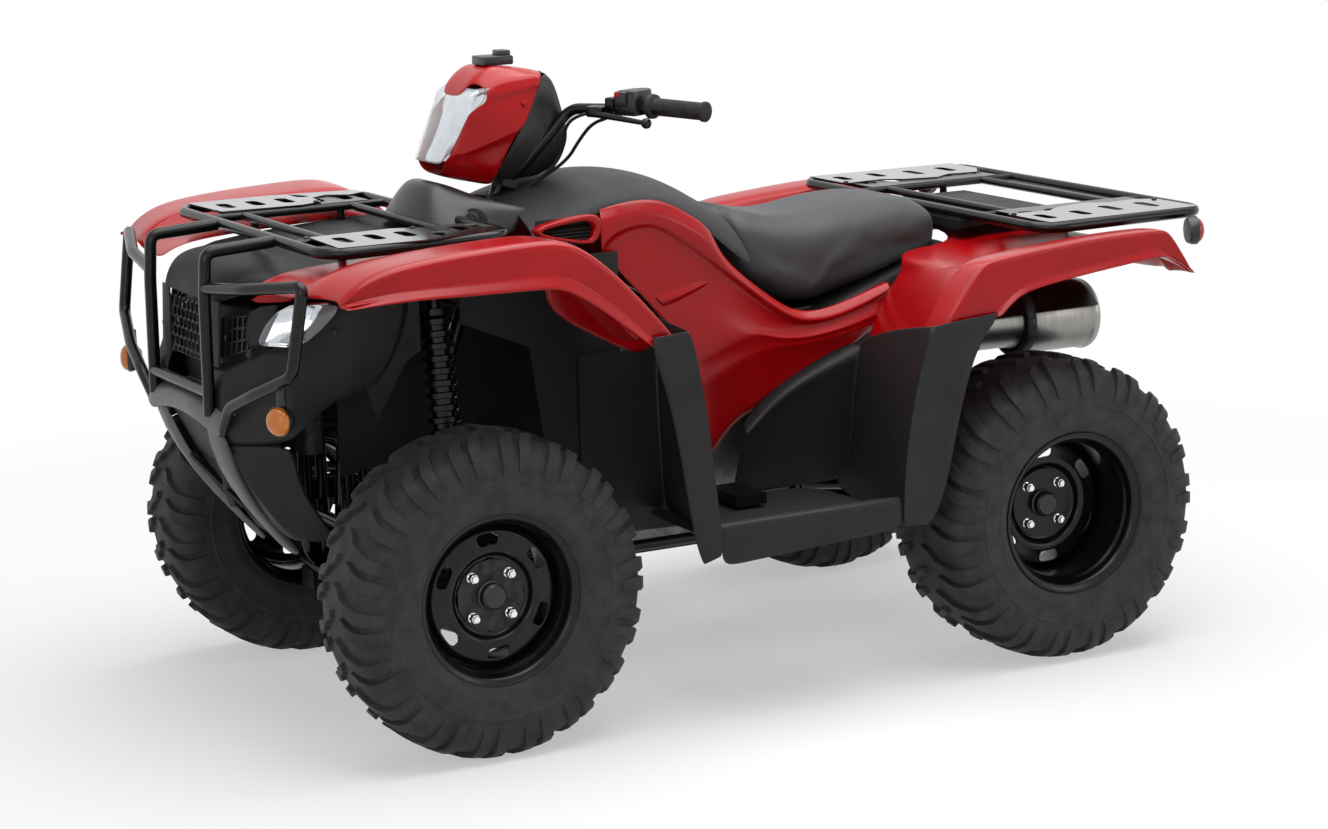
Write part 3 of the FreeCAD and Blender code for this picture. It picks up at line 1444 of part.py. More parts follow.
def add_front_fenders():
    """Arched covers over the front wheels: raised outer shoulder with a skirt, lower bed under the rack."""
    body = new_body("front_fender_left")
    skin = front_fender_points(FENDER_SKIN_SHARES)
    edge = front_fender_points(FENDER_EDGE_SHARES)
    bed = front_bed()
    step = skin + list(reversed(offset_path(bed, dim.panel_wall)))
    pad(body, "YZ_Plane", lines(band(skin, dim.panel_wall)), "Sizes.fender_outer - Sizes.fender_step",
        "Sizes.fender_step")
    pad(body, "YZ_Plane", lines(skin + edge), "Sizes.panel_wall", "Sizes.fender_outer - Sizes.panel_wall")
    pad(body, "YZ_Plane", lines(step), "Sizes.panel_wall", "Sizes.fender_step")
    pad(body, "YZ_Plane", lines(band(bed, dim.panel_wall)),
        "Sizes.fender_step + Sizes.panel_wall - Sizes.fender_inner", "Sizes.fender_inner")
    mirror_pair("front_fenders", body, "front_fender_half")


FOOT_LIP_SHARES = [(0.004, 0.942), (0.067, 0.569), (0.108, 0.150), (0.114, 0.021), (0.156, 0.013),
                   (0.238, 0.031), (0.397, 0.038), (0.605, 0.063), (0.747, 0.033), (0.824, 0.167),
                   (0.873, 0.496), (0.919, 0.700), (0.997, 0.888), (0.951, 0.904), (0.814, 0.802),
                   (0.738, 0.838), (0.706, 0.613), (0.679, 0.198), (0.532, 0.213), (0.400, 0.204),
                   (0.171, 0.221), (0.164, 0.302), (0.141, 0.635), (0.103, 0.994)]
FOOT_TRAY_SHARES = [(0.103, 0.994), (0.141, 0.635), (0.164, 0.302), (0.185, 0.145), (0.665, 0.145),
                    (0.679, 0.198), (0.706, 0.613), (0.738, 0.838)]
FOOT_SIDE_SHARES = [(0.425, 0.250), (0.470, 0.147), (0.668, 0.147), (0.700, 0.500), (0.735, 0.838),
                    (0.860, 0.720), (0.753, 0.656), (0.660, 0.596), (0.567, 0.504), (0.474, 0.371)]
SLANT_SHARES = [(0, 0), (1, 1), (1, 2), (0, 2)]


def add_footwells():
    """Moulded trays beside the engine: a floor, a wall before and behind it and a deep outer lip."""
    for name, side in SIDES.items():
        body = new_body("footwell_" + name)
        start = (-dim.foot_nose, dim.foot_floor)
        span = (dim.foot_length, dim.foot_height)
        tray = placed(FOOT_TRAY_SHARES, start, span)
        lip = placed(FOOT_LIP_SHARES, start, span)
        wall = placed(FOOT_SIDE_SHARES, start, span)
        inner, outer = "Sizes.foot_inner", "Sizes.foot_outer"
        if side == LEFT:
            tray_at, lip_at, wall_at = inner, outer + " - Sizes.lip_wall", inner
        else:
            tray_at, lip_at, wall_at = "-" + outer, "-" + outer, "-" + inner + " - Sizes.panel_wall"
        pad(body, "YZ_Plane", lines(band(tray, dim.panel_wall)), outer + " - " + inner, tray_at)
        slant = placed(SLANT_SHARES, (side * dim.foot_inner, dim.wall_low),
                       (side * (dim.foot_outer - dim.foot_inner - dim.lip_wall),
                        dim.wall_high - dim.wall_low))
        pocket(body, "XZ_Plane", lines(slant), "Sizes.overrun", symmetric=False, reverse=True)
        pad(body, "YZ_Plane", lines(lip), "Sizes.lip_wall", lip_at)
        pad(body, "YZ_Plane", lines(wall), "Sizes.panel_wall", wall_at)


REAR_SKIN_SHARES = [(0.0, 0.040), (0.148, 0.781), (0.361, 0.888), (0.598, 0.956), (0.861, 0.975),
                    (0.890, 0.944), (0.994, 0.356)]
REAR_EDGE_SHARES = [(0.880, 0.594), (0.821, 0.619), (0.529, 0.500), (0.281, 0.331), (0.210, 0.113)]



def lowered(path, drop):
    """The path of a panel's floor under a rack: dropped, with both ends kept."""
    return [path[0]] + [(y, z - drop) for y, z in path[1:-1]] + [path[-1]]


def rear_bed():
    """The floor of the rear fender under the rack, as a path of (y, z) pairs."""
    start = (dim.rear_fender_start, dim.rear_fender_floor)
    span = (dim.rear_fender_length, dim.rear_fender_height)
    return lowered(placed(REAR_SKIN_SHARES, start, span), dim.rear_bed_drop)


def add_rear_fender():
    """One cover over both rear wheels: raised shoulders, a lower bed under the rack, a seat bay."""
    body = new_body("rear_fender")
    start = (dim.rear_fender_start, dim.rear_fender_floor)
    span = (dim.rear_fender_length, dim.rear_fender_height)
    skin = placed(REAR_SKIN_SHARES, start, span)
    edge = placed(REAR_EDGE_SHARES, start, span)
    bed = rear_bed()
    step = skin + list(reversed(offset_path(bed, dim.panel_wall)))
    pad(body, "YZ_Plane", lines(band(bed, dim.panel_wall)), "2 * Sizes.rear_bed_half", symmetric=True)
    for low in ("Sizes.rear_bed_half - Sizes.panel_wall", "-Sizes.rear_bed_half"):
        pad(body, "YZ_Plane", lines(step), "Sizes.panel_wall", low)
    for low in ("Sizes.rear_bed_half - Sizes.panel_wall", "-Sizes.half_width"):
        pad(body, "YZ_Plane", lines(band(skin, dim.panel_wall)),
            "Sizes.half_width - Sizes.rear_bed_half + Sizes.panel_wall", low)
    for low in ("Sizes.half_width - Sizes.panel_wall", "-Sizes.half_width"):
        pad(body, "YZ_Plane", lines(skin + edge), "Sizes.panel_wall", low)
    foot = skin[0]
    low = (foot[0] + dim.flap_back, foot[1] - dim.flap_drop)
    apron = band([low, foot, skin[1]], dim.panel_wall)
    pad(body, "YZ_Plane", lines(apron), "2 * Sizes.half_width", symmetric=True)
    for side in SIDES.values():
        trim = [(side * dim.cover_outer, low[1]), (side * dim.half_width, foot[1]),
                (side * 2 * dim.half_width, foot[1]), (side * 2 * dim.half_width, low[1] - dim.flap_drop),
                (side * dim.cover_outer, low[1] - dim.flap_drop)]
        pocket(body, "XZ_Plane", lines(trim), "4 * Sizes.overrun")
    wide, narrow = dim.seat_bay_half + dim.flap_gap, dim.seat_bay_half
    start_y, step_y, end_y = dim.rear_fender_start - dim.flap_back, dim.seat_bay_step, dim.seat_bay_end
    bay = [(-wide, start_y), (wide, start_y), (wide, step_y), (narrow, step_y), (narrow, end_y),
           (-narrow, end_y), (-narrow, step_y), (-wide, step_y)]
    pocket(body, "XY_Plane", lines(bay), "4 * Sizes.overrun")


def add_tail_cover():
    """A lidded tray between the seat and the rear rack, on the fender's bed."""
    start, end = dim.tail_cover_start, dim.tail_cover_end
    route = rear_bed()
    places = [start] + [y for y, _ in route if start < y < end] + [end]
    low = [(y, height_on(route, y) + dim.seat_gap) for y in places]
    body = new_body("tail_cover")
    pad(body, "YZ_Plane", lines(low + [(end, dim.tail_cover_top), (start, dim.tail_cover_top)]),
        "2 * Sizes.tail_cover_half", symmetric=True)


def add_front_tray():
    """The tray under the front rack, between the beds of the two fenders."""
    start, end = -dim.front_rack_nose, -dim.front_rack_back - dim.rack_tube_radius
    route = front_bed()
    path = [(y, height_on(route, y)) for y in [start] + [y for y, _ in route if start < y < end] + [end]]
    body = new_body("front_tray")
    pad(body, "YZ_Plane", lines(band(path, dim.panel_wall)), "2 * Sizes.fender_inner - 2 * Sizes.seat_gap",
        symmetric=True)


COVER_SHARES = [(0.008, 0.917), (0.075, 0.972), (0.286, 0.991), (0.491, 0.900), (0.598, 0.670),
                (0.715, 0.552), (0.988, 0.569), (0.925, 0.383), (0.801, 0.287), (0.475, 0.013),
                (0.419, 0.465), (0.170, 0.796)]


def inset(points, distance):
    """A closed outline moved inwards by one distance, with mitred corners."""
    area = sum(a[0] * b[1] - b[0] * a[1] for a, b in zip(points, points[1:] + points[:1]))
    signed = -distance if area > 0 else distance
    ring = points[-1:] + points + points[:1]
    return offset_path(ring, signed)[1:-1]


def add_side_covers():
    """Covers below the tank and the front of the seat: a plain side with a rim turned inwards."""
    start, span = (-dim.cover_nose, dim.cover_floor), (dim.cover_length, dim.cover_height)
    outline = placed(COVER_SHARES, start, span)
    hollow = inset(outline, dim.panel_wall)
    for name, side in SIDES.items():
        body = new_body("side_cover_" + name)
        at = "Sizes.cover_inner" if side == LEFT else "-Sizes.cover_outer"
        pad(body, "YZ_Plane", lines(outline), "Sizes.cover_outer - Sizes.cover_inner", at)
        inner_at = "Sizes.cover_inner" if side == LEFT else "-Sizes.cover_inner"
        pocket(body, "YZ_Plane", lines(hollow), "Sizes.cover_outer - Sizes.cover_inner - Sizes.panel_wall",
               inner_at, symmetric=False, reverse=(side == LEFT))


def cross_section(along, half, low, high, shoulder_share, crown_share):
    """A six-cornered section across the vehicle: flat bottom, upright sides, crowned top."""
    shoulder = low + (high - low) * shoulder_share
    return [V(-half, along, low), V(half, along, low), V(half, along, shoulder),
            V(half * crown_share, along, high), V(-half * crown_share, along, high),
            V(-half, along, shoulder)]


# (share of length, share of half width, share of bottom height, share of top height)
TANK_SHARES = [(0.0, 0.80, 0.02, 0.33), (0.12, 0.88, 0.05, 0.56), (0.27, 0.98, 0.1, 0.86),
               (0.437, 1.0, 0.2, 1.0), (0.69, 0.86, 0.15, 0.89), (0.87, 0.72, -0.05, 0.45),
               (0.998, 0.60, -0.25, 0.12)]
SEAT_SHARES = [(0.0, 0.56, 0.30, 0.87), (0.135, 0.78, 0.15, 0.80), (0.257, 0.90, 0.0, 0.75),
               (0.45, 0.98, 0.05, 0.77), (0.65, 1.0, 0.165, 0.82), (0.85, 0.98, 0.30, 0.80),
               (0.965, 0.90, 0.39, 0.74), (1.0, 0.80, 0.45, 0.60)]


def lofted_cover(shares, start, length, half, low, height, shoulder_share, crown_share):
    sections = [cross_section(start + u * length, half * w, low + a * height, low + b * height,
                              shoulder_share, crown_share) for u, w, a, b in shares]
    return lofted(sections)


def add_tank_cover():
    shape = lofted_cover(TANK_SHARES, -dim.tank_nose, dim.tank_length, dim.tank_half, dim.tank_floor,
                         dim.tank_height, TANK_SHOULDER_SHARE, TANK_CROWN_SHARE)
    feature("tank_cover", shape)


TANK_SHOULDER_SHARE = 0.6
TANK_CROWN_SHARE = 0.6
SEAT_SHOULDER_SHARE = 0.7
SEAT_CROWN_SHARE = 0.75


def add_seat():
    shape = lofted_cover(SEAT_SHARES, dim.seat_start, dim.seat_length, dim.seat_half, dim.seat_floor,
                         dim.seat_height, SEAT_SHOULDER_SHARE, SEAT_CROWN_SHARE)
    feature("seat", shape)


add_front_fenders()
add_footwells()
add_rear_fender()
add_tail_cover()
add_front_tray()
add_side_covers()
add_tank_cover()
add_seat()

# Nose

NOSE_SIDE_SHARES = [(0.0, 0.44), (0.015, 0.90), (0.09, 1.0), (0.60, 1.0), (1.0, 0.859), (0.931, 0.668),
                    (0.774, 0.456), (0.623, 0.388), (0.45, 0.30), (0.36, 0.0), (0.22, 0.12)]


NOSE_DEEP_SHARE = 0.5


def lamp_outline():
    """The left headlamp's outline as (x, z) pairs."""
    return placed(LAMP_SHARES, (dim.lamp_inner, dim.lamp_floor), (dim.lamp_width, dim.lamp_height))


def add_fascia():
    """The nose moulding: a centre with the grille opening, and a swept flank on each side."""
    start, span = (-dim.fascia_nose, dim.fascia_floor), (dim.fascia_length, dim.fascia_height)
    side = placed(NOSE_SIDE_SHARES, start, span)
    back = -dim.fascia_nose + dim.fascia_length
    right = [(-dim.fascia_half, back), (-dim.fascia_half, -dim.fascia_flank),
             (-dim.grille_half, -dim.fascia_nose)]
    plan = right + [(-x, y) for x, y in reversed(right)]
    far = dim.overrun
    outer = slab(side, V(-far / 2, 0, 0), Y_AXIS, Z_AXIS, far).common(slab(plan, ORIGIN, X_AXIS, Y_AXIS, far))
    inner_side, inner_plan = inset(side, dim.panel_wall), inset(plan, dim.panel_wall)
    hollow = slab(inner_side, V(-far / 2, 0, 0), Y_AXIS, Z_AXIS, far).common(
        slab(inner_plan, ORIGIN, X_AXIS, Y_AXIS, far))
    half, low, high = dim.grille_half, dim.grille_floor, dim.grille_floor + dim.grille_height
    openings = [block(V(-half, -far, low), V(half, back - dim.fascia_length * NOSE_DEEP_SHARE, high)),
                block(V(-dim.fascia_half + 2 * dim.panel_wall, back - dim.fascia_length * NOSE_DEEP_SHARE, 0),
                      V(dim.fascia_half - 2 * dim.panel_wall, far, far)),
                block(V(-dim.radiator_half - dim.radiator_thickness,
                        -dim.radiator_ahead - dim.radiator_thickness / 2, 0),
                      V(dim.radiator_half + dim.radiator_thickness, far, far))]
    lamp_back = V(0, -dim.lamp_nose + dim.lamp_depth + dim.running_gap, 0)
    lamp = slab(inset(lamp_outline(), -dim.seat_gap), lamp_back, X_AXIS, Z_AXIS, far)
    openings += [lamp, mirrored(lamp)]
    feature("front_fascia", outer.cut(hollow).cut(Part.makeCompound(openings)))


BAR_HALF_SHARE = 0.25


def add_grille():
    """A mesh of crossed bars that fills the opening in the nose."""
    y = -dim.fascia_nose + dim.panel_wall
    half, low = dim.grille_half - dim.seat_gap, dim.grille_floor + dim.seat_gap
    width, height = 2 * half, dim.grille_height - 2 * dim.seat_gap
    rim = [(-half, low), (half, low), (half, low + height), (-half, low + height)]
    hole = inset(rim, dim.grille_bar)
    frame = slab(rim, V(0, y + dim.grille_depth, 0), X_AXIS, Z_AXIS, dim.grille_depth)
    cut_back = V(0, y + 2 * dim.grille_depth, 0)
    frame = frame.cut(slab(hole, cut_back, X_AXIS, Z_AXIS, CUT_DEPTHS * dim.grille_depth))
    bar_half = dim.grille_bar * BAR_HALF_SHARE
    front, back = y + dim.grille_depth * BAR_HALF_SHARE, y + dim.grille_depth * (1 - BAR_HALF_SHARE)
    bars = []
    for k in range(1, int(dim.grille_columns)):
        x = -half + width * k / dim.grille_columns
        bars.append(block(V(x - bar_half, front, low), V(x + bar_half, back, low + height)))
    for k in range(1, int(dim.grille_rows)):
        z = low + height * k / dim.grille_rows
        bars.append(block(V(-half, front, z - bar_half), V(half, back, z + bar_half)))
    feature("grille", fused([frame] + bars))


# Heights and widths on the chin plate: where its sides turn in, and the window between its bars
CHIN_TURN_SHARE = 0.66
CHIN_BELOW_SHARE = 0.2
WINDOW_TOP = (0.55, 0.62)
WINDOW_FOOT = (0.35, 0.16)
CHIN_SHARES = [(0.0, 1.0), (0.13, 1.0), (0.32, 0.68), (1.0, 0.0), (0.94, -0.04), (0.14, 0.62),
               (0.0, 0.93)]


def add_front_bumper():
    """The chin plate and the two converging bars that run down to the skid plate."""
    body = new_body("front_bumper")
    start, span = (-dim.nose_length, dim.bumper_floor), (dim.bumper_length, dim.bumper_height)
    outline = placed(CHIN_SHARES, start, span)
    pad(body, "YZ_Plane", lines(outline), "2 * Sizes.bumper_top_half", symmetric=True)
    turn = dim.bumper_floor + dim.bumper_height * CHIN_TURN_SHARE
    below = dim.bumper_floor - dim.bumper_height * CHIN_BELOW_SHARE
    for side in SIDES.values():
        trim = [(side * dim.bumper_top_half, turn), (side * dim.bumper_foot_half, below),
                (side * 2 * dim.bumper_top_half, below), (side * 2 * dim.bumper_top_half, turn)]
        pocket(body, "XZ_Plane", lines(trim), "4 * Sizes.overrun")
    top_half = dim.bumper_top_half * WINDOW_TOP[0]
    top = dim.bumper_floor + dim.bumper_height * WINDOW_TOP[1]
    foot_half = dim.bumper_foot_half * WINDOW_FOOT[0]
    foot = dim.bumper_floor + dim.bumper_height * WINDOW_FOOT[1]
    window = [(-top_half, top), (top_half, top), (foot_half, foot), (-foot_half, foot)]
    pocket(body, "XZ_Plane", lines(window), "4 * Sizes.overrun")


# Height of the cross tube above the guard's foot, in tube radii
CROSS_RISE = 5


def add_brush_guard():
    """The tube guard: a loop on each side, two upright tubes that bend back to the rack, a cross tube."""
    r, bend = dim.guard_tube_radius, dim.guard_bend
    shapes = []
    y = -dim.guard_nose
    for side in SIDES.values():
        x = side * dim.guard_inner_half
        foot = V(x, y, dim.guard_floor)
        crown = V(x, y, dim.guard_crown)
        back = V(x, y + dim.guard_return, dim.front_rack_height)
        low_in = V(x, y, dim.guard_floor + 2 * r)
        low_knee = V(x + side * dim.guard_knee, y, dim.guard_floor + 2 * r)
        low_out = V(side * dim.guard_half, y + dim.guard_sweep, dim.guard_low_corner)
        top_out = V(side * dim.guard_half, y + dim.guard_sweep, dim.guard_top)
        top_in = V(x, y, dim.guard_top - 2 * r)
        shapes.append(tube([foot, crown, back], r, bend))
        shapes.append(tube([low_in, low_knee, low_out, top_out, top_in], r, bend))
    cross_height = dim.guard_floor + CROSS_RISE * r
    shapes.append(rod(V(-dim.guard_inner_half, y, cross_height), V(dim.guard_inner_half, y, cross_height), r))
    feature("brush_guard", fused(shapes))


def rack_loop(front_half, rear_half, front_y, rear_y, height, radius, bend):
    corners = [V(-front_half, front_y, height), V(front_half, front_y, height),
               V(rear_half, rear_y, height), V(-rear_half, rear_y, height)]
    middle = (corners[0] + corners[1]) / 2
    return tube([middle] + corners[1:] + corners[:1] + [middle], radius, bend)


def oval(centre, half_length, half_width, count):
    """A long hole's outline with round ends, laid across the vehicle."""
    points = []
    for turn, end in ((0, 1), (math.pi, -1)):
        for k in range(count + 1):
            angle = turn - math.pi / 2 + math.pi * k / count
            points.append((centre[0] + end * (half_length - half_width) + half_width * math.cos(angle),
                           centre[1] + half_width * math.sin(angle)))
    return points


def slotted_plate(outline, holes, floor, thickness):
    """A flat plate with long holes."""
    plate = slab(outline, V(0, 0, floor), X_AXIS, Y_AXIS, thickness)
    cuts = [slab(hole, V(0, 0, floor - thickness), X_AXIS, Y_AXIS, CUT_DEPTHS * thickness) for hole in holes]
    return plate.cut(Part.makeCompound(cuts))


RAIL_RADIUS_SHARE = 0.75
PLATE_SHARES = (0.1, 0.9)
SLOT_ROWS = 5
SLOT_HALF_SHARE = 0.3
SLOT_WIDTH_SHARE = 0.28
SLOT_FACETS = 5
CROSS_SHARES = (0.2, 0.8)
FRONT_RAIL_SHARE = 0.60
REAR_RAIL_SHARE = 0.52
FRONT_LEG_SHARES = (0.26, 0.74)
REAR_LEG_SHARES = (0.13, 0.55)


def rack_shape(front_half, rear_half, front_y, rear_y, height, bed, inner_share, leg_shares):
    """A loop of tube with two rails, two cross tubes, slotted side plates and legs down to the fender."""
    r = dim.rack_tube_radius
    rail_radius = r * RAIL_RADIUS_SHARE
    length = rear_y - front_y
    inner_half = min(front_half, rear_half) * inner_share

    def side_at(y):
        return rear_half + (front_half - rear_half) * (rear_y - y) / length

    shapes = [rack_loop(front_half, rear_half, front_y, rear_y, height, r, dim.rack_bend)]
    for along in CROSS_SHARES:
        y = front_y + length * along
        shapes.append(rod(V(-side_at(y), y, height), V(side_at(y), y, height), rail_radius))
    y0, y1 = (front_y + length * share for share in PLATE_SHARES)
    x_in = inner_half
    for side in SIDES.values():
        rail = [V(side * inner_half, y, height) for y in (front_y, rear_y)]
        shapes.append(rod(*rail, rail_radius))
        outline = [(side * x_in, y0), (side * side_at(y0), y0), (side * side_at(y1), y1), (side * x_in, y1)]
        pitch = (y1 - y0) / SLOT_ROWS
        holes = []
        for k in range(SLOT_ROWS):
            y = y0 + pitch * (k + SLOT_TURN_SHARE)
            span = side_at(y) - x_in
            holes.append(oval((side * (x_in + span / 2), y), span * SLOT_HALF_SHARE, pitch * SLOT_WIDTH_SHARE,
                              SLOT_FACETS))
        shapes.append(slotted_plate(outline, holes, height + dim.rack_plate_rise, dim.rack_plate_thickness))
        for along in leg_shares:
            y = front_y + length * along
            floor = max(height_on(bed, y - r), height_on(bed, y + r)) + dim.seat_gap
            shapes.append(rod(V(side * inner_half, y, height), V(side * inner_half, y, floor), rail_radius))
    return joined(shapes)


def add_racks():
    feature("front_rack", rack_shape(dim.front_rack_half, dim.front_rack_rear_half, -dim.front_rack_nose,
                                     -dim.front_rack_back, dim.front_rack_height, front_bed(),
                                     FRONT_RAIL_SHARE, FRONT_LEG_SHARES))
    feature("rear_rack", rack_shape(dim.rear_rack_half, dim.rear_rack_rear_half, dim.rear_rack_start,
                                    dim.rear_rack_end, dim.rear_rack_height, rear_bed(),
                                    REAR_RAIL_SHARE, REAR_LEG_SHARES))


def guard_tube_height(x):
    """Height of the brush guard's lower outer tube at a distance from the middle."""
    knee = dim.guard_inner_half + dim.guard_knee
    low = dim.guard_floor + 2 * dim.guard_tube_radius
    return low + (dim.guard_low_corner - low) * (x - knee) / (dim.guard_half - knee)


LENS_MIDDLE_SHARE = 0.3
LENS_RIM_SHARE = 0.6
STALK_SHARE = 0.4
LAMP_SHARES = [(0.0, 0.0), (0.35, 0.62), (1.0, 1.0), (0.95, 0.45), (0.72, 0.05)]


def add_lamps():
    """Headlamps in the nose, round turn signals below them and round tail lamps at the back."""
    body = new_body("headlamp_left")
    start = (dim.lamp_inner, dim.lamp_floor)
    span = (dim.lamp_width, dim.lamp_height)
    pad(body, "XZ_Plane", lines(placed(LAMP_SHARES, start, span)), "Sizes.lamp_depth",
        "Sizes.lamp_nose - Sizes.lamp_depth")
    mirror_pair("headlamps", body, "headlamp_half")
    for label, centre, heading, length in (
            ("turn_signals", V(dim.signal_half, -dim.signal_nose, dim.signal_height), Y_AXIS * -1,
             dim.signal_depth),
            ("tail_lamps", V(dim.tail_lamp_half, dim.tail_lamp_back, dim.tail_lamp_height), Y_AXIS,
             dim.signal_depth)):
        lens = turned_along([(0, dim.signal_radius), (length * LENS_RIM_SHARE, dim.signal_radius),
                             (length, dim.signal_radius * LENS_RIM_SHARE)], RING_FACETS, centre, heading)
        middle = centre + heading * (length * LENS_MIDDLE_SHARE)
        if label == "turn_signals":
            stalk = dim.signal_radius * STALK_SHARE
            top = guard_tube_height(middle.x - stalk) - dim.guard_tube_radius - 2 * dim.seat_gap
            arms = [rod(middle, V(middle.x, middle.y, top), dim.signal_radius * STALK_SHARE)]
        else:
            foot = V(dim.tail_lamp_post, middle.y, middle.z)
            top = dim.rear_rack_height - dim.rack_tube_radius - dim.seat_gap
            half = dim.signal_radius * STALK_SHARE
            corner = V(foot.x - half, foot.y - half, foot.z - half)
            arms = [block(corner, V(middle.x, foot.y + half / 2, foot.z + half)),
                    block(corner, V(foot.x + half, foot.y + half / 2, top))]
        feature(label, both_sides(fused([lens] + arms)))


def add_pod():
    """The handlebar pod: a coloured cowl, a dark housing behind it and the clear lamp in front."""
    start = (-dim.pod_nose, dim.pod_floor)
    span = (dim.pod_length, dim.pod_height)
    cowl = placed(POD_COWL_SHARES, start, span)
    lamp = placed(POD_LAMP_SHARES, start, span)
    housing = placed(POD_HOUSING_SHARES, start, span)
    shapes = {}
    plan = placed(POD_PLAN_SHARES, (0, -dim.pod_nose), (dim.pod_half, dim.pod_length))
    front = placed(POD_FRONT_SHARES, (0, dim.pod_floor), (dim.pod_half, dim.pod_height))
    taper = slab(plan, ORIGIN, X_AXIS, Y_AXIS, dim.overrun).common(
        slab(front, V(0, dim.overrun / 2, 0), X_AXIS, Z_AXIS, dim.overrun))
    for label, outline, half in (("pod_cowl", cowl, dim.pod_half), ("pod_headlamp", lamp, dim.pod_lamp_half),
                                 ("pod_housing", housing, dim.pod_housing_half)):
        shapes[label] = slab(outline, V(-half, 0, 0), Y_AXIS, Z_AXIS, 2 * half).common(taper)
    shapes["pod_headlamp"] = shapes["pod_headlamp"].cut(shapes["pod_cowl"])
    bar = tube(handlebar_route(), dim.bar_radius + dim.seat_gap, dim.bar_bend)
    shapes["pod_housing"] = shapes["pod_housing"].cut(bar)
    for label, shape in shapes.items():
        feature(label, shape)


# Half widths and places as shares: the pod narrows to its nose, its foot and its top
POD_PLAN_SHARES = [(-0.55, -0.1), (0.55, -0.1), (0.72, 0.12), (1.0, 0.46), (1.0, 1.1), (-1.0, 1.1),
                   (-1.0, 0.46), (-0.72, 0.12)]
POD_FRONT_SHARES = [(-0.66, -0.1), (0.66, -0.1), (1.0, 0.3), (1.0, 0.72), (0.62, 1.05), (-0.62, 1.05),
                    (-1.0, 0.72), (-1.0, 0.3)]
POD_COWL_SHARES = [(0.21, 0.80), (0.30, 0.90), (0.55, 1.0), (0.80, 0.93), (0.62, 0.55), (0.45, 0.03),
                   (0.10, 0.14), (0.14, 0.22), (0.34, 0.74)]
POD_LAMP_SHARES = [(0.135, 0.225), (0.335, 0.745), (0.205, 0.795), (0.02, 0.26)]
POD_HOUSING_SHARES = [(0.63, 0.55), (0.81, 0.93), (0.98, 0.86), (0.98, 0.60), (0.80, 0.30), (0.60, 0.28),
                      (0.54, 0.30)]


def add_console():
    """The moulding round the column between the front rack and the tank, with a slot for the column."""
    body = new_body("console")
    start, span = (-dim.console_nose, dim.console_floor), (dim.console_length, dim.console_height)
    outline = placed(CONSOLE_SHARES, start, span)
    pad(body, "YZ_Plane", lines(outline), "2 * Sizes.console_half", symmetric=True)
    hollow = inset(outline, dim.panel_wall)
    pocket(body, "YZ_Plane", lines(hollow), "2 * Sizes.console_half - 2 * Sizes.panel_wall")
    half = dim.stem_radius + dim.running_gap * 2
    slot = [(-half, -dim.console_nose + dim.panel_wall * 2), (half, -dim.console_nose + dim.panel_wall * 2),
            (half, 0), (-half, 0)]
    pocket(body, "XY_Plane", lines(slot), "4 * Sizes.overrun")


CONSOLE_SHARES = [(0.0, 0.4), (0.1, 1.0), (0.55, 0.85), (0.75, 0.5), (1.0, 0.3), (1.0, 0.0), (0.0, 0.0)]


def add_inner_guards():
    """Mudguard liners between the front wheels and the frame."""
    body = new_body("inner_guard_half_left")
    start = (-dim.guard_liner_nose, dim.guard_liner_floor)
    span = (dim.guard_liner_length, dim.guard_liner_height)
    outline = placed(LINER_SHARES, start, span)
    pad(body, "YZ_Plane", lines(outline), "Sizes.panel_wall", "Sizes.guard_liner_half")
    shock = shock_foot()
    reach = dim.spring_radius + 2 * dim.running_gap
    window = [(shock.y - reach, dim.guard_liner_floor), (shock.y + reach, dim.guard_liner_floor),
              (shock.y + reach, dim.tower_height), (shock.y - reach, dim.tower_height)]
    pocket(body, "YZ_Plane", lines(window), "4 * Sizes.overrun")
    post = f"Sizes.frame_half_width + Sizes.frame_tube_radius * {POST_SHARE} + Sizes.seat_gap"
    for along in (-1, 1):
        stay = circle(FRONT_AXLE.y + along * dim.arm_spread, dim.tower_height - dim.frame_bend / 2,
                      dim.liner_stay_radius)
        pad(body, "YZ_Plane", stay, f"Sizes.guard_liner_half - ({post}) + Sizes.panel_wall / 2", post)
    mirror_pair("inner_guards", body, "inner_guard_half")


LINER_SHARES = [(0.0, 0.55), (0.10, 1.0), (1.0, 1.0), (1.0, 0.0), (0.70, 0.05), (0.64, 0.6),
                (0.37, 0.75), (0.164, 0.6), (0.05, 0.35)]


def add_foot_pegs():
    shapes = []
    for side in SIDES.values():
        low = V(min(side * dim.peg_inner, side * dim.peg_outer), dim.peg_start, dim.peg_height)
        high = V(max(side * dim.peg_inner, side * dim.peg_outer), dim.peg_start + dim.peg_width,
                 dim.peg_height + dim.peg_thickness)
        shapes.append(block(low, high))
    feature("foot_pegs", Part.makeCompound(shapes))


add_fascia()
add_grille()
add_front_bumper()
add_brush_guard()
add_racks()
add_lamps()
add_pod()
add_console()
add_inner_guards()
add_foot_pegs()

# Checks and files

NODES = [
    "frame", "skid_plate", "engine", "exhaust", "radiator", "front_drive", "front_arms", "front_shocks",
    "swing_arm", "rear_shock", "front_fenders", "inner_guards", "front_fascia", "grille", "front_bumper",
    "brush_guard", "headlamps", "turn_signals", "front_rack", "console", "tank_cover", "side_cover_left",
    "side_cover_right", "seat", "rear_fender", "tail_cover", "front_tray", "rear_rack", "tail_lamps",
    "footwell_left", "footwell_right",
    "foot_pegs", "steering_stem", "handlebar", "grips", "controls", "pod_cowl", "pod_housing",
    "pod_headlamp", "tie_rod_left", "tie_rod_right", "knuckle_left", "knuckle_right", "hub_front_left",
    "hub_front_right", "rim_front_left", "rim_front_right", "tyre_front_left", "tyre_front_right",
    "rear_axle", "rims_rear", "tyres_rear",
]


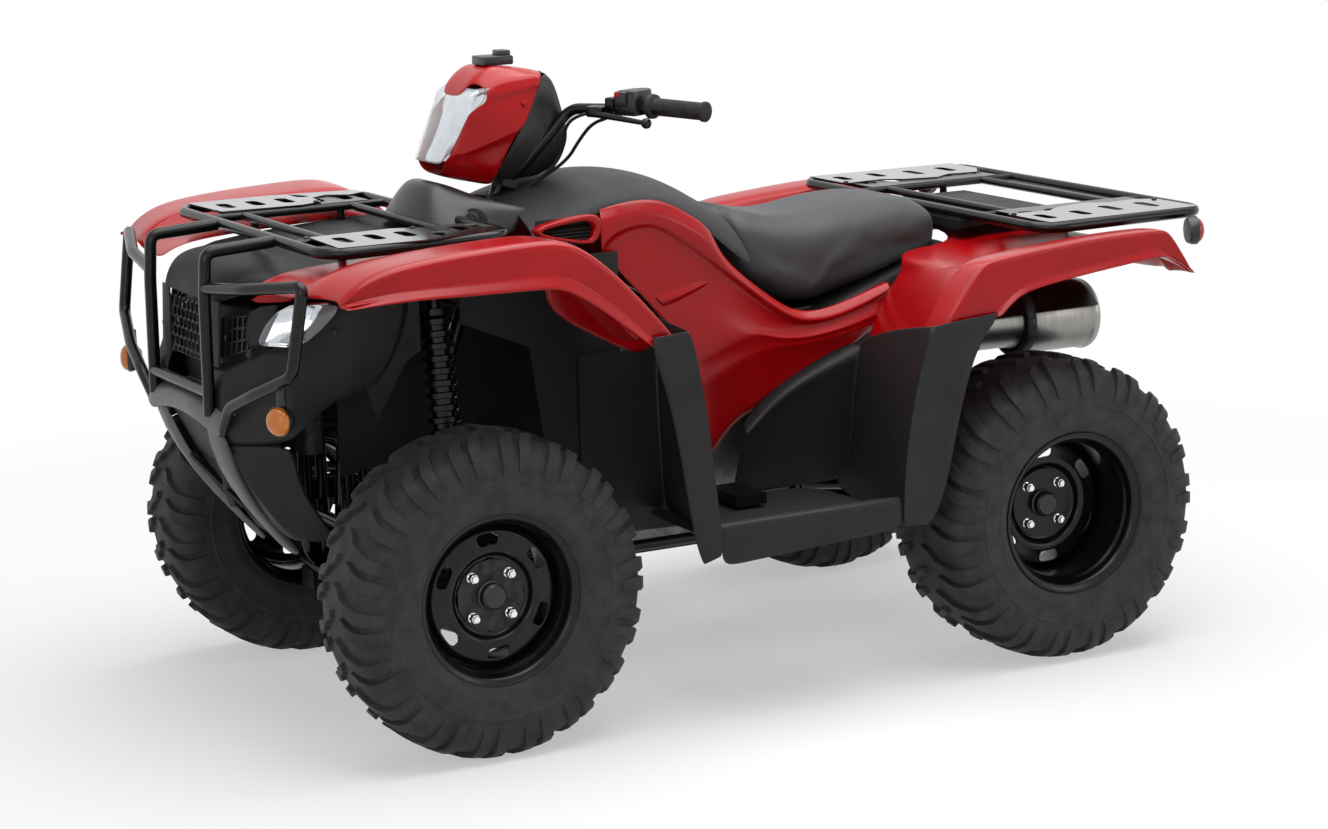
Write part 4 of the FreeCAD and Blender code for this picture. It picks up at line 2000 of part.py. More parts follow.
def check_and_write():
    """Stop on any failed object or unsound shape, then write one file for each node."""
    doc.recompute()
    failed = [item.Label for item in doc.Objects if {"Invalid", "Error"} & set(item.State)]
    if failed:
        raise RuntimeError("not computed: " + ", ".join(failed))
    pieces = {item.Label: item for item in doc.Objects if hasattr(item, "Shape")}
    for name in NODES:
        shape = pieces[name].Shape
        if shape.isNull() or not shape.isValid():
            raise RuntimeError("unsound shape: " + name)
    os.makedirs("parts", exist_ok=True)
    for name in NODES:
        shape = pieces[name].Shape
        shape.exportStep(f"parts/{name}.step")
        print(f"{name}: {len(shape.Solids)} solids, {shape.Volume:.0f} mm3")


check_and_write()
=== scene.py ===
# %% [markdown]
# # A utility quad bike
# This lesson dresses a finished construction model of a four-wheel utility bike. The construction already
# gives every part its place and its joints. Here it gets moulded skins, rubber, cloth, lamps, light and a
# camera. Lengths are metres, +Z is up, -Y is the front and +X is the rider's left.

# %% Load the construction model
import json
import math

import bmesh
import bpy
from mathutils import Matrix, Vector


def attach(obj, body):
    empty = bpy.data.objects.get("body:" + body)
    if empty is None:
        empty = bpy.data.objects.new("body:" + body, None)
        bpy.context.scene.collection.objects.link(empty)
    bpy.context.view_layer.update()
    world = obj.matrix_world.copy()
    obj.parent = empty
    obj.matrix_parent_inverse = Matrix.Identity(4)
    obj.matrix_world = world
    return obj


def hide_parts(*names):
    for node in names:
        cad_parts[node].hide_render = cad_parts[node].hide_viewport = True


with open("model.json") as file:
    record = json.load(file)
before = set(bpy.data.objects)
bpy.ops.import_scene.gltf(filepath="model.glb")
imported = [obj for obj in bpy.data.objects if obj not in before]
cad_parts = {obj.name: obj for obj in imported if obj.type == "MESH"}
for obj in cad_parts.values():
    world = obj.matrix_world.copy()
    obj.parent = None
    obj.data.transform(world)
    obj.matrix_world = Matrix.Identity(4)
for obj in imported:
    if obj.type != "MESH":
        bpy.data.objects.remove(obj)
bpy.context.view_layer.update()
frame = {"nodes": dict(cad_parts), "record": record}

# %% [markdown]
# ## Camera
# The picture shows the bike from its left front, from about six metres away, a little above the seat.
# A long lens keeps the wheels nearly round. The camera's turn is given as the three directions that its own
# axes point in, because they were fitted to the wheel centres, the racks and the fenders.

# %% Place the camera
CAMERA_PLACE = Vector((5.9811, -3.2328, 1.8718))
CAMERA_RIGHT = Vector((0.4805, 0.8766, -0.0258))
CAMERA_UP = Vector((-0.161, 0.1171, 0.98))
CAMERA_AHEAD = Vector((-0.8621, 0.4668, -0.1974))
LENS_MM = 89.46
SENSOR_MM = 36

camera_data = bpy.data.cameras.new("studio_camera")
camera_data.lens = LENS_MM
camera_data.sensor_width = SENSOR_MM
camera = bpy.data.objects.new("studio_camera", camera_data)
bpy.context.scene.collection.objects.link(camera)
turn = Matrix((CAMERA_RIGHT, CAMERA_UP, -CAMERA_AHEAD)).transposed()
camera.matrix_world = Matrix.Translation(CAMERA_PLACE) @ turn.to_4x4()
bpy.context.scene.camera = camera
bpy.context.scene.view_settings.view_transform = "Standard"
print("camera at", [round(c, 2) for c in camera.location], "with a", LENS_MM, "mm lens")

# %% [markdown]
# ## One way to write materials
# Every finish below is a small tree of shader nodes. Colours are written as the hex values that a paint
# picker shows, and one function turns them into the linear numbers that light is worked out in.
# One more function adds any node, sets it up and links it, so that a tree reads like a list.

# %% Colour and node helpers
SRGB_KNEE = 0.04045
SRGB_SLOPE = 12.92
SRGB_OFFSET = 0.055
SRGB_GAMMA = 2.4


def colour(hex_value):
    """The linear colour, with an alpha of one, of an sRGB hex value such as 'c0ffee'."""
    channels = []
    for start in (0, 2, 4):
        value = int(hex_value[start:start + 2], 16) / 255
        if value <= SRGB_KNEE:
            channels.append(value / SRGB_SLOPE)
        else:
            channels.append(((value + SRGB_OFFSET) / (1 + SRGB_OFFSET)) ** SRGB_GAMMA)
    return (*channels, 1)


def add_node(tree, kind, settings=None, inputs=None):
    """Add a shader node, set its properties, and give its sockets a value or a link."""
    made = tree.nodes.new("ShaderNode" + kind)
    for name, value in (settings or {}).items():
        setattr(made, name, value)
    for name, value in (inputs or {}).items():
        if isinstance(value, bpy.types.NodeSocket):
            tree.links.new(value, made.inputs[name])
        else:
            made.inputs[name].default_value = value
    return made


def new_material(name):
    """An empty material and its tree."""
    material = bpy.data.materials.new(name)
    material.use_nodes = True
    material.node_tree.nodes.clear()
    return material, material.node_tree


print("a mid grey is", round(colour("808080")[0], 3), "in linear light")

# %% [markdown]
# ## Floor, backdrop and light
# A studio picture needs no horizon. The floor is pale, and its shade melts into white a few metres out.
# The white is shown only to the camera and to mirror-like surfaces, so that it adds no light to the bike.
# A wide softbox overhead gives the long pale streaks on the fenders, and two weaker ones fill the sides.

# %% Floor and backdrop
FLOOR_HALF = 30.0
SHADOW_START, SHADOW_END = 1.5, 3.2
PAPER_SHARE = 0.45
BACKDROP_LIGHT = 0.34


def white_to_eye(tree):
    """One where a ray comes from the camera, a reflection or a glass, and zero for light that falls."""
    path = add_node(tree, "LightPath")
    first = add_node(tree, "Math", {"operation": "MAXIMUM"},
                     {0: path.outputs["Is Camera Ray"], 1: path.outputs["Is Glossy Ray"]})
    both = add_node(tree, "Math", {"operation": "MAXIMUM"},
                    {0: first.outputs[0], 1: path.outputs["Is Transmission Ray"]})
    return both.outputs[0]


def floor_material():
    """Pale paper near the bike that melts into plain white further out."""
    material, tree = new_material("pale_studio_floor")
    place = add_node(tree, "TexCoord")
    reach = add_node(tree, "VectorMath", {"operation": "LENGTH"}, {0: place.outputs["Object"]})
    fade = add_node(tree, "MapRange", {"interpolation_type": "SMOOTHSTEP"},
                    {"Value": reach.outputs["Value"], "From Min": SHADOW_START, "From Max": SHADOW_END,
                     "To Min": PAPER_SHARE, "To Max": 1.0})
    seen = add_node(tree, "Math", {"operation": "MULTIPLY"}, {0: fade.outputs[0], 1: white_to_eye(tree)})
    paper = add_node(tree, "BsdfPrincipled", None,
                     {"Base Color": colour("f6f6f6"), "Roughness": 0.8, "Specular IOR Level": 0.1})
    white = add_node(tree, "Emission", None, {"Color": colour("ffffff"), "Strength": 1.0})
    mix = add_node(tree, "MixShader", None, {0: seen.outputs[0], 1: paper.outputs[0], 2: white.outputs[0]})
    add_node(tree, "OutputMaterial", None, {"Surface": mix.outputs[0]})
    return material


floor_mesh = bpy.data.meshes.new("studio_floor")
floor_bm = bmesh.new()
bmesh.ops.create_grid(floor_bm, x_segments=2, y_segments=2, size=FLOOR_HALF)
floor_bm.to_mesh(floor_mesh)
floor_bm.free()
floor = bpy.data.objects.new("studio_floor", floor_mesh)
bpy.context.scene.collection.objects.link(floor)
floor_mesh.materials.append(floor_material())

world = bpy.data.worlds.new("studio_world")
bpy.context.scene.world = world
world.use_nodes = True
world.node_tree.nodes.clear()
shown = add_node(world.node_tree, "MapRange", None,
                 {"Value": white_to_eye(world.node_tree), "To Min": BACKDROP_LIGHT, "To Max": 1.0})
sky = add_node(world.node_tree, "Background", None,
               {"Color": colour("ffffff"), "Strength": shown.outputs[0]})
add_node(world.node_tree, "OutputWorld", None, {"Surface": sky.outputs[0]})
print("floor is", 2 * FLOOR_HALF, "m wide")

# %% Softboxes
# name: where it stands, where it points, width, height, watts
SOFTBOXES = {
    "softbox_above": ((0.3, 0.2, 3.8), (0.0, 0.0, 0.7), 4.6, 3.6, 185),
    "softbox_left_front": ((4.2, -4.4, 2.6), (0.0, -0.3, 0.6), 2.6, 2.2, 34),
    "softbox_left_rear": ((4.4, 4.0, 2.2), (0.0, 0.4, 0.6), 2.2, 1.8, 22),
}

for name, (place, target, width, height, watts) in SOFTBOXES.items():
    lamp = bpy.data.lights.new(name, "AREA")
    lamp.shape = "RECTANGLE"
    lamp.size = width
    lamp.size_y = height
    lamp.energy = watts
    box = bpy.data.objects.new(name, lamp)
    bpy.context.scene.collection.objects.link(box)
    aim = Vector(target) - Vector(place)
    box.matrix_world = Matrix.Translation(place) @ aim.to_track_quat("-Z", "Y").to_matrix().to_4x4()
print(len(SOFTBOXES), "softboxes")

# %% [markdown]
# ## Finishes
# Most parts are moulded, cast, coated or turned, and such surfaces have the same build-up: two close tones
# in soft patches, a gloss that wanders a little, and a fine grain that only the highlights show.
# One function makes that build-up from sizes in millimetres, and each finish below gives its own numbers.

# %% The common build-up of a finish
MM = 0.001


def per_metre(size_mm):
    """The scale of a pattern whose features are this many millimetres across."""
    return 1 / (size_mm * MM)


def finish(name, tone, second, patch_mm, rough, rough_swing, grain_mm, grain_depth_mm, stretch=(1, 1, 1),
           **shader):
    """A principled finish: two tones in patches, wandering roughness and a fine grain."""
    material, tree = new_material(name)
    place = add_node(tree, "TexCoord")
    space = add_node(tree, "Mapping", None, {"Vector": place.outputs["Object"], "Scale": stretch})
    patches = add_node(tree, "TexNoise", None, {"Vector": space.outputs[0], "Scale": per_metre(patch_mm),
                                                "Detail": 3.0, "Roughness": 0.6})
    grain = add_node(tree, "TexNoise", None, {"Vector": space.outputs[0], "Scale": per_metre(grain_mm),
                                              "Detail": 2.0, "Roughness": 0.55})
    spread = add_node(tree, "MapRange", None,
                      {"Value": patches.outputs["Fac"], "From Min": 0.35, "From Max": 0.65})
    tint = add_node(tree, "Mix", {"data_type": "RGBA"},
                    {0: spread.outputs[0], 6: colour(tone), 7: colour(second)})
    gloss = add_node(tree, "MapRange", None,
                     {"Value": patches.outputs["Fac"], "From Min": 0.3, "From Max": 0.7,
                      "To Min": rough - rough_swing, "To Max": rough + rough_swing})
    relief = add_node(tree, "Bump", None,
                      {"Height": grain.outputs["Fac"], "Strength": 1.0, "Distance": grain_depth_mm * MM})
    surface = add_node(tree, "BsdfPrincipled", None,
                       {"Base Color": tint.outputs[2], "Roughness": gloss.outputs[0],
                        "Normal": relief.outputs[0], **shader})
    add_node(tree, "OutputMaterial", None, {"Surface": surface.outputs[0]})
    return material

# %% [markdown]
# The red panels are ABS, coloured through and moulded against a polished tool. That gives a soft gloss with
# a faint ripple, and pale streaks where they face the softbox. The black panels are polypropylene, moulded
# against an etched tool: a dull face whose grain is about a millimetre. It is drawn at 2.4 mm, because a
# real one is finer than a pixel here.

# %% Plastics
gloss_red_abs = finish("gloss_red_abs_moulded", "a80209", "9d0208", 160, 0.24, 0.03, 30, 0.03,
                       **{"IOR": 1.5, "Specular IOR Level": 0.3})
grained_black_pp = finish("grained_black_polypropylene", "191a1b", "131415", 90, 0.56, 0.06, 2.4, 0.12,
                          **{"IOR": 1.49, "Specular IOR Level": 0.3})
satin_grey_pp = finish("satin_grey_polypropylene", "646567", "5a5b5d", 80, 0.48, 0.05, 2.0, 0.06,
                       **{"IOR": 1.49, "Specular IOR Level": 0.45})
matte_tank_pp = finish("matte_dark_polypropylene", "292a2b", "222324", 110, 0.6, 0.05, 2.4, 0.1,
                       **{"IOR": 1.49, "Specular IOR Level": 0.3})
smooth_black_abs = finish("smooth_black_abs_moulded", "1a1a1b", "141415", 60, 0.36, 0.05, 12, 0.02,
                          **{"IOR": 1.5, "Specular IOR Level": 0.5})
print("plastics:", [m.name for m in (gloss_red_abs, grained_black_pp, satin_grey_pp, matte_tank_pp)])

# %% [markdown]
# Steel tubes are powder coated: the coat melts into a skin with a fine orange peel of two millimetres and a
# satin gloss. Cast aluminium keeps the grit of its sand or die, and cast iron is darker and duller. The
# muffler is stainless steel, brushed round the can, so its grain is long in one direction. Nuts are chrome
# plated, and a reflector is plastic with a thin coat of aluminium.

# %% Metals
black_powder_coat = finish("black_powder_coated_steel", "0a0b0b", "070808", 120, 0.22, 0.05, 2.6, 0.03,
                           **{"IOR": 1.5, "Specular IOR Level": 0.28})
black_gloss_coat = finish("black_gloss_coated_sheet", "1b1c1d", "151617", 120, 0.16, 0.04, 3.0, 0.02,
                          **{"IOR": 1.5, "Specular IOR Level": 0.8, "Coat Weight": 0.6,
                             "Coat Roughness": 0.08})
cast_aluminium = finish("sand_cast_aluminium", "6e6f70", "5a5b5d", 22, 0.5, 0.08, 1.8, 0.14,
                        **{"Metallic": 1.0})
cast_iron = finish("bare_cast_iron", "3a3a3c", "29292b", 18, 0.55, 0.1, 2.0, 0.16,
                   **{"Metallic": 0.85})
brushed_stainless = finish("brushed_stainless_steel", "9b9996", "8f8d8a", 9, 0.34, 0.03, 1.2, 0.02,
                           stretch=(0.12, 1.0, 0.12), **{"Metallic": 1.0})
chrome_plate = finish("polished_chrome_plate", "e9e9ea", "dcdcde", 30, 0.1, 0.03, 6, 0.004,
                      **{"Metallic": 1.0})
aluminised = finish("aluminised_reflector", "f2f2f3", "e2e2e4", 20, 0.12, 0.04, 8, 0.03, **{"Metallic": 1.0})
print("metals:", [m.name for m in (black_powder_coat, cast_aluminium, cast_iron, brushed_stainless)])

# %% [markdown]
# Rubber takes light softly and greys with dust in soft patches. The seat's cover is vinyl on a knit back,
# embossed with a leather grain whose cells are one to two millimetres: a Voronoi pattern gives
# them.

# %% Rubber and vinyl
grip_rubber = finish("moulded_grip_rubber", "1d1d1e", "151516", 25, 0.68, 0.06, 1.5, 0.08,
                     **{"IOR": 1.52, "Specular IOR Level": 0.35})
tyre_rubber = finish("vulcanised_tyre_rubber", "262728", "1b1c1d", 34, 0.72, 0.08, 2.2, 0.16,
                     **{"IOR": 1.52, "Specular IOR Level": 0.35, "Sheen Weight": 0.04,
                        "Sheen Roughness": 0.6})
VINYL_CELL_MM, VINYL_PATCH_MM, VINYL_GROOVE_MM = 3.2, 140, 0.15


def embossed_vinyl():
    """Vinyl with a leather grain of small cells, whose tone and gloss wander."""
    material, tree = new_material("embossed_seat_vinyl")
    place = add_node(tree, "TexCoord")
    cells = add_node(tree, "TexVoronoi", {"feature": "DISTANCE_TO_EDGE"},
                     {"Vector": place.outputs["Object"], "Scale": per_metre(VINYL_CELL_MM)})
    wander = add_node(tree, "TexNoise", None,
                      {"Vector": place.outputs["Object"], "Scale": per_metre(VINYL_PATCH_MM), "Detail": 3.0})
    grooves = add_node(tree, "MapRange", None,
                       {"Value": cells.outputs["Distance"], "From Min": 0.0, "From Max": 0.18})
    tint = add_node(tree, "Mix", {"data_type": "RGBA"},
                    {0: wander.outputs["Fac"], 6: colour("2f3032"), 7: colour("3c3d3f")})
    worn = add_node(tree, "MapRange", None,
                    {"Value": wander.outputs["Fac"], "From Min": 0.3, "From Max": 0.7, "To Min": 0.5,
                     "To Max": 0.62})
    relief = add_node(tree, "Bump", None,
                      {"Height": grooves.outputs[0], "Strength": 0.5, "Distance": VINYL_GROOVE_MM * MM})
    surface = add_node(tree, "BsdfPrincipled", None,
                       {"Base Color": tint.outputs[2], "Roughness": worn.outputs[0],
                        "Normal": relief.outputs[0], "IOR": 1.5, "Specular IOR Level": 0.4,
                        "Sheen Weight": 0.05, "Sheen Roughness": 0.5})
    add_node(tree, "OutputMaterial", None, {"Surface": surface.outputs[0]})
    return material


seat_vinyl = embossed_vinyl()
print("soft finishes:", [m.name for m in (grip_rubber, tyre_rubber, seat_vinyl)])

# %% [markdown]
# Lamp lenses are clear or tinted polycarbonate, polished in the mould. Light passes them, so they get
# transmission, and fine scratches from sand make the gloss wander.

# %% Lenses
clear_lens = finish("clear_polycarbonate_lens", "fafcff", "f2f6fa", 40, 0.04, 0.02, 30, 0.01,
                    **{"IOR": 1.58, "Transmission Weight": 0.94})
amber_lens = finish("amber_polycarbonate_lens", "f08a10", "e67c08", 12, 0.14, 0.04, 6, 0.05,
                    **{"IOR": 1.58, "Transmission Weight": 0.35})
red_lens = finish("red_polycarbonate_lens", "b80610", "a2040c", 12, 0.12, 0.04, 6, 0.05,
                  **{"IOR": 1.58, "Transmission Weight": 0.3})
print("lenses:", [m.name for m in (clear_lens, amber_lens, red_lens)])

# %% [markdown]
# The record puts every part in a slot, a group with one colour. Each slot has a main finish, and a few more
# finishes belong to a slot that already has one.

# %% Slots and their finishes
SLOT_FINISHES = {
    "plastic_red": gloss_red_abs, "plastic_black": grained_black_pp, "plastic_grey": satin_grey_pp,
    "steel_black": black_powder_coat, "cast_grey": cast_aluminium, "cast_dark": cast_iron,
    "stainless": brushed_stainless, "seat_vinyl": seat_vinyl, "grip_rubber": grip_rubber,
    "tyre_rubber": tyre_rubber, "lens_clear": clear_lens, "lens_amber": amber_lens, "lens_red": red_lens,
}
SLOT_OF = {look.name: slot for slot, look in SLOT_FINISHES.items()}
for look, slot in ((matte_tank_pp, "plastic_black"), (smooth_black_abs, "plastic_black"),
                   (black_gloss_coat, "steel_black"), (chrome_plate, "steel_black"),
                   (aluminised, "lens_clear")):
    SLOT_OF[look.name] = slot
print(len(SLOT_FINISHES), "slots and", len(SLOT_OF), "finishes")

# %% [markdown]
# ## Dressing the construction's own parts
# The construction's parts arrive as loose triangles with flat shading. Their shape is right, so they stay
# as they are, but a live Geometry Nodes modifier joins the triangles for the render, smooths the shading of
# round tubes and keeps edges sharp where two faces meet at more than 32 degrees.

# %% A modifier that smooths the shading
SHARP_ANGLE = math.radians(32)
JOIN_GAP = 0.00001


def smoothing_group():
    """A node group: merge the corners of loose triangles, then shade smooth up to an angle."""
    group = bpy.data.node_groups.new("smooth_by_angle", "GeometryNodeTree")
    group.interface.new_socket("Geometry", in_out="INPUT", socket_type="NodeSocketGeometry")
    group.interface.new_socket("Geometry", in_out="OUTPUT", socket_type="NodeSocketGeometry")
    start = group.nodes.new("NodeGroupInput")
    end = group.nodes.new("NodeGroupOutput")
    merge = group.nodes.new("GeometryNodeMergeByDistance")
    merge.inputs["Distance"].default_value = JOIN_GAP
    angle = group.nodes.new("GeometryNodeInputMeshEdgeAngle")
    sharp = group.nodes.new("FunctionNodeCompare")
    sharp.operation = "GREATER_THAN"
    sharp.inputs[1].default_value = SHARP_ANGLE
    faces = group.nodes.new("GeometryNodeSetShadeSmooth")
    edges = group.nodes.new("GeometryNodeSetShadeSmooth")
    edges.domain = "EDGE"
    edges.inputs["Shade Smooth"].default_value = False
    group.links.new(start.outputs[0], merge.inputs["Geometry"])
    group.links.new(merge.outputs["Geometry"], faces.inputs["Geometry"])
    group.links.new(faces.outputs["Geometry"], edges.inputs["Geometry"])
    group.links.new(angle.outputs["Unsigned Angle"], sharp.inputs[0])
    group.links.new(sharp.outputs["Result"], edges.inputs["Selection"])
    group.links.new(edges.outputs["Geometry"], end.inputs[0])
    return group


smooth_by_angle = smoothing_group()
for row in frame["record"]["subparts"]:
    part = frame["nodes"][row["node"]]
    part.data.materials.clear()
    part.data.materials.append(SLOT_FINISHES[row["material_slot"]])
    shading = part.modifiers.new("smooth_shading", "NODES")
    shading.node_group = smooth_by_angle

# %% [markdown]
# Some parts of one colour group have another finish on the real bike: the tank's cover is a duller grey
# than the black mouldings round it, the instrument housing is smooth, and the foot pegs are coated steel.

# %% Finishes that differ from their group
OTHER_FINISHES = {"tank_cover": matte_tank_pp, "pod_housing": smooth_black_abs,
                  "foot_pegs": black_powder_coat}
for name, look in OTHER_FINISHES.items():
    frame["nodes"][name].data.materials[0] = look
print(len(OTHER_FINISHES), "nodes with a finish of their own")

# %% [markdown]
# ## Moulded skins
# A moulded panel is a thin sheet whose shape is set by a few long lines: its edges, its creases and its
# crown. So each panel starts as a flat grid with one row per station and one column per line, and every
# corner is moved to the place that a table gives in millimetres. Creases keep chosen lines crisp, and the
# strongest ones are folds in the shading too.

# %% A skin through a table of points
JOIN_MM = 0.05
FOLD = 0.9


def mix(first, second, share):
    """The point at this share of the way from the first to the second."""
    return tuple(a + (b - a) * share for a, b in zip(first, second))


def skin(rows, inside, creases=None):
    """A sheet through a table of points in millimetres, facing away from the point inside."""
    last_row, last_column = len(rows) - 1, len(rows[0]) - 1
    bm = bmesh.new()
    bmesh.ops.create_grid(bm, x_segments=last_column, y_segments=last_row, size=1)
    layer = bm.edges.layers.float.new("crease_edge")
    place = {v: (round((v.co.y + 1) / 2 * last_row), round((v.co.x + 1) / 2 * last_column)) for v in bm.verts}
    for vertex, (row, column) in place.items():
        vertex.co = Vector(rows[row][column]) * MM
    for edge in bm.edges:
        (_, first), (_, second) = (place[v] for v in edge.verts)
        if first == second:
            edge[layer] = (creases or {}).get(first, 0)
            edge.smooth = edge[layer] < FOLD
    bmesh.ops.remove_doubles(bm, verts=bm.verts, dist=JOIN_MM * MM)
    centre = Vector(inside) * MM
    bm.normal_update()
    facing = sum(f.normal.dot(f.calc_center_median() - centre) * f.calc_area() for f in bm.faces)
    if facing < 0:
        bmesh.ops.reverse_faces(bm, faces=bm.faces)
    return bm


print("skins join points nearer than", JOIN_MM, "mm")

# %% [markdown]
# A piece is a mesh with its finish and its body. Modifiers finish its form: a mirror makes the other side,
# Solidify gives a wall its thickness, a bevel rounds the edges of blocks, and Subdivision Surface makes the
# curves between the lines. A tube or a cable is a spline with a round section.

# %% Pieces and panels
MIRROR_GAP = 0.0004


def known(made, body, stands_for):
    bpy.context.scene.collection.objects.link(made)
    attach(made, body)
    if stands_for:
        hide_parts(*stands_for)
    return made


def piece(name, bm, look, stands_for=(), body="chassis", slot_name=None, wall_mm=0, levels=2,
          mirrored=False, bevel_mm=0):
    """Make a bmesh into an object with its finish and its body."""
    mesh = bpy.data.meshes.new(name)
    bm.to_mesh(mesh)
    bm.free()
    mesh.materials.append(look)
    for polygon in mesh.polygons:
        polygon.use_smooth = True
    made = bpy.data.objects.new(name, mesh)
    if mirrored:
        other = made.modifiers.new("other_side", "MIRROR")
        other.merge_threshold = MIRROR_GAP
    if wall_mm:
        wall = made.modifiers.new("wall", "SOLIDIFY")
        wall.thickness = wall_mm * MM
        wall.offset = -1
        wall.use_even_offset = True
    if bevel_mm:
        edge = made.modifiers.new("rounded_edges", "BEVEL")
        edge.width = bevel_mm * MM
        edge.segments = 2
        edge.limit_method = "ANGLE"
    if levels:
        curve = made.modifiers.new("smooth_curves", "SUBSURF")
        curve.levels = curve.render_levels = levels
    else:
        shading = made.modifiers.new("smooth_shading", "NODES")
        shading.node_group = smooth_by_angle
    return known(made, body, stands_for)


def panel(name, rows, inside, look, creases=None, stands_for=(), wall_mm=3, mirrored=True, **rest):
    """A moulded skin as a piece, on both sides unless told otherwise."""
    return piece(name, skin(rows, inside, creases), look, stands_for, wall_mm=wall_mm, mirrored=mirrored,
                 **rest)


print("halves of a mirrored piece join within", MIRROR_GAP / MM, "mm")

# %% Tubes and cables
TUBE_RESOLUTION = 3


def tubes(name, runs, radius_mm, look, stands_for=(), body="chassis"):
    """Round tubes or cables as smooth splines through the runs' points, given in millimetres."""
    curve = bpy.data.curves.new(name, "CURVE")
    curve.dimensions = "3D"
    curve.bevel_depth = radius_mm * MM
    curve.bevel_resolution = TUBE_RESOLUTION
    curve.use_fill_caps = True
    for run in runs:
        spline = curve.splines.new("NURBS")
        spline.points.add(len(run) - 1)
        for point, place in zip(spline.points, run):
            point.co = (*(Vector(place) * MM), 1)
        spline.order_u = 3
        spline.use_endpoint_u = True
    curve.materials.append(look)
    return known(bpy.data.objects.new(name, curve), body, stands_for)


print("a tube's round section has", 4 * (TUBE_RESOLUTION + 1), "sides")

# %% [markdown]
# Small parts are boxes, short cones and round outlines. Each is made at the origin, turned, and moved to
# its place. Where a node of the construction holds both sides, the left piece stands for it.

# %% Boxes and cones in their places
SIDES = {"left": 1, "right": -1}
STRAIGHT = Matrix.Identity(3)


def aimed(direction, axis="X"):
    """The turn that lays the X or the Z axis along a direction."""
    return Vector(direction).to_track_quat(axis, "Z" if axis == "X" else "Y").to_matrix()


def placed(bm, turn, place, verts=None):
    """Turn all or some of a bmesh about the origin, then move it to a place in millimetres."""
    corners = bm.verts if verts is None else verts
    bmesh.ops.rotate(bm, cent=(0, 0, 0), matrix=turn, verts=corners)
    bmesh.ops.translate(bm, vec=Vector(place) * MM, verts=corners)
    return bm


def add_box(bm, size, place, turn=STRAIGHT):
    """Add a box to a bmesh, sizes in millimetres."""
    corners = bmesh.ops.create_cube(bm, size=1)["verts"]
    bmesh.ops.scale(bm, vec=Vector(size) * MM, verts=corners)
    placed(bm, turn, place, corners)


def add_cone(bm, radius, far_radius, depth, place, turn=STRAIGHT, steps=16):
    """Add a short cone to a bmesh, which points along Z before its turn, sizes in millimetres."""
    corners = bmesh.ops.create_cone(bm, cap_ends=True, segments=steps, radius1=radius * MM,
                                    radius2=far_radius * MM, depth=depth * MM)["verts"]
    placed(bm, turn, place, corners)


def left_only(side, node):
    """The node that a pair of pieces stands for, named by the left one."""
    return [node] if side > 0 else []


print("sides:", SIDES)

# %% [markdown]
# ## Front fenders
# The front fender is one moulding over both wheels. From the middle outwards its section is a low bed under
# the rack, a step, a flat top, a rounded shoulder, an upright face, and a lip that flares out over the tyre
# and catches the light. The table follows the shoulder's line and the lip's line from the nose backwards,
# and the same section is laid between them at each station.

# %% Front fenders
# shoulder y, z; lip y, z; how far out the shoulder is; how far the middle runs ahead; how deep the bed lies
FRONT_FENDER_STATIONS = [
    (-958, 914, -960, 904, 566, -42, 14), (-934, 938, -932, 905, 578, -50, 24),
    (-884, 965, -872, 908, 584, -52, 34), (-806, 976, -796, 909, 586, -34, 38),
    (-724, 983, -720, 906, 586, -12, 40), (-644, 987, -640, 905, 586, 0, 40),
    (-574, 990, -570, 904, 586, 0, 40), (-520, 989, -523, 901, 586, 0, 40),
    (-480, 975, -484, 880, 586, 0, 40), (-438, 947, -441, 851, 586, 0, 40),
    (-397, 911, -406, 824, 586, 0, 40), (-356, 869, -372, 798, 586, 0, 40),
    (-314, 823, -347, 778, 586, 0, 40), (-275, 777, -334, 769, 586, 0, 36),
]
FENDER_INNER, FENDER_LIP = 240, 602


def front_fender_section(station):
    """The section at one station, from the middle of the bike outwards and down to the lip."""
    y, z, lip_y, lip_z, out, ahead, deep = station
    top, lip = (out, y, z), (FENDER_LIP, lip_y, lip_z)
    return [
        (FENDER_INNER, y + ahead, z - deep), (400, y + ahead * 0.6, z - deep + 3),
        (424, y + ahead * 0.5, z - deep + 10), (436, y + ahead * 0.45, z - 7), (456, y + ahead * 0.4, z - 3),
        (out - 34, y, z + 1), (out - 12, y, z), (out, y, z - 7), mix(top, (out, lip_y, lip_z), 0.35),
        mix(top, (out, lip_y, lip_z), 0.66), mix(top, (out, lip_y, lip_z), 0.72),
        lip, (FENDER_LIP - 9, lip_y, lip_z - 1), (FENDER_LIP - 14, lip_y, lip_z + 8),
    ]


front_fender_bm = skin([front_fender_section(s) for s in FRONT_FENDER_STATIONS], (400, -600, 600),
                       {2: 0.3, 3: 0.5, 6: 0.25, 7: 0.2, 10: 0.6, 11: 0.6})
piece("front_fender_skins", front_fender_bm, gloss_red_abs, ["front_fenders"], wall_mm=3.5, mirrored=True)
# a red flap on the inner side of each fender closes the corner behind the rack's foot
INNER_FLAP_ROWS = [[(332, -440, 930), (332, -350, 860), (332, -262, 792), (332, -206, 756)],
                   [(330, -432, 868), (330, -332, 812), (330, -242, 752), (330, -200, 736)],
                   [(326, -427, 807), (326, -319, 750), (326, -226, 696), (326, -192, 716)]]
panel("front_fender_flaps", INNER_FLAP_ROWS, (200, -320, 800), gloss_red_abs, levels=1)
print("front fenders:", len(FRONT_FENDER_STATIONS), "stations, and a flap inside each")

# %% [markdown]
# ## Rear fender
# The rear fender has the same face and flared lip, but it starts with a broad facet that faces forward, and
# inside the facet lies a flat place. Its bed closes behind the seat, and its end drops behind the wheels.

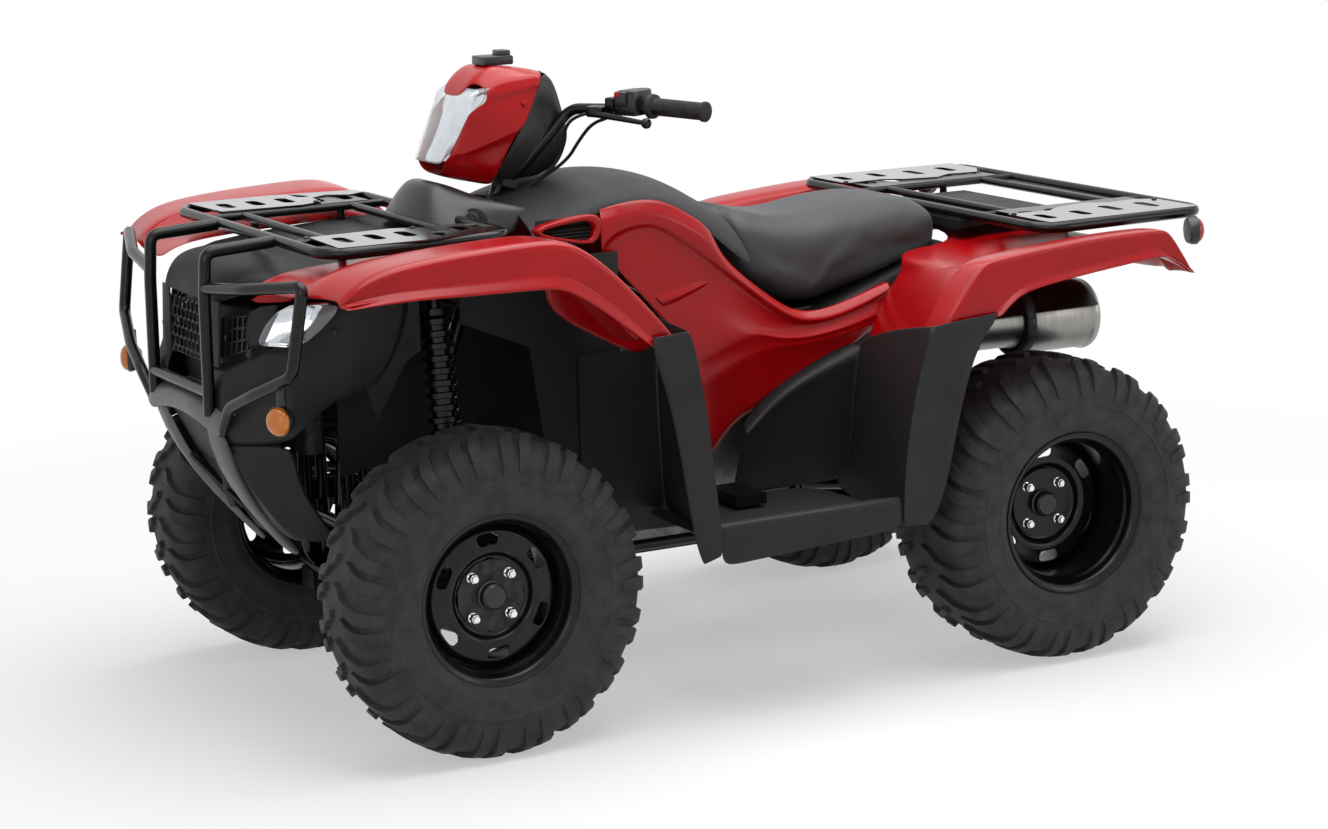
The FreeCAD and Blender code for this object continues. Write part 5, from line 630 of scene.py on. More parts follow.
# %% Rear fender
# crease y, z; top of the flare y, z; lip y, z; inner points, from the middle out
REAR_FACET_STATIONS = [
    ((323, 734), (436, 747), (446, 746), [(240, 353, 648), (400, 337, 690), (524, 322, 716),
                                          (540, 300, 723)]),
    ((356, 774), (450, 756), (456, 752), [(240, 378, 702), (400, 364, 737), (524, 350, 761),
                                          (540, 329, 767)]),
    ((391, 819), (463, 769), (471, 765), [(240, 408, 757), (400, 397, 787), (524, 384, 811),
                                          (540, 362, 815)]),
    ((418, 852), (482, 788), (492, 781), [(240, 446, 797), (400, 433, 823), (524, 416, 844),
                                          (540, 396, 850)]),
]
# crease y, z; top of the flare y, z; lip y, z; depth of the bed; where the bed ends inside
REAR_TOP_STATIONS = [
    ((440, 860), (508, 803), (520, 792), 36, 240), ((492, 866), (545, 811), (560, 799), 40, 176),
    ((548, 871), (595, 818), (602, 805), 40, 174), ((622, 877), (654, 823), (655, 811), 40, 174),
    ((694, 882), (704, 829), (708, 817), 40, 0), ((774, 884), (770, 837), (770, 823), 40, 0),
    ((834, 884), (820, 845), (822, 829), 40, 0), ((862, 883), (842, 846), (846, 830), 40, 0),
    ((878, 877), (860, 840), (870, 827), 38, 0), ((908, 833), (896, 815), (905, 807), 24, 0),
    ((938, 786), (932, 787), (937, 785), 6, 0),
]
REAR_FACE, REAR_LIP = 590, 602


def rear_outer(crease, flare, lip):
    """The face and the lip, from the crease outwards and down."""
    top, low = (REAR_FACE, *crease), (REAR_FACE, *flare)
    return [mix(top, low, 0.06), mix(top, low, 0.5), mix(top, low, 0.93), low, (REAR_LIP, *lip),
            (REAR_LIP - 9, lip[0], lip[1] - 1), (REAR_LIP - 14, lip[0] - 3, lip[1] + 8)]


rear_rows = []
for crease, flare, lip, (first, second, third, fourth) in REAR_FACET_STATIONS:
    rear_rows.append([first, first, mix(first, second, 0.5), second, mix(second, third, 0.9), third, fourth,
                      mix(fourth, (REAR_FACE, *crease), 0.08), (REAR_FACE - 3, *crease)]
                     + rear_outer(crease, flare, lip))
for crease, flare, lip, deep, edge in REAR_TOP_STATIONS:
    y, z = crease
    rear_rows.append([(edge, y, z - deep), (max(edge, 240), y, z - deep), (400, y, z - deep + 2),
                      (470, y, z - deep + 4), (492, y, z - deep + 10), (506, y, z - 8), (524, y, z - 3),
                      (REAR_FACE - 26, y, z), (REAR_FACE - 6, y, z - 1)] + rear_outer(crease, flare, lip))
rear_fender_bm = skin(rear_rows, (350, 650, 500), {4: 0.4, 5: 0.5, 6: 0.5, 8: 0.5, 9: 0.3, 12: 0.7, 13: 0.6})
piece("rear_fender_skin", rear_fender_bm, gloss_red_abs, ["rear_fender"], wall_mm=3.5, mirrored=True)
print("rear fender:", len(rear_rows), "stations")

# %% [markdown]
# ## Side covers
# The cover between tank, seat and footwell has a bright band along its upper edge, a darker strip under it,
# a recessed panel, and creases low down that turn the lower part towards the ground. Each of these is one
# line of the table, written from the front to the rear, with its own distance from the middle of the bike.

# %% Side covers
# distance from the middle, then y and z at twelve stations
COVER_LINES = [
    (200, [(-244, 980), (-205, 986), (-162, 991), (-108, 988), (-54, 958), (0, 920), (24, 876), (64, 828),
           (145, 764), (207, 721), (300, 726), (428, 771)]),
    (220, [(-248, 984), (-205, 991), (-162, 996), (-108, 993), (-54, 963), (3, 927), (20, 880), (60, 832),
           (143, 768), (205, 726), (300, 731), (432, 777)]),
    (236, [(-255, 959), (-210, 966), (-168, 971), (-121, 967), (-65, 938), (-8, 907), (8, 872), (50, 822),
           (136, 757), (205, 710), (303, 716), (430, 763)]),
    (237, [(-254, 908), (-230, 936), (-178, 951), (-128, 950), (-79, 920), (-35, 889), (2, 861), (45, 825),
           (118, 768), (195, 705), (302, 711), (429, 758)]),
    (227, [(-248, 896), (-224, 920), (-176, 935), (-131, 934), (-86, 904), (-42, 873), (-4, 845), (38, 812),
           (108, 762), (184, 700), (298, 706), (427, 753)]),
    (231, [(-212, 855), (-200, 858), (-160, 862), (-120, 862), (-84, 842), (-50, 820), (-18, 798), (22, 770),
           (94, 730), (176, 690), (294, 697), (423, 741)]),
    (236, [(-140, 778), (-128, 776), (-106, 772), (-82, 770), (-58, 764), (-32, 754), (-4, 742), (34, 728),
           (96, 708), (172, 683), (290, 690), (419, 729)]),
    (242, [(-62, 690), (-54, 672), (-44, 662), (-26, 666), (-8, 672), (14, 680), (40, 688), (69, 696),
           (108, 700), (168, 676), (286, 682), (414, 717)]),
    (238, [(-54, 668), (-46, 652), (-38, 641), (-20, 645), (0, 651), (20, 658), (46, 666), (76, 675),
           (114, 684), (172, 670), (286, 676), (410, 707)]),
    (239, [(-46, 640), (-38, 628), (-30, 618), (-12, 622), (8, 629), (28, 636), (54, 645), (86, 656),
           (128, 668), (184, 664), (290, 670), (404, 697)]),
    (230, [(-30, 580), (-24, 570), (-16, 562), (6, 572), (34, 586), (58, 598), (84, 611), (122, 628),
           (170, 644), (226, 650), (300, 658), (392, 683)]),
    (224, [(-16, 500), (-12, 470), (-8, 450), (12, 477), (35, 502), (50, 514), (67, 526), (130, 555),
           (206, 590), (260, 615), (310, 637), (376, 668)]),
    (204, [(-10, 505), (-6, 478), (-2, 460), (18, 484), (39, 508), (54, 520), (71, 532), (133, 560),
           (208, 594), (262, 619), (310, 641), (374, 672)]),
]
cover_rows = [[(x, *line[station]) for x, line in COVER_LINES] for station in range(len(COVER_LINES[0][1]))]
COVER_CREASES = {1: 0.5, 2: 0.7, 3: 0.6, 4: 0.35, 7: 0.9, 9: 0.6, 11: 0.7}

for name, side in SIDES.items():
    rows = [[(side * x, y, z) for x, y, z in row] for row in cover_rows]
    panel("side_cover_skin_" + name, rows, (0, 0, 750), gloss_red_abs, COVER_CREASES, ["side_cover_" + name],
          mirrored=False)
print("side covers:", len(COVER_LINES), "lines each")

# %% [markdown]
# Two small features sit on the cover: a blade that points backwards, whose underside is dark, and a red
# frame with a dark louvred opening where the cover meets the front fender.

# %% Blades and louvred openings
BLADE_ROWS = [
    [(231, -140, 806), (240, -132, 790), (241, -126, 786), (229, -104, 760)],
    [(231, -96, 812), (238, -84, 799), (239, -80, 795), (229, -66, 775)],
    [(231, -50, 817), (236, -44, 808), (236, -42, 805), (230, -34, 796)],
    [(231, -12, 819), (232, -10, 816), (232, -9, 815), (231, -8, 814)],
]
panel("cover_blades", BLADE_ROWS, (0, -80, 790), gloss_red_abs, {1: 0.9, 2: 0.9}, wall_mm=2)

OPENING_OUTER = [(-408, 952), (-384, 966), (-328, 974), (-268, 980), (-248, 970), (-250, 944), (-262, 912),
                 (-318, 924), (-376, 936)]
OPENING_INNER = [(-390, 951), (-372, 956), (-322, 963), (-284, 967), (-268, 956), (-270, 938), (-280, 924),
                 (-322, 933), (-366, 943)]


def ring_rows(outer, inner, face_x, depth):
    """Rows round an opening: the outer wall, the face with its rounded edges, and the inner wall."""
    rows = []
    for (outer_y, outer_z), (inner_y, inner_z) in zip(outer + outer[:1], inner + inner[:1]):
        edge, rim = (face_x - depth, outer_y, outer_z), (face_x - depth, inner_y, inner_z)
        near = mix((face_x, outer_y, outer_z), (face_x, inner_y, inner_z), 0.2)
        far = mix((face_x, outer_y, outer_z), (face_x, inner_y, inner_z), 0.8)
        rows.append([edge, (face_x - 3, outer_y, outer_z), near, far, (face_x - 3, inner_y, inner_z), rim])
    return rows


panel("cover_openings", ring_rows(OPENING_OUTER, OPENING_INNER, 240, 26), (180, -320, 945), gloss_red_abs,
      wall_mm=2, levels=1)
print("cover details: blades, and openings of", len(OPENING_OUTER), "corners")

# %% Louvres in the openings
LOUVRE_COUNT = 4
LOUVRE_TURN = Matrix.Rotation(0.6, 3, "Y")
louvre_bm = bmesh.new()
for step in range(LOUVRE_COUNT):
    share = (step + 0.5) / LOUVRE_COUNT
    add_box(louvre_bm, (16, 100 - 14 * step, 2), (224, -322 + 6 * step, 956 - 26 * share), LOUVRE_TURN)
add_box(louvre_bm, (2, 130, 56), (214, -322, 944))
piece("cover_louvres", louvre_bm, grained_black_pp, mirrored=True, levels=0, bevel_mm=0.4)
print("cover details:", LOUVRE_COUNT, "louvres in each opening")

# %% [markdown]
# ## Handlebar pod
# The lamp pod on the handlebar is a faceted red cowl round a clear lens, with a black housing behind it.
# Its facets are nearly flat, so its table has few stations and its creases are strong. Beside the lens's
# upper corners the cowl is open, which a few faces left out of the skin give.

# %% Pod cowl
# from the top middle down to the chin, each line from the lens backwards
POD_LINES = [
    [(0, -460, 1206), (0, -437, 1240), (0, -402, 1264), (0, -362, 1262), (0, -322, 1257), (0, -286, 1250)],
    [(46, -462, 1207), (49, -437, 1240), (50, -400, 1266), (52, -360, 1262), (54, -320, 1255),
     (56, -285, 1249)],
    [(66, -464, 1208), (90, -424, 1223), (90, -396, 1236), (91, -362, 1240), (92, -328, 1243),
     (93, -301, 1246)],
    [(67, -464, 1206), (94, -425, 1210), (97, -396, 1212), (99, -362, 1217), (100, -334, 1222),
     (100, -308, 1227)],
    [(84, -463, 1179), (94, -427, 1197), (95, -396, 1203), (97, -362, 1208), (98, -334, 1213),
     (98, -312, 1219)],
    [(82, -468, 1162), (92, -442, 1166), (100, -408, 1166), (105, -378, 1162), (108, -356, 1158),
     (109, -345, 1155)],
    [(72, -500, 1097), (84, -475, 1098), (94, -443, 1111), (100, -412, 1122), (104, -385, 1132),
     (107, -357, 1141)],
    [(71, -501, 1094), (82, -475, 1094), (88, -446, 1102), (91, -418, 1107), (93, -394, 1112),
     (95, -373, 1116)],
    [(64, -512, 1082), (74, -482, 1078), (81, -452, 1074), (83, -428, 1068), (83, -411, 1062),
     (81, -397, 1057)],
    [(52, -508, 1057), (58, -482, 1048), (62, -454, 1041), (64, -432, 1036), (64, -416, 1032),
     (62, -404, 1029)],
    [(0, -506, 1053), (0, -482, 1044), (0, -454, 1037), (0, -432, 1032), (0, -416, 1028), (0, -404, 1025)],
]
WING_INNER_X, WING_REAR_Y, WING_LOW_Z, WING_HIGH_Z = 60, -440, 1190, 1222
pod_rows = [[line[station] for line in POD_LINES] for station in range(len(POD_LINES[0]))]
pod_bm = skin(pod_rows, (0, -380, 1150), {1: 0.8, 2: 0.9, 3: 0.9, 4: 0.7, 6: 1.0, 7: 0.8, 8: 0.9, 9: 0.7})
wing = []
for face in pod_bm.faces:
    x, y, z = face.calc_center_median() / MM
    if x > WING_INNER_X and y < WING_REAR_Y and WING_LOW_Z < z < WING_HIGH_Z:
        wing.append(face)
bmesh.ops.delete(pod_bm, geom=wing, context="FACES")
piece("pod_cowl_skin", pod_bm, gloss_red_abs, ["pod_cowl"], body="steering", wall_mm=3, mirrored=True)
print("pod cowl: wing opening of", len(wing), "faces")

# %% Pod lens and reflector
# the reflector is the lens's own table moved back, a little smaller about this height, deeper in the middle
LENS_MIDDLE_Z = 1145
LENS_ROWS = [
    [(0, -522, 1078), (35, -521, 1078), (58, -518, 1079), (61, -516, 1081)],
    [(0, -514, 1105), (38, -512, 1105), (68, -505, 1101), (72, -500, 1098)],
    [(0, -494, 1145), (42, -491, 1145), (75, -483, 1141), (79, -478, 1138)],
    [(0, -475, 1178), (44, -472, 1178), (76, -467, 1179), (85, -462, 1177)],
    [(0, -468, 1194), (44, -466, 1195), (74, -459, 1196), (94, -428, 1197)],
    [(0, -462, 1205), (46, -463, 1206), (67, -463, 1208), (92, -424, 1222)],
    [(0, -442, 1224), (46, -442, 1225), (70, -438, 1224), (93, -404, 1231)],
]
panel("pod_lens", LENS_ROWS, (0, -400, 1150), clear_lens, {2: 0.7}, ["pod_headlamp"], wall_mm=2.5,
      body="steering")
reflector_rows = [[(x * 0.95, y + 20, mix([LENS_MIDDLE_Z], [z], 0.96)[0]) for x, y, z in row]
                  for row in LENS_ROWS]
for row in reflector_rows[1:-1]:
    row[0] = (row[0][0], row[0][1] + 30, row[0][2])
    row[1] = (row[1][0], row[1][1] + 22, row[1][2])
panel("pod_reflector", reflector_rows, (0, -380, 1150), aluminised, {1: 0.8, 2: 0.8}, wall_mm=1.5, levels=1,
      body="steering")
print("pod: lens and reflector of", len(LENS_ROWS), "rows")

# %% Pod housing, visor and bolts
HOUSING_ROWS = [
    [(94, -303, 1244), (84, -284, 1246), (45, -278, 1247), (0, -276, 1247)],
    [(99, -313, 1220), (90, -270, 1222), (48, -262, 1222), (0, -260, 1222)],
    [(103, -340, 1174), (90, -256, 1174), (48, -246, 1174), (0, -244, 1174)],
    [(103, -360, 1140), (87, -245, 1140), (46, -235, 1140), (0, -233, 1140)],
    [(92, -377, 1108), (80, -237, 1108), (44, -228, 1108), (0, -226, 1108)],
    [(76, -398, 1060), (68, -256, 1060), (40, -250, 1058), (0, -248, 1056)],
    [(60, -404, 1032), (52, -298, 1036), (30, -294, 1034), (0, -292, 1033)],
]
panel("pod_housing_shell", HOUSING_ROWS, (0, -330, 1150), smooth_black_abs, {1: 0.5}, ["pod_housing"],
      body="steering")

visor_bm = bmesh.new()
add_box(visor_bm, (58, 66, 18), (0, -364, 1272))
add_box(visor_bm, (34, 26, 14), (0, -344, 1284))
piece("pod_visor", visor_bm, smooth_black_abs, body="steering", levels=0, bevel_mm=3)
bolt_bm = bmesh.new()
for side in SIDES.values():
    add_cone(bolt_bm, 6.5, 5, 4, (side * 105, -347, 1191), Matrix.Rotation(side * math.pi / 2, 3, "Y"))
piece("pod_bolts", bolt_bm, gloss_red_abs, body="steering", levels=0, bevel_mm=0.8)
print("pod: housing, visor and two bolts")

# %% [markdown]
# ## Tank cover and seat
# The cover over the tank is a matt dome between the two side covers. The seat is foam under stretched
# vinyl: it starts as a closed form a little smaller than the real one, is remeshed into small even quads,
# and is then blown up slightly by a cloth simulation, so that its crown and its rounded edges are those of
# a stretched cover. A cap holds every point near its start, and the simulation is applied at once.

# %% Tank cover
TANK_COLUMNS = (0, 60, 120, 170, 203, 214)
TANK_STATIONS = {
    -392: (1000, 998, 986, 964, 944, 926), -330: (1020, 1018, 1006, 984, 966, 950),
    -250: (1035, 1033, 1022, 1004, 990, 976), -160: (1038, 1036, 1028, 1014, 1002, 990),
    -104: (1034, 1032, 1024, 1011, 998, 986), -46: (1020, 1018, 1008, 990, 968, 954),
    8: (994, 991, 980, 956, 928, 912), 60: (963, 960, 946, 918, 886, 866),
    108: (934, 931, 914, 882, 850, 830),
}
tank_rows = [[(x, y, z) for x, z in zip(TANK_COLUMNS, heights)] for y, heights in TANK_STATIONS.items()]
panel("tank_cover_skin", tank_rows, (0, -150, 800), matte_tank_pp, {3: 0.25, 4: 0.4}, ["tank_cover"])

# %% Seat form
# y: half width, top in the middle, side's lower edge
SEAT_STATIONS = {
    101: (96, 905, 842), 106: (132, 930, 816), 122: (152, 936, 796), 160: (160, 926, 772),
    205: (165, 914, 750), 250: (167, 907, 738), 300: (168, 909, 741), 350: (168, 915, 750),
    400: (168, 921, 760), 450: (168, 925, 771), 500: (167, 925, 786), 550: (163, 920, 802),
    590: (152, 910, 816), 610: (130, 896, 828), 616: (92, 880, 842),
}
SEAT_CORNERS = 28
# how square the section is at its sides, above and below: one is round
SEAT_SIDE, SEAT_ABOVE, SEAT_BELOW = 0.42, 0.72, 0.3


def seat_section(y, half, top, low):
    """A closed section: full round shoulders, nearly upright sides, a flat underside."""
    middle, rise = (top + low) / 2, (top - low) / 2
    points = []
    for corner in range(SEAT_CORNERS + 1):
        angle = 2 * math.pi * corner / SEAT_CORNERS
        across, up = math.cos(angle), math.sin(angle)
        x = half * math.copysign(abs(across) ** SEAT_SIDE, across)
        z = middle + rise * math.copysign(abs(up) ** (SEAT_ABOVE if up > 0 else SEAT_BELOW), up)
        points.append((x, y, z))
    return points


def capped(rows):
    """Close a tube of sections with a point at each end."""
    ends = []
    for row in (rows[0], rows[-1]):
        centre = tuple(sum(axis) / len(row) for axis in zip(*row))
        ends.append([centre] * len(row))
    return [ends[0], *rows, ends[1]]


seat_rows = capped([seat_section(y, *sizes) for y, sizes in SEAT_STATIONS.items()])
seat_bm = skin(seat_rows, (0, 360, 840))
seat_mesh = bpy.data.meshes.new("seat_form")
seat_bm.to_mesh(seat_mesh)
seat_bm.free()
seat = bpy.data.objects.new("seat_cushion", seat_mesh)
bpy.context.scene.collection.objects.link(seat)
print("seat form:", len(seat_mesh.polygons), "faces")

# %% Blow the seat's cover up
VOXEL_MM = 6
SEAT_CAP_MM = 7
SEAT_PRESSURE, SEAT_QUALITY, SEAT_FRAMES = 4.0, 4, 20


def apply_modifiers(target):
    """Replace an object's mesh by its evaluated one and drop its modifiers."""
    graph = bpy.context.evaluated_depsgraph_get()
    finished = bpy.data.meshes.new_from_object(target.evaluated_get(graph))
    target.modifiers.clear()
    target.data = finished


curve = seat.modifiers.new("form", "SUBSURF")
curve.levels = curve.render_levels = 2
remesh = seat.modifiers.new("even_quads", "REMESH")
remesh.mode = "VOXEL"
remesh.voxel_size = VOXEL_MM * MM
apply_modifiers(seat)
print("seat remeshed:", len(seat.data.polygons), "faces")
before = [v.co.copy() for v in seat.data.vertices]
cloth = seat.modifiers.new("vinyl", "CLOTH")
cloth.settings.use_pressure = True
cloth.settings.uniform_pressure_force = SEAT_PRESSURE
cloth.settings.effector_weights.gravity = 0
cloth.settings.quality = SEAT_QUALITY
cloth.point_cache.frame_start, cloth.point_cache.frame_end = 1, SEAT_FRAMES
for frame_number in range(1, SEAT_FRAMES + 1):
    bpy.context.scene.frame_set(frame_number)
apply_modifiers(seat)
bpy.context.scene.frame_set(1)
moved = 0.0
for vertex, start in zip(seat.data.vertices, before):
    step = vertex.co - start
    if step.length > SEAT_CAP_MM * MM:
        vertex.co = start + step.normalized() * SEAT_CAP_MM * MM
    moved = max(moved, (vertex.co - start).length)
print("seat cover moved at most", round(moved / MM, 1), "mm")

# %% Even out and finish the seat
RELAX_SHARE, RELAX_TIMES = 0.5, 6
relax = seat.modifiers.new("even_out", "SMOOTH")
relax.factor, relax.iterations = RELAX_SHARE, RELAX_TIMES
apply_modifiers(seat)
subdivide = seat.modifiers.new("fine", "SUBSURF")
subdivide.levels = subdivide.render_levels = 1
seat.data.materials.clear()
seat.data.materials.append(seat_vinyl)
for polygon in seat.data.polygons:
    polygon.use_smooth = True
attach(seat, "chassis")
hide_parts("seat")
print("seat:", len(seat.data.polygons), "faces before the last subdivision")

# %% [markdown]
# ## Tyres
# A tyre is a carcass with lugs on it. The carcass is one profile, spun about the axle. The lugs come in two
# kinds, a long bent one from the middle to the shoulder and a short one between, and both run over the
# shoulder a little way down the sidewall. Each is one small skin on the carcass, repeated by the spin
# operator with copies, and the other half of the tread is its mirror image, turned by half a pitch.

# %% Tyre helpers
TYRE_STEPS = 80
LUG_PITCHES = 18
FRONT_WHEEL_Y, REAR_WHEEL_Y, AXLE_Z = -647.5, 647.5, 314
WHEEL_X = 462.5
# share of half width, radius in mm
CARCASS = [(0.0, 303.5), (0.3, 303), (0.56, 301), (0.74, 296), (0.87, 287), (0.945, 274), (0.985, 256),
           (1.0, 236), (1.0, 232), (1.014, 230), (1.014, 227), (0.998, 225), (0.985, 208), (0.962, 192),
           (0.965, 190), (0.955, 187), (0.93, 178), (0.885, 170), (0.84, 164), (0.8, 158)]
# share of half width, radius, place round the tyre, half width of the lug, height
LONG_LUG = [(0.05, 303, 0, 9, 10), (0.28, 303, 13, 11, 10.5), (0.36, 302.6, 26, 12, 10.5),
            (0.58, 300.8, 34, 13, 10.5), (0.74, 296, 44, 14, 10), (0.87, 287, 48, 14.5, 8),
            (0.945, 274, 49, 14.5, 5.5), (0.98, 259, 49, 13, 3.5), (0.99, 250, 49, 12, 2.5)]
SHORT_LUG = [(0.36, 302.6, 60, 9, 10), (0.5, 301.5, 66, 10, 10.5), (0.6, 300.5, 76, 13, 10.5),
             (0.76, 295, 84, 14, 10), (0.88, 286, 88, 15, 8), (0.95, 272, 89, 15, 6), (0.985, 256, 89, 13, 4),
             (0.995, 244, 89, 12, 2.5)]
LUG_REACH = 303.0
SKIRT = 0.82


def lug_rows(stations, half_width):
    """The top of a lug and its skirts down to the carcass, from the middle of the tread outwards."""
    places = [Vector((share * half_width, 0, radius)) for share, radius, *_ in stations]
    rows = []
    for index, (_, _, around, half, height) in enumerate(stations):
        after = places[min(index + 1, len(places) - 1)]
        before = places[max(index - 1, 0)]
        along = (after - before).normalized()
        outward = Vector((-along.z, 0, along.x))
        row = []
        for offset, lift in ((-half, -3), (-half * SKIRT, height), (half * SKIRT, height), (half, -3)):
            point = places[index] + outward * lift
            angle = (around + offset) / LUG_REACH
            row.append((point.x, -point.z * math.sin(angle), point.z * math.cos(angle)))
        rows.append(row)
    ends = []
    for row, index in ((rows[0], 0), (rows[-1], -1)):
        sunk = []
        for point in row:
            radius = math.hypot(point[1], point[2])
            base = places[index].z - 3
            if index == -1:
                sunk.append((places[-1].x - 3, *(c * (base - 4) / radius for c in point[1:])))
            else:
                sunk.append((point[0] - 3, *(c * base / radius for c in point[1:])))
        ends.append(sunk)
    return [ends[0], *rows, ends[1]]


def tyre_bm(half_width):
    """One tyre about the X axis, centred on the origin."""
    bm = bmesh.new()
    for stations in (LONG_LUG, SHORT_LUG):
        lug = skin(lug_rows(stations, half_width), (0, -100, 250))
        lug_mesh = bpy.data.meshes.new("lug")
        lug.to_mesh(lug_mesh)
        lug.free()
        bm.from_mesh(lug_mesh)
        bpy.data.meshes.remove(lug_mesh)
    half = bm.verts[:] + bm.edges[:] + bm.faces[:]
    other = bmesh.ops.duplicate(bm, geom=half)["geom"]
    other_verts = [g for g in other if isinstance(g, bmesh.types.BMVert)]
    bmesh.ops.scale(bm, vec=(-1, 1, 1), verts=other_verts)
    bmesh.ops.rotate(bm, cent=(0, 0, 0), matrix=Matrix.Rotation(math.pi / LUG_PITCHES, 3, "X"),
                     verts=other_verts)
    bmesh.ops.reverse_faces(bm, faces=[g for g in other if isinstance(g, bmesh.types.BMFace)])
    bmesh.ops.spin(bm, geom=bm.verts[:] + bm.edges[:] + bm.faces[:], cent=(0, 0, 0), axis=(1, 0, 0),
                   angle=2 * math.pi * (LUG_PITCHES - 1) / LUG_PITCHES, steps=LUG_PITCHES - 1,
                   use_duplicate=True)
    outline = [(share * half_width, radius) for share, radius in CARCASS]
    outline = outline[::-1] + [(-x, radius) for x, radius in outline[1:]]
    corners = [bm.verts.new((x * MM, 0, radius * MM)) for x, radius in outline]
    profile = corners + [bm.edges.new(pair) for pair in zip(corners, corners[1:])]
    bmesh.ops.spin(bm, geom=profile, cent=(0, 0, 0), axis=(1, 0, 0), angle=2 * math.pi, steps=TYRE_STEPS,
                   use_merge=True)
    bm.normal_update()
    outer = [f for f in bm.faces if len(f.verts) == 4 and any(v in corners for v in f.verts)]
    if sum(f.normal.dot(f.calc_center_median()) for f in outer) < 0:
        carcass = set()
        stack = list(outer)
        while stack:
            face = stack.pop()
            if face not in carcass:
                carcass.add(face)
                stack.extend(near for edge in face.edges for near in edge.link_faces if near not in carcass)
        bmesh.ops.reverse_faces(bm, faces=list(carcass))
    return bm


def placed_wheel(bm, side, y):
    """Move a wheel's part from the origin to its place, mirrored for the right side."""
    if side < 0:
        bmesh.ops.scale(bm, vec=(-1, 1, 1), verts=bm.verts)
        bmesh.ops.reverse_faces(bm, faces=bm.faces)
    bmesh.ops.translate(bm, vec=Vector((side * WHEEL_X, y, AXLE_Z)) * MM, verts=bm.verts)
    return bm


print("tread:", LUG_PITCHES * 4, "lugs a tyre")

# %% Tyres
FRONT_TYRE_HALF, REAR_TYRE_HALF = 101.5, 127
for name, side in SIDES.items():
    for end, half, y, node, body in (
            ("front", FRONT_TYRE_HALF, FRONT_WHEEL_Y, "tyre_front_" + name, "wheel_front_" + name),
            ("rear", REAR_TYRE_HALF, REAR_WHEEL_Y, "tyres_rear", "wheels_rear")):
        wheel_bm = placed_wheel(tyre_bm(half), side, y)
        piece("tyre_tread_" + end + "_" + name, wheel_bm, tyre_rubber, [node], body, levels=0)
print("tyres:", 2 * FRONT_TYRE_HALF, "mm wide in front and", 2 * REAR_TYRE_HALF, "mm behind")

# %% [markdown]
# ## Rims
# The rim is pressed steel: a barrel with a rolled flange at each end, and a dished disc welded into it.
# Both are profiles spun about the axle. The disc's oval slots are faces left out of the spin, which the
# subdivision then rounds. Chrome nuts and a black cap sit in the ring in the middle.

# %% Rim helpers
RIM_STEPS = 48
SLOT_EVERY, SLOT_FACES = 8, 3
WINDOW_EVERY, WINDOW_FACES = 12, 2
NUT_CIRCLE_MM, NUT_TAPER = 55, 0.92
ALONG_X = Matrix.Rotation(math.pi / 2, 3, "Y")
# distance inside the outer edge of the flange, radius
BARREL_OUTER = [(1, 163), (-1, 166), (1, 169), (5, 168), (7, 163), (9, 157), (15, 153), (24, 151), (30, 147),
                (36, 142)]
BARREL_MIDDLE = (0, 140)
# distance outside the disc's face, radius; the slots and the windows lie between pairs of these
DISC_PROFILE = [(-6, 140), (-2, 133), (3, 128), (5, 124), (7, 102), (9, 97), (8, 88), (4, 83), (-4, 80),
                (-8, 76), (-9, 70), (-9, 46), (-9, 36), (-9, 24)]
SLOT_BAND, WINDOW_BAND = (102, 124), (46, 70)
HUB_PLATE = [(-16, 78), (-15, 76), (-15, 30), (-18, 28)]
HUB_CAP = [(-9, 29), (-2, 29), (0, 26), (12, 25), (16, 21), (16, 0)]
# a nut's washer, its six sides and its round end: radius, depth, distance outside the disc's face, corners
NUT_PARTS = ((11, 3, -7, 20), (10, 14, 1, 6), (7.2, 6, 10, 16))


def spun(bm, outline, steps=RIM_STEPS):
    """Spin a line of (x, radius) points in millimetres about the X axis."""
    corners = [bm.verts.new((x * MM, 0, radius * MM)) for x, radius in outline]
    profile = corners + [bm.edges.new(pair) for pair in zip(corners, corners[1:])]
    bmesh.ops.spin(bm, geom=profile, cent=(0, 0, 0), axis=(1, 0, 0), angle=2 * math.pi, steps=steps,
                   use_merge=True)
    bmesh.ops.remove_doubles(bm, verts=bm.verts, dist=JOIN_MM * MM)
    bmesh.ops.recalc_face_normals(bm, faces=bm.faces)
    return bm


def cut_band(bm, band, every, count, turn):
    """Leave out some faces of one band of a spun disc, every so many steps."""
    gone = []
    for face in bm.faces:
        centre = face.calc_center_median() / MM
        radius = math.hypot(centre.y, centre.z)
        step = int((math.atan2(centre.y, centre.z) / (2 * math.pi) * RIM_STEPS + RIM_STEPS + turn)) % every
        if band[0] - 1 < radius < band[1] + 1 and step < count:
            gone.append(face)
    bmesh.ops.delete(bm, geom=gone, context="FACES")
    return len(gone)


print("rims are spun in", RIM_STEPS, "steps")

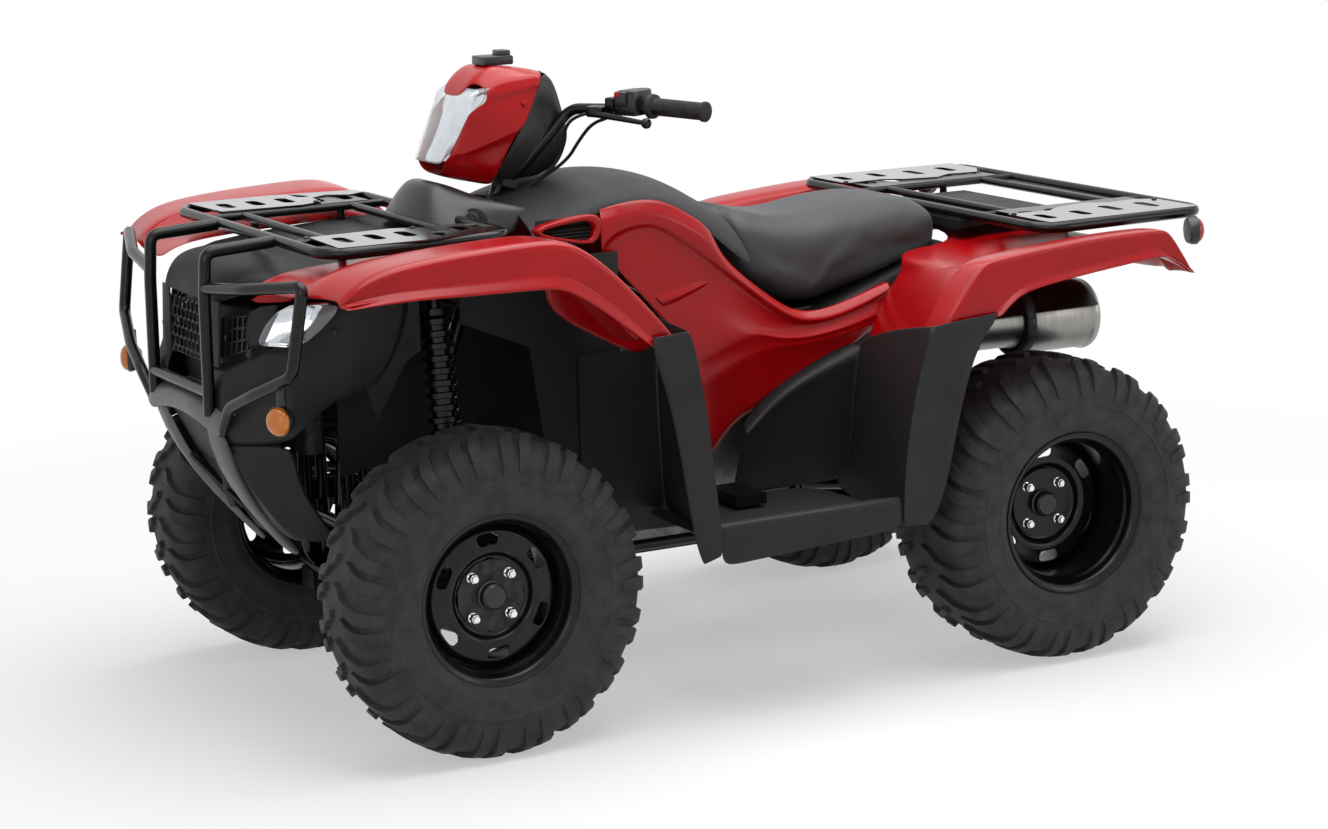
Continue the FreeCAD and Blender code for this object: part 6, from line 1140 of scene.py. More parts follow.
# %% Rims
def rim_parts(half, inset, side, y, name, body, stands_for):
    """Barrel, disc, hub plate, cap and nuts of one rim."""
    disc_x = half - inset

    def part(kind, bm, look, **rest):
        piece(kind + "_" + name, placed_wheel(bm, side, y), look, body=body, **rest)

    def disc_like(outline):
        return spun(bmesh.new(), [(disc_x + out, radius) for out, radius in outline])

    barrel = [(half - inside, radius) for inside, radius in BARREL_OUTER]
    barrel += [BARREL_MIDDLE] + [(-x, radius) for x, radius in reversed(barrel)]
    part("rim_barrel", spun(bmesh.new(), barrel), black_powder_coat, stands_for=stands_for, wall_mm=3,
         levels=1)
    disc_bm = disc_like(DISC_PROFILE)
    slots = cut_band(disc_bm, SLOT_BAND, SLOT_EVERY, SLOT_FACES, 2)
    windows = cut_band(disc_bm, WINDOW_BAND, WINDOW_EVERY, WINDOW_FACES, 1)
    part("rim_disc", disc_bm, black_powder_coat, wall_mm=4)
    part("hub_plate", disc_like(HUB_PLATE), cast_aluminium, wall_mm=3, levels=0)
    part("hub_cap", disc_like(HUB_CAP), smooth_black_abs, levels=0)
    nuts_bm = bmesh.new()
    for count in range(4):
        angle = math.pi / 4 + count * math.pi / 2
        for radius, depth, lift, steps in NUT_PARTS:
            place = (disc_x + lift, NUT_CIRCLE_MM * math.sin(angle), NUT_CIRCLE_MM * math.cos(angle))
            add_cone(nuts_bm, radius, radius * NUT_TAPER, depth, place, ALONG_X, steps)
    part("lug_nuts", nuts_bm, chrome_plate, slot_name="cast_grey", levels=0, bevel_mm=0.8)
    return slots, windows


# half width of the rim, and how far inside its edge the disc sits
FRONT_RIM, REAR_RIM = (88, 45), (115, 112)
for name, side in SIDES.items():
    front = rim_parts(*FRONT_RIM, side, FRONT_WHEEL_Y, "front_" + name, "wheel_front_" + name,
                      ["rim_front_" + name])
    rear = rim_parts(*REAR_RIM, side, REAR_WHEEL_Y, "rear_" + name, "wheels_rear", ["rims_rear"])
print("slot and window faces left out, front and rear:", front, rear)

# %% [markdown]
# ## Nose
# The nose is black grained plastic in a wedge shape: a bonnet above, cheeks below the lamps, flanks beside
# the front wheels. Each moulding is one skin, and the fold where a flank turns in is a creased column.

# %% Bonnet, cheeks and flanks
BONNET_ROWS = [
    [(0, -1046, 868), (60, -1045, 868), (128, -1038, 866), (144, -1024, 864), (174, -1000, 880),
     (212, -960, 886), (262, -900, 884)],
    [(0, -1042, 892), (60, -1041, 892), (126, -1034, 890), (144, -1016, 892), (172, -996, 902),
     (214, -952, 902), (266, -888, 894)],
    [(0, -1022, 930), (60, -1022, 929), (118, -1016, 925), (140, -1000, 921), (170, -976, 922),
     (216, -936, 914), (268, -874, 898)],
    [(0, -984, 948), (60, -984, 947), (96, -980, 942), (126, -968, 936), (162, -946, 930), (218, -908, 914),
     (268, -850, 896)],
    [(0, -900, 950), (60, -900, 949), (100, -898, 944), (134, -892, 934), (170, -876, 922),
     (220, -850, 905), (262, -820, 890)],
]
CHEEK_ROWS = [
    [(97, -1000, 744), (177, -996, 746), (236, -960, 790), (276, -925, 792), (296, -855, 885),
     (292, -815, 898), (284, -690, 898)],
    [(97, -1046, 742), (177, -1040, 744), (246, -994, 789), (300, -945, 788), (310, -868, 846),
     (305, -818, 849), (292, -690, 842)],
    [(97, -1049, 694), (173, -1044, 694), (243, -996, 716), (300, -948, 716), (307, -884, 730),
     (303, -826, 732), (285, -722, 748)],
    [(97, -1051, 648), (166, -1046, 646), (232, -998, 660), (292, -950, 664), (301, -900, 668),
     (299, -834, 692), (284, -769, 701)],
    [(100, -1049, 596), (158, -1040, 592), (198, -985, 591), (240, -924, 592), (301, -900, 666),
     (299, -834, 690), (284, -769, 699)],
]
LOWER_ROWS = [
    [(102, -1046, 598), (158, -1038, 598), (198, -983, 598), (238, -922, 598)],
    [(112, -1002, 520), (160, -996, 520), (196, -955, 520), (232, -917, 520)],
    [(120, -960, 450), (168, -956, 450), (196, -922, 450), (226, -880, 455)],
    [(120, -912, 390), (190, -908, 388), (204, -870, 386), (218, -829, 386)],
]
panel("nose_bonnet", BONNET_ROWS, (0, -950, 700), grained_black_pp, {3: 0.6}, ["front_fascia"])
panel("nose_cheeks", CHEEK_ROWS, (0, -900, 700), grained_black_pp, {1: 1.0, 3: 1.0, 5: 1.0}, levels=1)
panel("nose_lower_plates", LOWER_ROWS, (0, -900, 500), grained_black_pp, {1: 1.0}, levels=1)
print("nose: bonnet, cheeks and lower plates")

# %% Clips, bolts and small plates of the nose
HEAD_TAPER, HEAD_EDGE = 0.7, 0.2


def pressed_clips(name, places, radius, depth, look):
    """Round fastener heads: each place is a point and the way that its head faces."""
    bm = bmesh.new()
    for place, facing in places:
        add_cone(bm, radius, radius * HEAD_TAPER, depth, place, aimed(facing, "Z"))
    piece(name, bm, look, levels=0, bevel_mm=depth * HEAD_EDGE)


clip_places = []
for side in SIDES.values():
    clip_places += [((side * 308, -862, 815), (side, 0, 0)),
                    ((side * 228, -1004, 775), (side * 0.6, -0.8, 0))]
pressed_clips("nose_clips", clip_places, 8, 4, matte_tank_pp)
nose_bolts = [((side * 190, -972, 562), (side * 0.7, -0.7, 0)) for side in SIDES.values()]
pressed_clips("nose_bolts", nose_bolts, 9, 5, chrome_plate)
accent_rows = [[(216, -1000, 868), (262, -908, 868)], [(218, -996, 888), (264, -904, 889)]]
panel("nose_accents", accent_rows, (0, -900, 870), gloss_red_abs, levels=1)
border_rows = [[(93, -1042, 742), (152, -1036, 742)], [(93, -1038, 868), (152, -1030, 868)]]
panel("grille_borders", border_rows, (0, -900, 800), grained_black_pp, levels=0)
print("nose:", len(clip_places), "clips and", len(nose_bolts), "bolts")

# %% [markdown]
# ## Grille
# The middle of the grille is a honeycomb, and beside each lamp it goes on as three slanted bars of slots. A
# honeycomb starts as six-sided discs that touch: each one is inset, and its middle is left out.

# %% Honeycomb
HONEYCOMB_MM = 13
GRILLE_BAR_MM = 2.4


def honeycomb(corners, cell_mm, bar_mm):
    """An open honeycomb on the flat or bent patch between four corners, in millimetres."""
    low_left, low_right, high_left, high_right = (Vector(c) for c in corners)
    width = (low_right - low_left).length
    height = (high_left - low_left).length
    bm = bmesh.new()
    step_x, step_y = cell_mm * math.sqrt(3), cell_mm * 1.5
    for row in range(int(height / step_y) + 1):
        for column in range(int(width / step_x) + 1):
            u, v = (column + row % 2 / 2) * step_x, row * step_y
            if u > width or v > height:
                continue
            cell = bmesh.ops.create_circle(bm, cap_ends=True, segments=6, radius=cell_mm)["verts"]
            bmesh.ops.translate(bm, vec=(u, v, 0), verts=cell)
    bmesh.ops.remove_doubles(bm, verts=bm.verts, dist=cell_mm / 8)
    for vertex in bm.verts:
        u = min(1, max(0, vertex.co.x / width))
        v = min(1, max(0, vertex.co.y / height))
        low = low_left.lerp(low_right, u)
        vertex.co = low.lerp(high_left.lerp(high_right, u), v) * MM
    inset = bmesh.ops.inset_individual(bm, faces=bm.faces, thickness=bar_mm / 2 * MM)["faces"]
    bmesh.ops.delete(bm, geom=[f for f in bm.faces if f not in set(inset)], context="FACES")
    return bm


comb_bm = honeycomb([(-92, -1040, 748), (92, -1040, 748), (-92, -1036, 862), (92, -1036, 862)], HONEYCOMB_MM,
                    GRILLE_BAR_MM)
print("grille: honeycomb of", len(comb_bm.faces), "faces")
piece("grille_honeycomb", comb_bm, smooth_black_abs, ["grille"], wall_mm=4, levels=0)

# %% Slotted grilles and their backing
SLOT_COUNT = 8
SIDE_GRILLE = [[(112, -1036, 752), (196, -984, 778)], [(112, -1034, 778), (197, -982, 800)],
               [(112, -1032, 806), (198, -980, 822)], [(112, -1030, 832), (199, -978, 844)]]
slot_bm = skin([[mix(a, b, step / SLOT_COUNT) for step in range(SLOT_COUNT + 1)] for a, b in SIDE_GRILLE],
               (0, -900, 800))
slots = bmesh.ops.inset_individual(slot_bm, faces=slot_bm.faces, thickness=2.6 * MM)["faces"]
bmesh.ops.delete(slot_bm, geom=[f for f in slot_bm.faces if f not in set(slots)], context="FACES")
print("grille: slotted bars of", len(slot_bm.faces), "faces a side")
piece("grille_slots", slot_bm, smooth_black_abs, wall_mm=5, levels=0, mirrored=True)
backing_rows = [[(0, -1012, 660), (100, -1010, 660), (230, -940, 660)],
                [(0, -1012, 740), (100, -1010, 740), (215, -948, 770)],
                [(0, -1008, 868), (100, -1006, 868), (205, -945, 868)]]
panel("grille_backing", backing_rows, (0, -900, 800), grained_black_pp, {1: 1}, levels=1)

# %% [markdown]
# ## Nose lamps
# Each nose lamp is a clear pointed lens with a bright faceted bowl behind it, in a black surround. The bowl
# is the lens's own table moved back and narrowed, so that the two always fit.

# %% Nose lamps
LAMP_ROWS = [
    [(243, -1000, 790), (272, -968, 792), (298, -935, 786), (307, -895, 812), (311, -860, 846)],
    [(250, -980, 826), (277, -950, 829), (301, -918, 828), (309, -886, 840), (312, -856, 856)],
    [(256, -952, 864), (279, -925, 868), (298, -895, 872), (306, -872, 870), (311, -850, 866)],
]
panel("nose_lamp_lenses", LAMP_ROWS, (200, -880, 820), clear_lens, {0: 1, 4: 1}, ["headlamps"], wall_mm=2.5)
bowl_rows = [[(x - 16, y + 14, z) for x, y, z in row] for row in LAMP_ROWS]
for column in (1, 2, 3):
    x, y, z = bowl_rows[1][column]
    bowl_rows[1][column] = (x - 16, y + 14, z)
panel("nose_lamp_bowls", bowl_rows, (200, -880, 820), aluminised, {2: 1}, wall_mm=1.5, levels=1)
shade_rows = [[(196, -1004, 776), (196, -1000, 868)], [(240, -996, 784), (256, -948, 870)],
              [(236, -982, 784), (252, -936, 872)]]
panel("nose_lamp_surrounds", shade_rows, (200, -880, 820), grained_black_pp, levels=1)

# %% [markdown]
# ## Turn signals
# A turn signal is a round amber lens on a black bucket, with a black stalk up to the guard's tube.

# %% Turn signals
LAMP_STEPS = 24
SIGNAL_PLACE, SIGNAL_FACING = (405, -1020, 678), (0.45, -1, 0)
SIGNAL_OUTLINES = ([(18, 0), (17, 12), (13, 22), (6, 27), (0, 28)],
                   [(1, 26), (1, 29.5), (-6, 29.5), (-18, 24), (-26, 14), (-28, 0)])


def round_lamp(kind, side_name, outlines, facing, place, look, node):
    """Add a round lens, and return its bucket as a bmesh: both are outlines spun about X and aimed."""
    side = SIDES[side_name]
    turn = aimed((side * facing[0], *facing[1:]))
    lens_bm, bucket_bm = (placed(spun(bmesh.new(), outline, LAMP_STEPS), turn, (side * place[0], *place[1:]))
                          for outline in outlines)
    piece(kind + "_lens_" + side_name, lens_bm, look, left_only(side, node), levels=1)
    return bucket_bm


for side_name, side in SIDES.items():
    bucket_bm = round_lamp("turn", side_name, SIGNAL_OUTLINES, SIGNAL_FACING, SIGNAL_PLACE, amber_lens,
                           "turn_signals")
    add_cone(bucket_bm, 9, 8, 36, (side * 400, -1012, 718))
    piece("turn_bucket_" + side_name, bucket_bm, smooth_black_abs, levels=0)
print("turn signals at", SIGNAL_PLACE)

# %% [markdown]
# ## Chin plate
# The chin is satin grey plastic: a ledge below the guard's uprights that narrows into two bars, which meet
# the skid plate. A black inset with a cross brace closes the space between the bars.

# %% Chin plate and its inset
CHIN_ROWS = [
    [(0, -1010, 694), (70, -1010, 693), (140, -1008, 684), (200, -1004, 662)],
    [(0, -1062, 680), (70, -1062, 678), (142, -1060, 668), (202, -1052, 650)],
    [(0, -1070, 660), (70, -1070, 658), (142, -1068, 650), (204, -1060, 632)],
    [(0, -1066, 640), (66, -1066, 636), (130, -1064, 626), (190, -1056, 610)],
]
BAR_ROWS = [
    [(112, -1056, 648), (124, -1064, 642), (184, -1056, 624), (176, -1038, 624)],
    [(92, -1024, 548), (102, -1035, 542), (150, -1018, 528), (144, -1002, 528)],
    [(78, -966, 462), (88, -978, 456), (130, -963, 444), (124, -948, 444)],
    [(66, -905, 384), (76, -914, 378), (110, -908, 380), (104, -894, 384)],
    [(58, -870, 345), (68, -878, 338), (98, -872, 338), (92, -858, 343)],
]
panel("chin_ledge", CHIN_ROWS, (0, -980, 600), satin_grey_pp, {2: 0.8}, ["front_bumper"], wall_mm=4)
panel("chin_bars", BAR_ROWS, (110, -900, 480), satin_grey_pp, {1: 0.9, 2: 0.9}, wall_mm=4, levels=1)
inset_rows = [[(0, -1048, 640), (96, -1044, 632)], [(0, -1000, 540), (84, -998, 536)],
              [(0, -945, 455), (74, -944, 454)], [(0, -892, 372), (66, -892, 372)]]
panel("chin_inset", inset_rows, (0, -900, 480), grained_black_pp, levels=0)
brace_bm = bmesh.new()
for ends in (((88, -1012, 530), (0, -976, 470)), ((0, -976, 470), (66, -938, 420))):
    first, last = (Vector(end) for end in ends)
    add_box(brace_bm, (12, 8, (last - first).length), (first + last) / 2, aimed(last - first, "Z"))
piece("chin_brace", brace_bm, grained_black_pp, levels=0, bevel_mm=1.5, mirrored=True)
print("chin: ledge, bars, inset and brace")

# %% [markdown]
# Behind the flanks an inner wall on each side hides the radiator's space from the wheels.

# %% Inner walls
INNER_WALL_X = 160
inner_wall_rows = [[(INNER_WALL_X, y, low), (INNER_WALL_X, y, high)]
                   for y, low, high in ((-800, 500, 800), (-560, 540, 840))]
panel("nose_inner_walls", inner_wall_rows, (0, -680, 660), grained_black_pp, levels=0)
print("inner walls", 2 * INNER_WALL_X, "mm apart")

# %% [markdown]
# ## Brush guard
# The guard is bent steel tube: two uprights that rise from the chin and bend back to the rack, a loop
# outside each one whose lower run comes in and down to the chin, and a cross tube above the ledge. Each
# bend is a corner with a point before and after it, so that the spline stays straight between the bends.

# %% Guard tubes
GUARD_RADIUS_MM = 12
BEND_MM = 38


def bent(corners, bend_mm):
    """The corners of a run with a point just before and after each inner one."""
    run = [corners[0]]
    for before, corner, after in zip(corners, corners[1:], corners[2:]):
        here = Vector(corner)
        for other in (before, after):
            reach = Vector(other) - here
            near = here + reach.normalized() * min(bend_mm, reach.length * 0.45)
            run.append(tuple(near))
        run.insert(-1, corner)
    return run + [corners[-1]]


GUARD_RUNS = [
    [(148, -1058, 652), (148, -1056, 880), (148, -1050, 964), (148, -912, 973)],
    [(148, -1054, 896), (300, -1036, 912), (462, -984, 932), (450, -1008, 768), (330, -1040, 718),
     (240, -1052, 682), (176, -1046, 622)],
]
guard_runs = [bent([(side * x, y, z) for x, y, z in run], BEND_MM) for side in SIDES.values()
              for run in GUARD_RUNS]
guard_runs.append([(-148, -1057, 696), (0, -1057, 696), (148, -1057, 696)])
tubes("guard_tubes", guard_runs, GUARD_RADIUS_MM, black_powder_coat, ["brush_guard"])
print("guard:", len(guard_runs), "tubes")

# %% [markdown]
# ## Footwells
# A footwell is a moulded tray beside the engine. A panel stands behind the front wheel, a floor with a deep
# rolled lip carries the foot, a wall closes it below the side cover, and a panel stands before the rear
# wheel. Both panels end outside in a band that faces sideways, so each one is a skin that turns a sharp
# corner there.

# %% Footwell bands, panels, floor and wall
OUTSIDE_X = 598
FOOT_INNER_X = 258
# each row: the band's front edge and rear edge as (y, z), then the panel's inner end as (y, z)
FRONT_BAND = [((-336, 790), (-262, 794), (-150, 770)), ((-334, 765), (-256, 770), (-150, 740)),
              ((-308, 685), (-240, 694), (-150, 680)), ((-285, 586), (-224, 592), (-150, 586)),
              ((-267, 466), (-212, 468), (-146, 466)), ((-253, 386), (-202, 388), (-142, 392)),
              ((-237, 334), (-200, 346), (-140, 372))]
REAR_BAND = [((276, 344), (218, 346), (250, 372)), ((300, 396), (220, 396), (300, 392)),
             ((318, 442), (222, 442), (306, 442)), ((341, 549), (234, 542), (316, 540)),
             ((372, 655), (256, 640), (326, 630)), ((408, 726), (282, 714), (332, 652)),
             ((450, 762), (290, 744), (336, 664))]
FLOOR_STATIONS = [(-200, 320), (-140, 324), (-20, 330), (110, 338), (222, 342)]
FLOOR_LINE = [(250, 374), (480, 372), (528, 376), (552, 402), (586, 409), (597, 404), (598, 370)]
WALL_EDGE = [[(262, 16, 374), (262, 80, 374), (262, 190, 374), (262, 326, 374)],
             [(262, 30, 420), (250, 80, 420), (250, 190, 420), (262, 328, 420)],
             [(262, 44, 470), (250, 96, 480), (250, 190, 510), (262, 332, 540)],
             [(262, 52, 494), (256, 112, 534), (252, 188, 578), (262, 340, 620)],
             [(262, 58, 506), (262, 112, 552), (262, 185, 596), (262, 350, 652)],
             [(222, 60, 512), (222, 112, 560), (222, 185, 604), (222, 336, 664)]]


def band_rows(band, side):
    """Rows from the panel's inner end out to the corner, and round it to the band's far edge."""
    rows = []
    for far, corner, inner in band:
        middle = mix(far, corner, 0.5)
        roll = (far[0] + (6 if far[0] < corner[0] else -6), far[1])
        line = [(FOOT_INNER_X, *inner), (420, *mix(inner, corner, 0.6)), (OUTSIDE_X - 8, *corner),
                (OUTSIDE_X, *corner), (OUTSIDE_X, *middle), (OUTSIDE_X, *far), (OUTSIDE_X - 9, *roll)]
        rows.append([(side * x, y, z) for x, y, z in line])
    return rows


for side_name, side in SIDES.items():
    centre = (side * 300, 20, 560)
    panel("footwell_front_" + side_name, band_rows(FRONT_BAND, side), centre, grained_black_pp,
          {2: 0.6, 3: 1.0, 5: 0.8}, ["footwell_" + side_name], wall_mm=3.5, mirrored=False)
    panel("footwell_rear_" + side_name, band_rows(REAR_BAND, side), centre, grained_black_pp,
          {2: 0.6, 3: 1.0, 5: 0.8}, wall_mm=3.5, mirrored=False)
    floor_rows = [[(side * x, y, z) for x, z in FLOOR_LINE + [(OUTSIDE_X - 4, low)]]
                  for y, low in FLOOR_STATIONS]
    panel("footwell_floor_" + side_name, floor_rows, (side * 420, 20, 300), grained_black_pp,
          {3: 0.4, 5: 0.5}, wall_mm=3.5, mirrored=False)
    wall_rows = [[(side * x, y, z) for x, y, z in row] for row in WALL_EDGE]
    panel("footwell_wall_" + side_name, wall_rows, (0, 180, 500), grained_black_pp, {0: 1.0},
          mirrored=False)
    clips = [((side * (OUTSIDE_X + 1), y, z), (side, 0, 0)) for y, z in ((-284, 742), (392, 690), (330, 715))]
    pressed_clips("footwell_clips_" + side_name, clips, 9, 4, matte_tank_pp)
print("footwells: front and rear panels with bands", OUTSIDE_X, "mm out, floor and wall")

# %% [markdown]
# Inside each footwell's front panel a flat mudguard goes on down to the frame, behind the front wheel's
# reach.

# %% Lower mudguards
MUDGUARD_LEVELS = (330, 420, 480, 560, 640, 700)
mudguard_rows = [[(246, -318, z), (252, -230, z), (268, -100, z)] for z in MUDGUARD_LEVELS]
panel("lower_mudguards", mudguard_rows, (0, -230, 500), grained_black_pp, levels=0)
print("mudguards from z", MUDGUARD_LEVELS[0], "to", MUDGUARD_LEVELS[-1])

# %% [markdown]
# ## Seat base
# Below the seat a black moulding closes the space between the cushion, the side covers and the rear fender.

# %% Seat base
BASE_STATIONS = [(110, 770, 700), (170, 726, 660), (247, 705, 640), (330, 735, 650), (430, 772, 660),
                 (520, 806, 690), (618, 838, 740)]
base_rows = [[(0, y, high - 8), (120, y, high - 4), (160, y, high - 6), (172, y, high - 26), (176, y, low)]
             for y, high, low in BASE_STATIONS]
panel("seat_base", base_rows, (0, 300, 500), grained_black_pp)
print("seat base over", BASE_STATIONS[0][0], "to", BASE_STATIONS[-1][0], "mm")

# %% [markdown]
# ## Muffler
# The muffler is a brushed stainless can with a rolled end rim, a narrower front part, a clamp band between
# them and a dark heat shield above. The turned parts are outlines spun about the can's own axis, and the
# shield is a bent skin.

# %% Muffler can, clamp and heat shield
MUFFLER_AXIS = (252, 662)
CAN_OUTLINE = [
    (536, 24), (540, 38), (560, 50), (600, 53), (690, 54), (712, 60), (730, 68), (744, 71), (800, 72),
    (872, 72), (880, 75), (888, 76), (894, 74), (898, 66), (892, 60), (884, 30), (886, 20), (904, 18),
    (904, 14), (880, 13),
]
# where the shield is how far from the axis, and its lines in degrees from the top
SHIELD_REACH = ((560, 60), (580, 66), (690, 70), (760, 80), (840, 84), (884, 82), (894, 74))
SHIELD_TURNS = (-50, -20, 10, 40, 70)
CLAMP_OUTLINE = [(706, 64), (706, 72), (709, 75), (729, 75), (732, 72), (732, 64)]


def on_muffler_axis(outline, steps):
    """An outline spun about the axis of the can."""
    bm = placed(spun(bmesh.new(), outline, steps), Matrix.Rotation(math.pi / 2, 3, "Z"),
                (MUFFLER_AXIS[0], 0, MUFFLER_AXIS[1]))
    bmesh.ops.recalc_face_normals(bm, faces=bm.faces)
    return bm


piece("muffler_can", on_muffler_axis(CAN_OUTLINE, 64), brushed_stainless, ["exhaust"], levels=0)
piece("muffler_clamp", on_muffler_axis(CLAMP_OUTLINE, 48), cast_iron, slot_name="stainless", levels=0,
      bevel_mm=0.8)
shield_rows = []
for y, reach in SHIELD_REACH:
    shield_rows.append([(MUFFLER_AXIS[0] + reach * math.sin(math.radians(turn)), y,
                         MUFFLER_AXIS[1] + reach * math.cos(math.radians(turn))) for turn in SHIELD_TURNS])
panel("muffler_heat_shield", shield_rows, (MUFFLER_AXIS[0], 740, MUFFLER_AXIS[1]), black_powder_coat,
      {0: 1, 4: 1}, wall_mm=2, mirrored=False)
print("muffler: can, clamp and heat shield, from y", CAN_OUTLINE[0][0], "to", CAN_OUTLINE[-2][0])

# %% [markdown]
# The header pipe is bent steel tube from the cylinder's side to the can. A curve with a round section
# follows its route, with a point before and after each bend so that the runs between them stay straight.

# %% Header pipe
PIPE_ROUTE = [(-78, -100, 666), (-112, -100, 666), (-146, -98, 666), (-147, -60, 666), (-147, 20, 666),
              (-147, 180, 666), (-140, 270, 664), (-60, 360, 662), (160, 470, 660), (240, 516, 660),
              (252, 548, 661), (252, 600, 662)]
PIPE_RADIUS_MM = 19
tubes("header_pipe", [PIPE_ROUTE], PIPE_RADIUS_MM, brushed_stainless)
print("header pipe through", len(PIPE_ROUTE), "points")

# %% [markdown]
# ## Rack plates
# The tubes of both racks stay as the construction made them. The pressed steel plates between them are new:
# each is a flat sheet with long holes. Filled outlines make the sheet, with every hole as an inner loop
# that the fill leaves open, and Solidify gives it its thickness. The coat shines here, so the plates look
# pale.

# %% Rack plates with long holes
RACK_PLATE_MM = 3
# half lengths of the holes near the middle and further out than the limit, and half their width
LONG_HOLE, SHORT_HOLE, HOLE_LIMIT, HOLE_HALF_WIDTH = 38, 34, 390, 13


def long_hole(centre, half_length, half_width, steps=6):
    """The outline of a hole with round ends, long across the vehicle."""
    outline = []
    for end, start in ((1, -90), (-1, 90)):
        for step in range(steps + 1):
            angle = math.radians(start + 180 * step / steps)
            outline.append((centre[0] + end * (half_length - half_width) + half_width * math.cos(angle),
                            centre[1] + half_width * math.sin(angle)))
    return outline


def punched_sheet(outline, holes, height):
    """A flat sheet from an outline, open at every hole."""
    bm = bmesh.new()
    for loop in [outline] + holes:
        corners = [bm.verts.new((x * MM, y * MM, height * MM)) for x, y in loop]
        for first, last in zip(corners, corners[1:] + corners[:1]):
            bm.edges.new((first, last))
    bmesh.ops.triangle_fill(bm, edges=bm.edges, use_beauty=True)
    gone = []
    for face in bm.faces:
        centre = face.calc_center_median() / MM
        for hole in holes:
            xs, ys = [p[0] for p in hole], [p[1] for p in hole]
            if min(xs) < centre.x < max(xs) and min(ys) < centre.y < max(ys):
                gone.append(face)
                break
    bmesh.ops.delete(bm, geom=gone, context="FACES_ONLY")
    for face in bm.faces:
        if face.normal.z < 0:
            face.normal_flip()
    return bm


# the plates of the left half, as outlines and hole centres; the mirror gives the right half
PLATES = {
    "front_rack_plate": ([(392, -880), (396, -700), (364, -520), (322, -520), (300, -560), (330, -600),
                          (306, -640), (236, -650), (216, -700), (226, -870)],
                         [(300, -832), (300, -768), (300, -704), (362, -650)], 986),
    "rear_rack_plate": ([(476, 660), (474, 760), (468, 1040), (330, 1040), (300, 1000), (310, 930),
                         (280, 880), (300, 800), (330, 760), (320, 660)],
                        [(398, 700), (398, 790), (380, 880), (384, 970)], 904),
}
for name, (outline, centres, height) in PLATES.items():
    holes = [long_hole(centre, LONG_HOLE if centre[0] < HOLE_LIMIT else SHORT_HOLE, HOLE_HALF_WIDTH)
             for centre in centres]
    sheet_bm = punched_sheet(outline, holes, height)
    print(name, "of", len(sheet_bm.faces), "faces, holes", len(holes))
    piece(name, sheet_bm, black_gloss_coat, wall_mm=RACK_PLATE_MM, levels=0, mirrored=True)
rack_bolts = [((side * x, y, z), (0, 0, 1)) for side in SIDES.values()
              for x, y, z in ((238, -880, 987), (238, -660, 987), (332, 668, 905), (332, 1030, 905))]
pressed_clips("rack_bolts", rack_bolts, 7, 4, black_powder_coat)
print("racks:", len(rack_bolts), "bolts")

# %% [markdown]
# ## Grips, switches and levers
# A grip is moulded rubber with a collar, fine rings and a knob at its end: one outline, spun about the bar.
# The switch boxes and the lever's perches are blocks with rounded edges, with a red button on the left. The
# lever is a slim round bar that ends in a ball.

# %% Grips and switches
GRIP_END = (400, -98, 1180)
GRIP_START = (262, -160, 1186)
grip_outline = [(0, 0), (0, 14), (3, 20), (9, 20), (12, 16)]
grip_outline += [(16 + 8 * k + part, radius) for k in range(13) for part, radius in
                 ((0, 15.5), (2, 17.5), (5, 17.5), (7, 15.5))]
grip_outline += [(124, 17), (128, 24), (136, 25), (139, 22), (140, 11)]


def laid_along(bm, start, end):
    """Turn a part spun about X so that it runs from one place towards another, in millimetres."""
    placed(bm, aimed(Vector(end) - Vector(start)), start)
    bmesh.ops.recalc_face_normals(bm, faces=bm.faces)
    return bm


LEVER_OUTLINE = [(0, 0), (0, 7), (30, 6.5), (80, 5.5), (118, 5), (122, 9), (128, 11), (134, 9), (138, 0)]
# size and place of each block on the left
SWITCH_BLOCKS = (((46, 56, 50), (240, -172, 1192)), ((30, 26, 30), (238, -196, 1200)),
                 ((26, 22, 8), (236, -150, 1214)))
PERCH_BLOCKS = (((22, 44, 34), (196, -192, 1184)), ((40, 34, 22), (192, -228, 1174)))
bar_turn = math.atan2(GRIP_END[1] - GRIP_START[1], GRIP_END[0] - GRIP_START[0])


def blocks(parts, side):
    """Boxes that lie along the bar."""
    bm = bmesh.new()
    for size, (x, y, z) in parts:
        add_box(bm, size, (side * x, y, z), Matrix.Rotation(side * bar_turn, 3, "Z"))
    return bm


for side_name, side in SIDES.items():
    end, start = ((side * x, y, z) for x, y, z in (GRIP_END, GRIP_START))
    piece("grip_" + side_name, laid_along(spun(bmesh.new(), grip_outline, 32), end, start), grip_rubber,
          left_only(side, "grips"), "steering", levels=0)
    piece("switch_box_" + side_name, blocks(SWITCH_BLOCKS, side), smooth_black_abs,
          left_only(side, "controls"), "steering", levels=0, bevel_mm=5)
    piece("lever_perch_" + side_name, blocks(PERCH_BLOCKS, side), black_powder_coat, body="steering",
          levels=0, bevel_mm=4)
    lever_bm = laid_along(spun(bmesh.new(), LEVER_OUTLINE, 16), (side * 205, -238, 1170),
                          (side * 330, -190, 1158))
    piece("brake_lever_" + side_name, lever_bm, black_powder_coat, body="steering", levels=0)
button_bm = blocks([((16, 10, 12), (236, -206, 1208))], SIDES["left"])
piece("stop_button", button_bm, gloss_red_abs, body="steering", levels=0, bevel_mm=3)
print("controls: grips, switch boxes, perches, levers and a button")

# %% [markdown]
# Three lines run from the controls down to the column. Each is a cable of fixed length held by the bar and
# the column, modelled along its real route as a smooth spline with a round section.

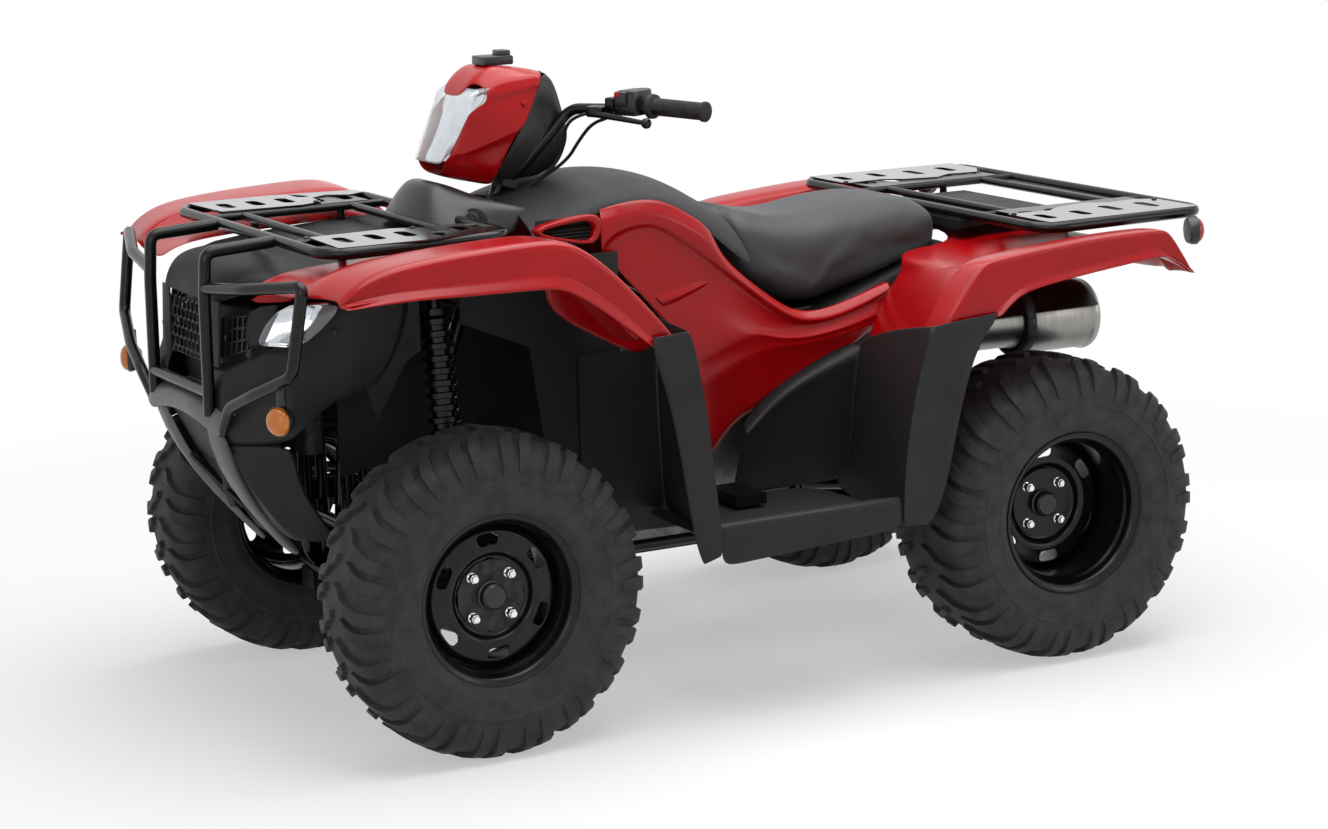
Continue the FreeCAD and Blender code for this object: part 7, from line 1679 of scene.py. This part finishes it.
# %% Control cables
CABLE_ROUTES = {
    "brake_cable_left": [(186, -240, 1172), (160, -262, 1166), (128, -272, 1140), (104, -262, 1096),
                         (80, -280, 1050), (50, -330, 1012), (16, -384, 962)],
    "switch_cable_left": [(222, -182, 1176), (192, -206, 1160), (150, -222, 1146), (112, -232, 1110),
                          (76, -244, 1064), (44, -310, 1020), (14, -384, 968)],
}
CABLE_ROUTES["throttle_cable_right"] = [(-x, y, z) for x, y, z in CABLE_ROUTES["switch_cable_left"]]
CABLE_RADIUS_MM = 3.5
for name, route in CABLE_ROUTES.items():
    tubes(name, [route], CABLE_RADIUS_MM, grip_rubber, body="steering")
print("cables:", list(CABLE_ROUTES))

# %% [markdown]
# ## Console
# In front of the tank a black moulding rises round the steering column. Its front is a smooth sloping face,
# and a round knob sits on its left. It is a skin through lines that run from front to back.

# %% Console cover and knob
CONSOLE_ROWS = [
    [(0, -590, 962), (60, -588, 962), (118, -574, 960), (146, -540, 954), (150, -470, 946),
     (152, -400, 940)],
    [(0, -584, 990), (58, -580, 990), (108, -562, 982), (138, -528, 972), (146, -462, 962),
     (150, -396, 950)],
    [(0, -562, 1030), (54, -556, 1028), (88, -540, 1020), (124, -506, 1000), (138, -450, 986),
     (146, -380, 970)],
    [(0, -545, 1046), (48, -538, 1044), (76, -520, 1038), (112, -484, 1016), (130, -436, 1002),
     (140, -366, 984)],
    [(0, -520, 1044), (46, -512, 1042), (72, -496, 1036), (102, -462, 1018), (118, -420, 1006),
     (130, -356, 988)],
]
panel("console_cover", CONSOLE_ROWS, (0, -440, 900), smooth_black_abs, {3: 0.3}, ["console"])
knob_bm = spun(bmesh.new(), [(14, 0), (14, 12), (12, 15), (0, 16), (0, 24), (-6, 25), (-14, 25)], 32)
placed(knob_bm, aimed((0.75, -0.6, 0.25)), (140, -486, 974))
piece("console_knob", knob_bm, grained_black_pp, levels=0)
print("console: cover and knob")

# %% [markdown]
# ## Tail lamps
# A tail lamp is a round red lens in a black bucket on the rear fender's corner, the same form as the turn
# signals in front.

# %% Tail lamps
TAIL_PLACE, TAIL_FACING = (508, 1004, 860), (0.35, 1, 0)
TAIL_OUTLINES = (
    [(17, 0), (16, 12), (12, 22), (5, 27), (0, 28)], [(1, 26), (1, 30), (-8, 30), (-18, 26), (-20, 0)],
)
for side_name in SIDES:
    bucket_bm = round_lamp("tail", side_name, TAIL_OUTLINES, TAIL_FACING, TAIL_PLACE, red_lens, "tail_lamps")
    piece("tail_bucket_" + side_name, bucket_bm, smooth_black_abs, levels=0)
print("tail lamps at", TAIL_PLACE)

# %% [markdown]
# ## Finish
# The dressed bike may only be a little larger than the construction.

# %% Update the scene
bpy.context.view_layer.update()
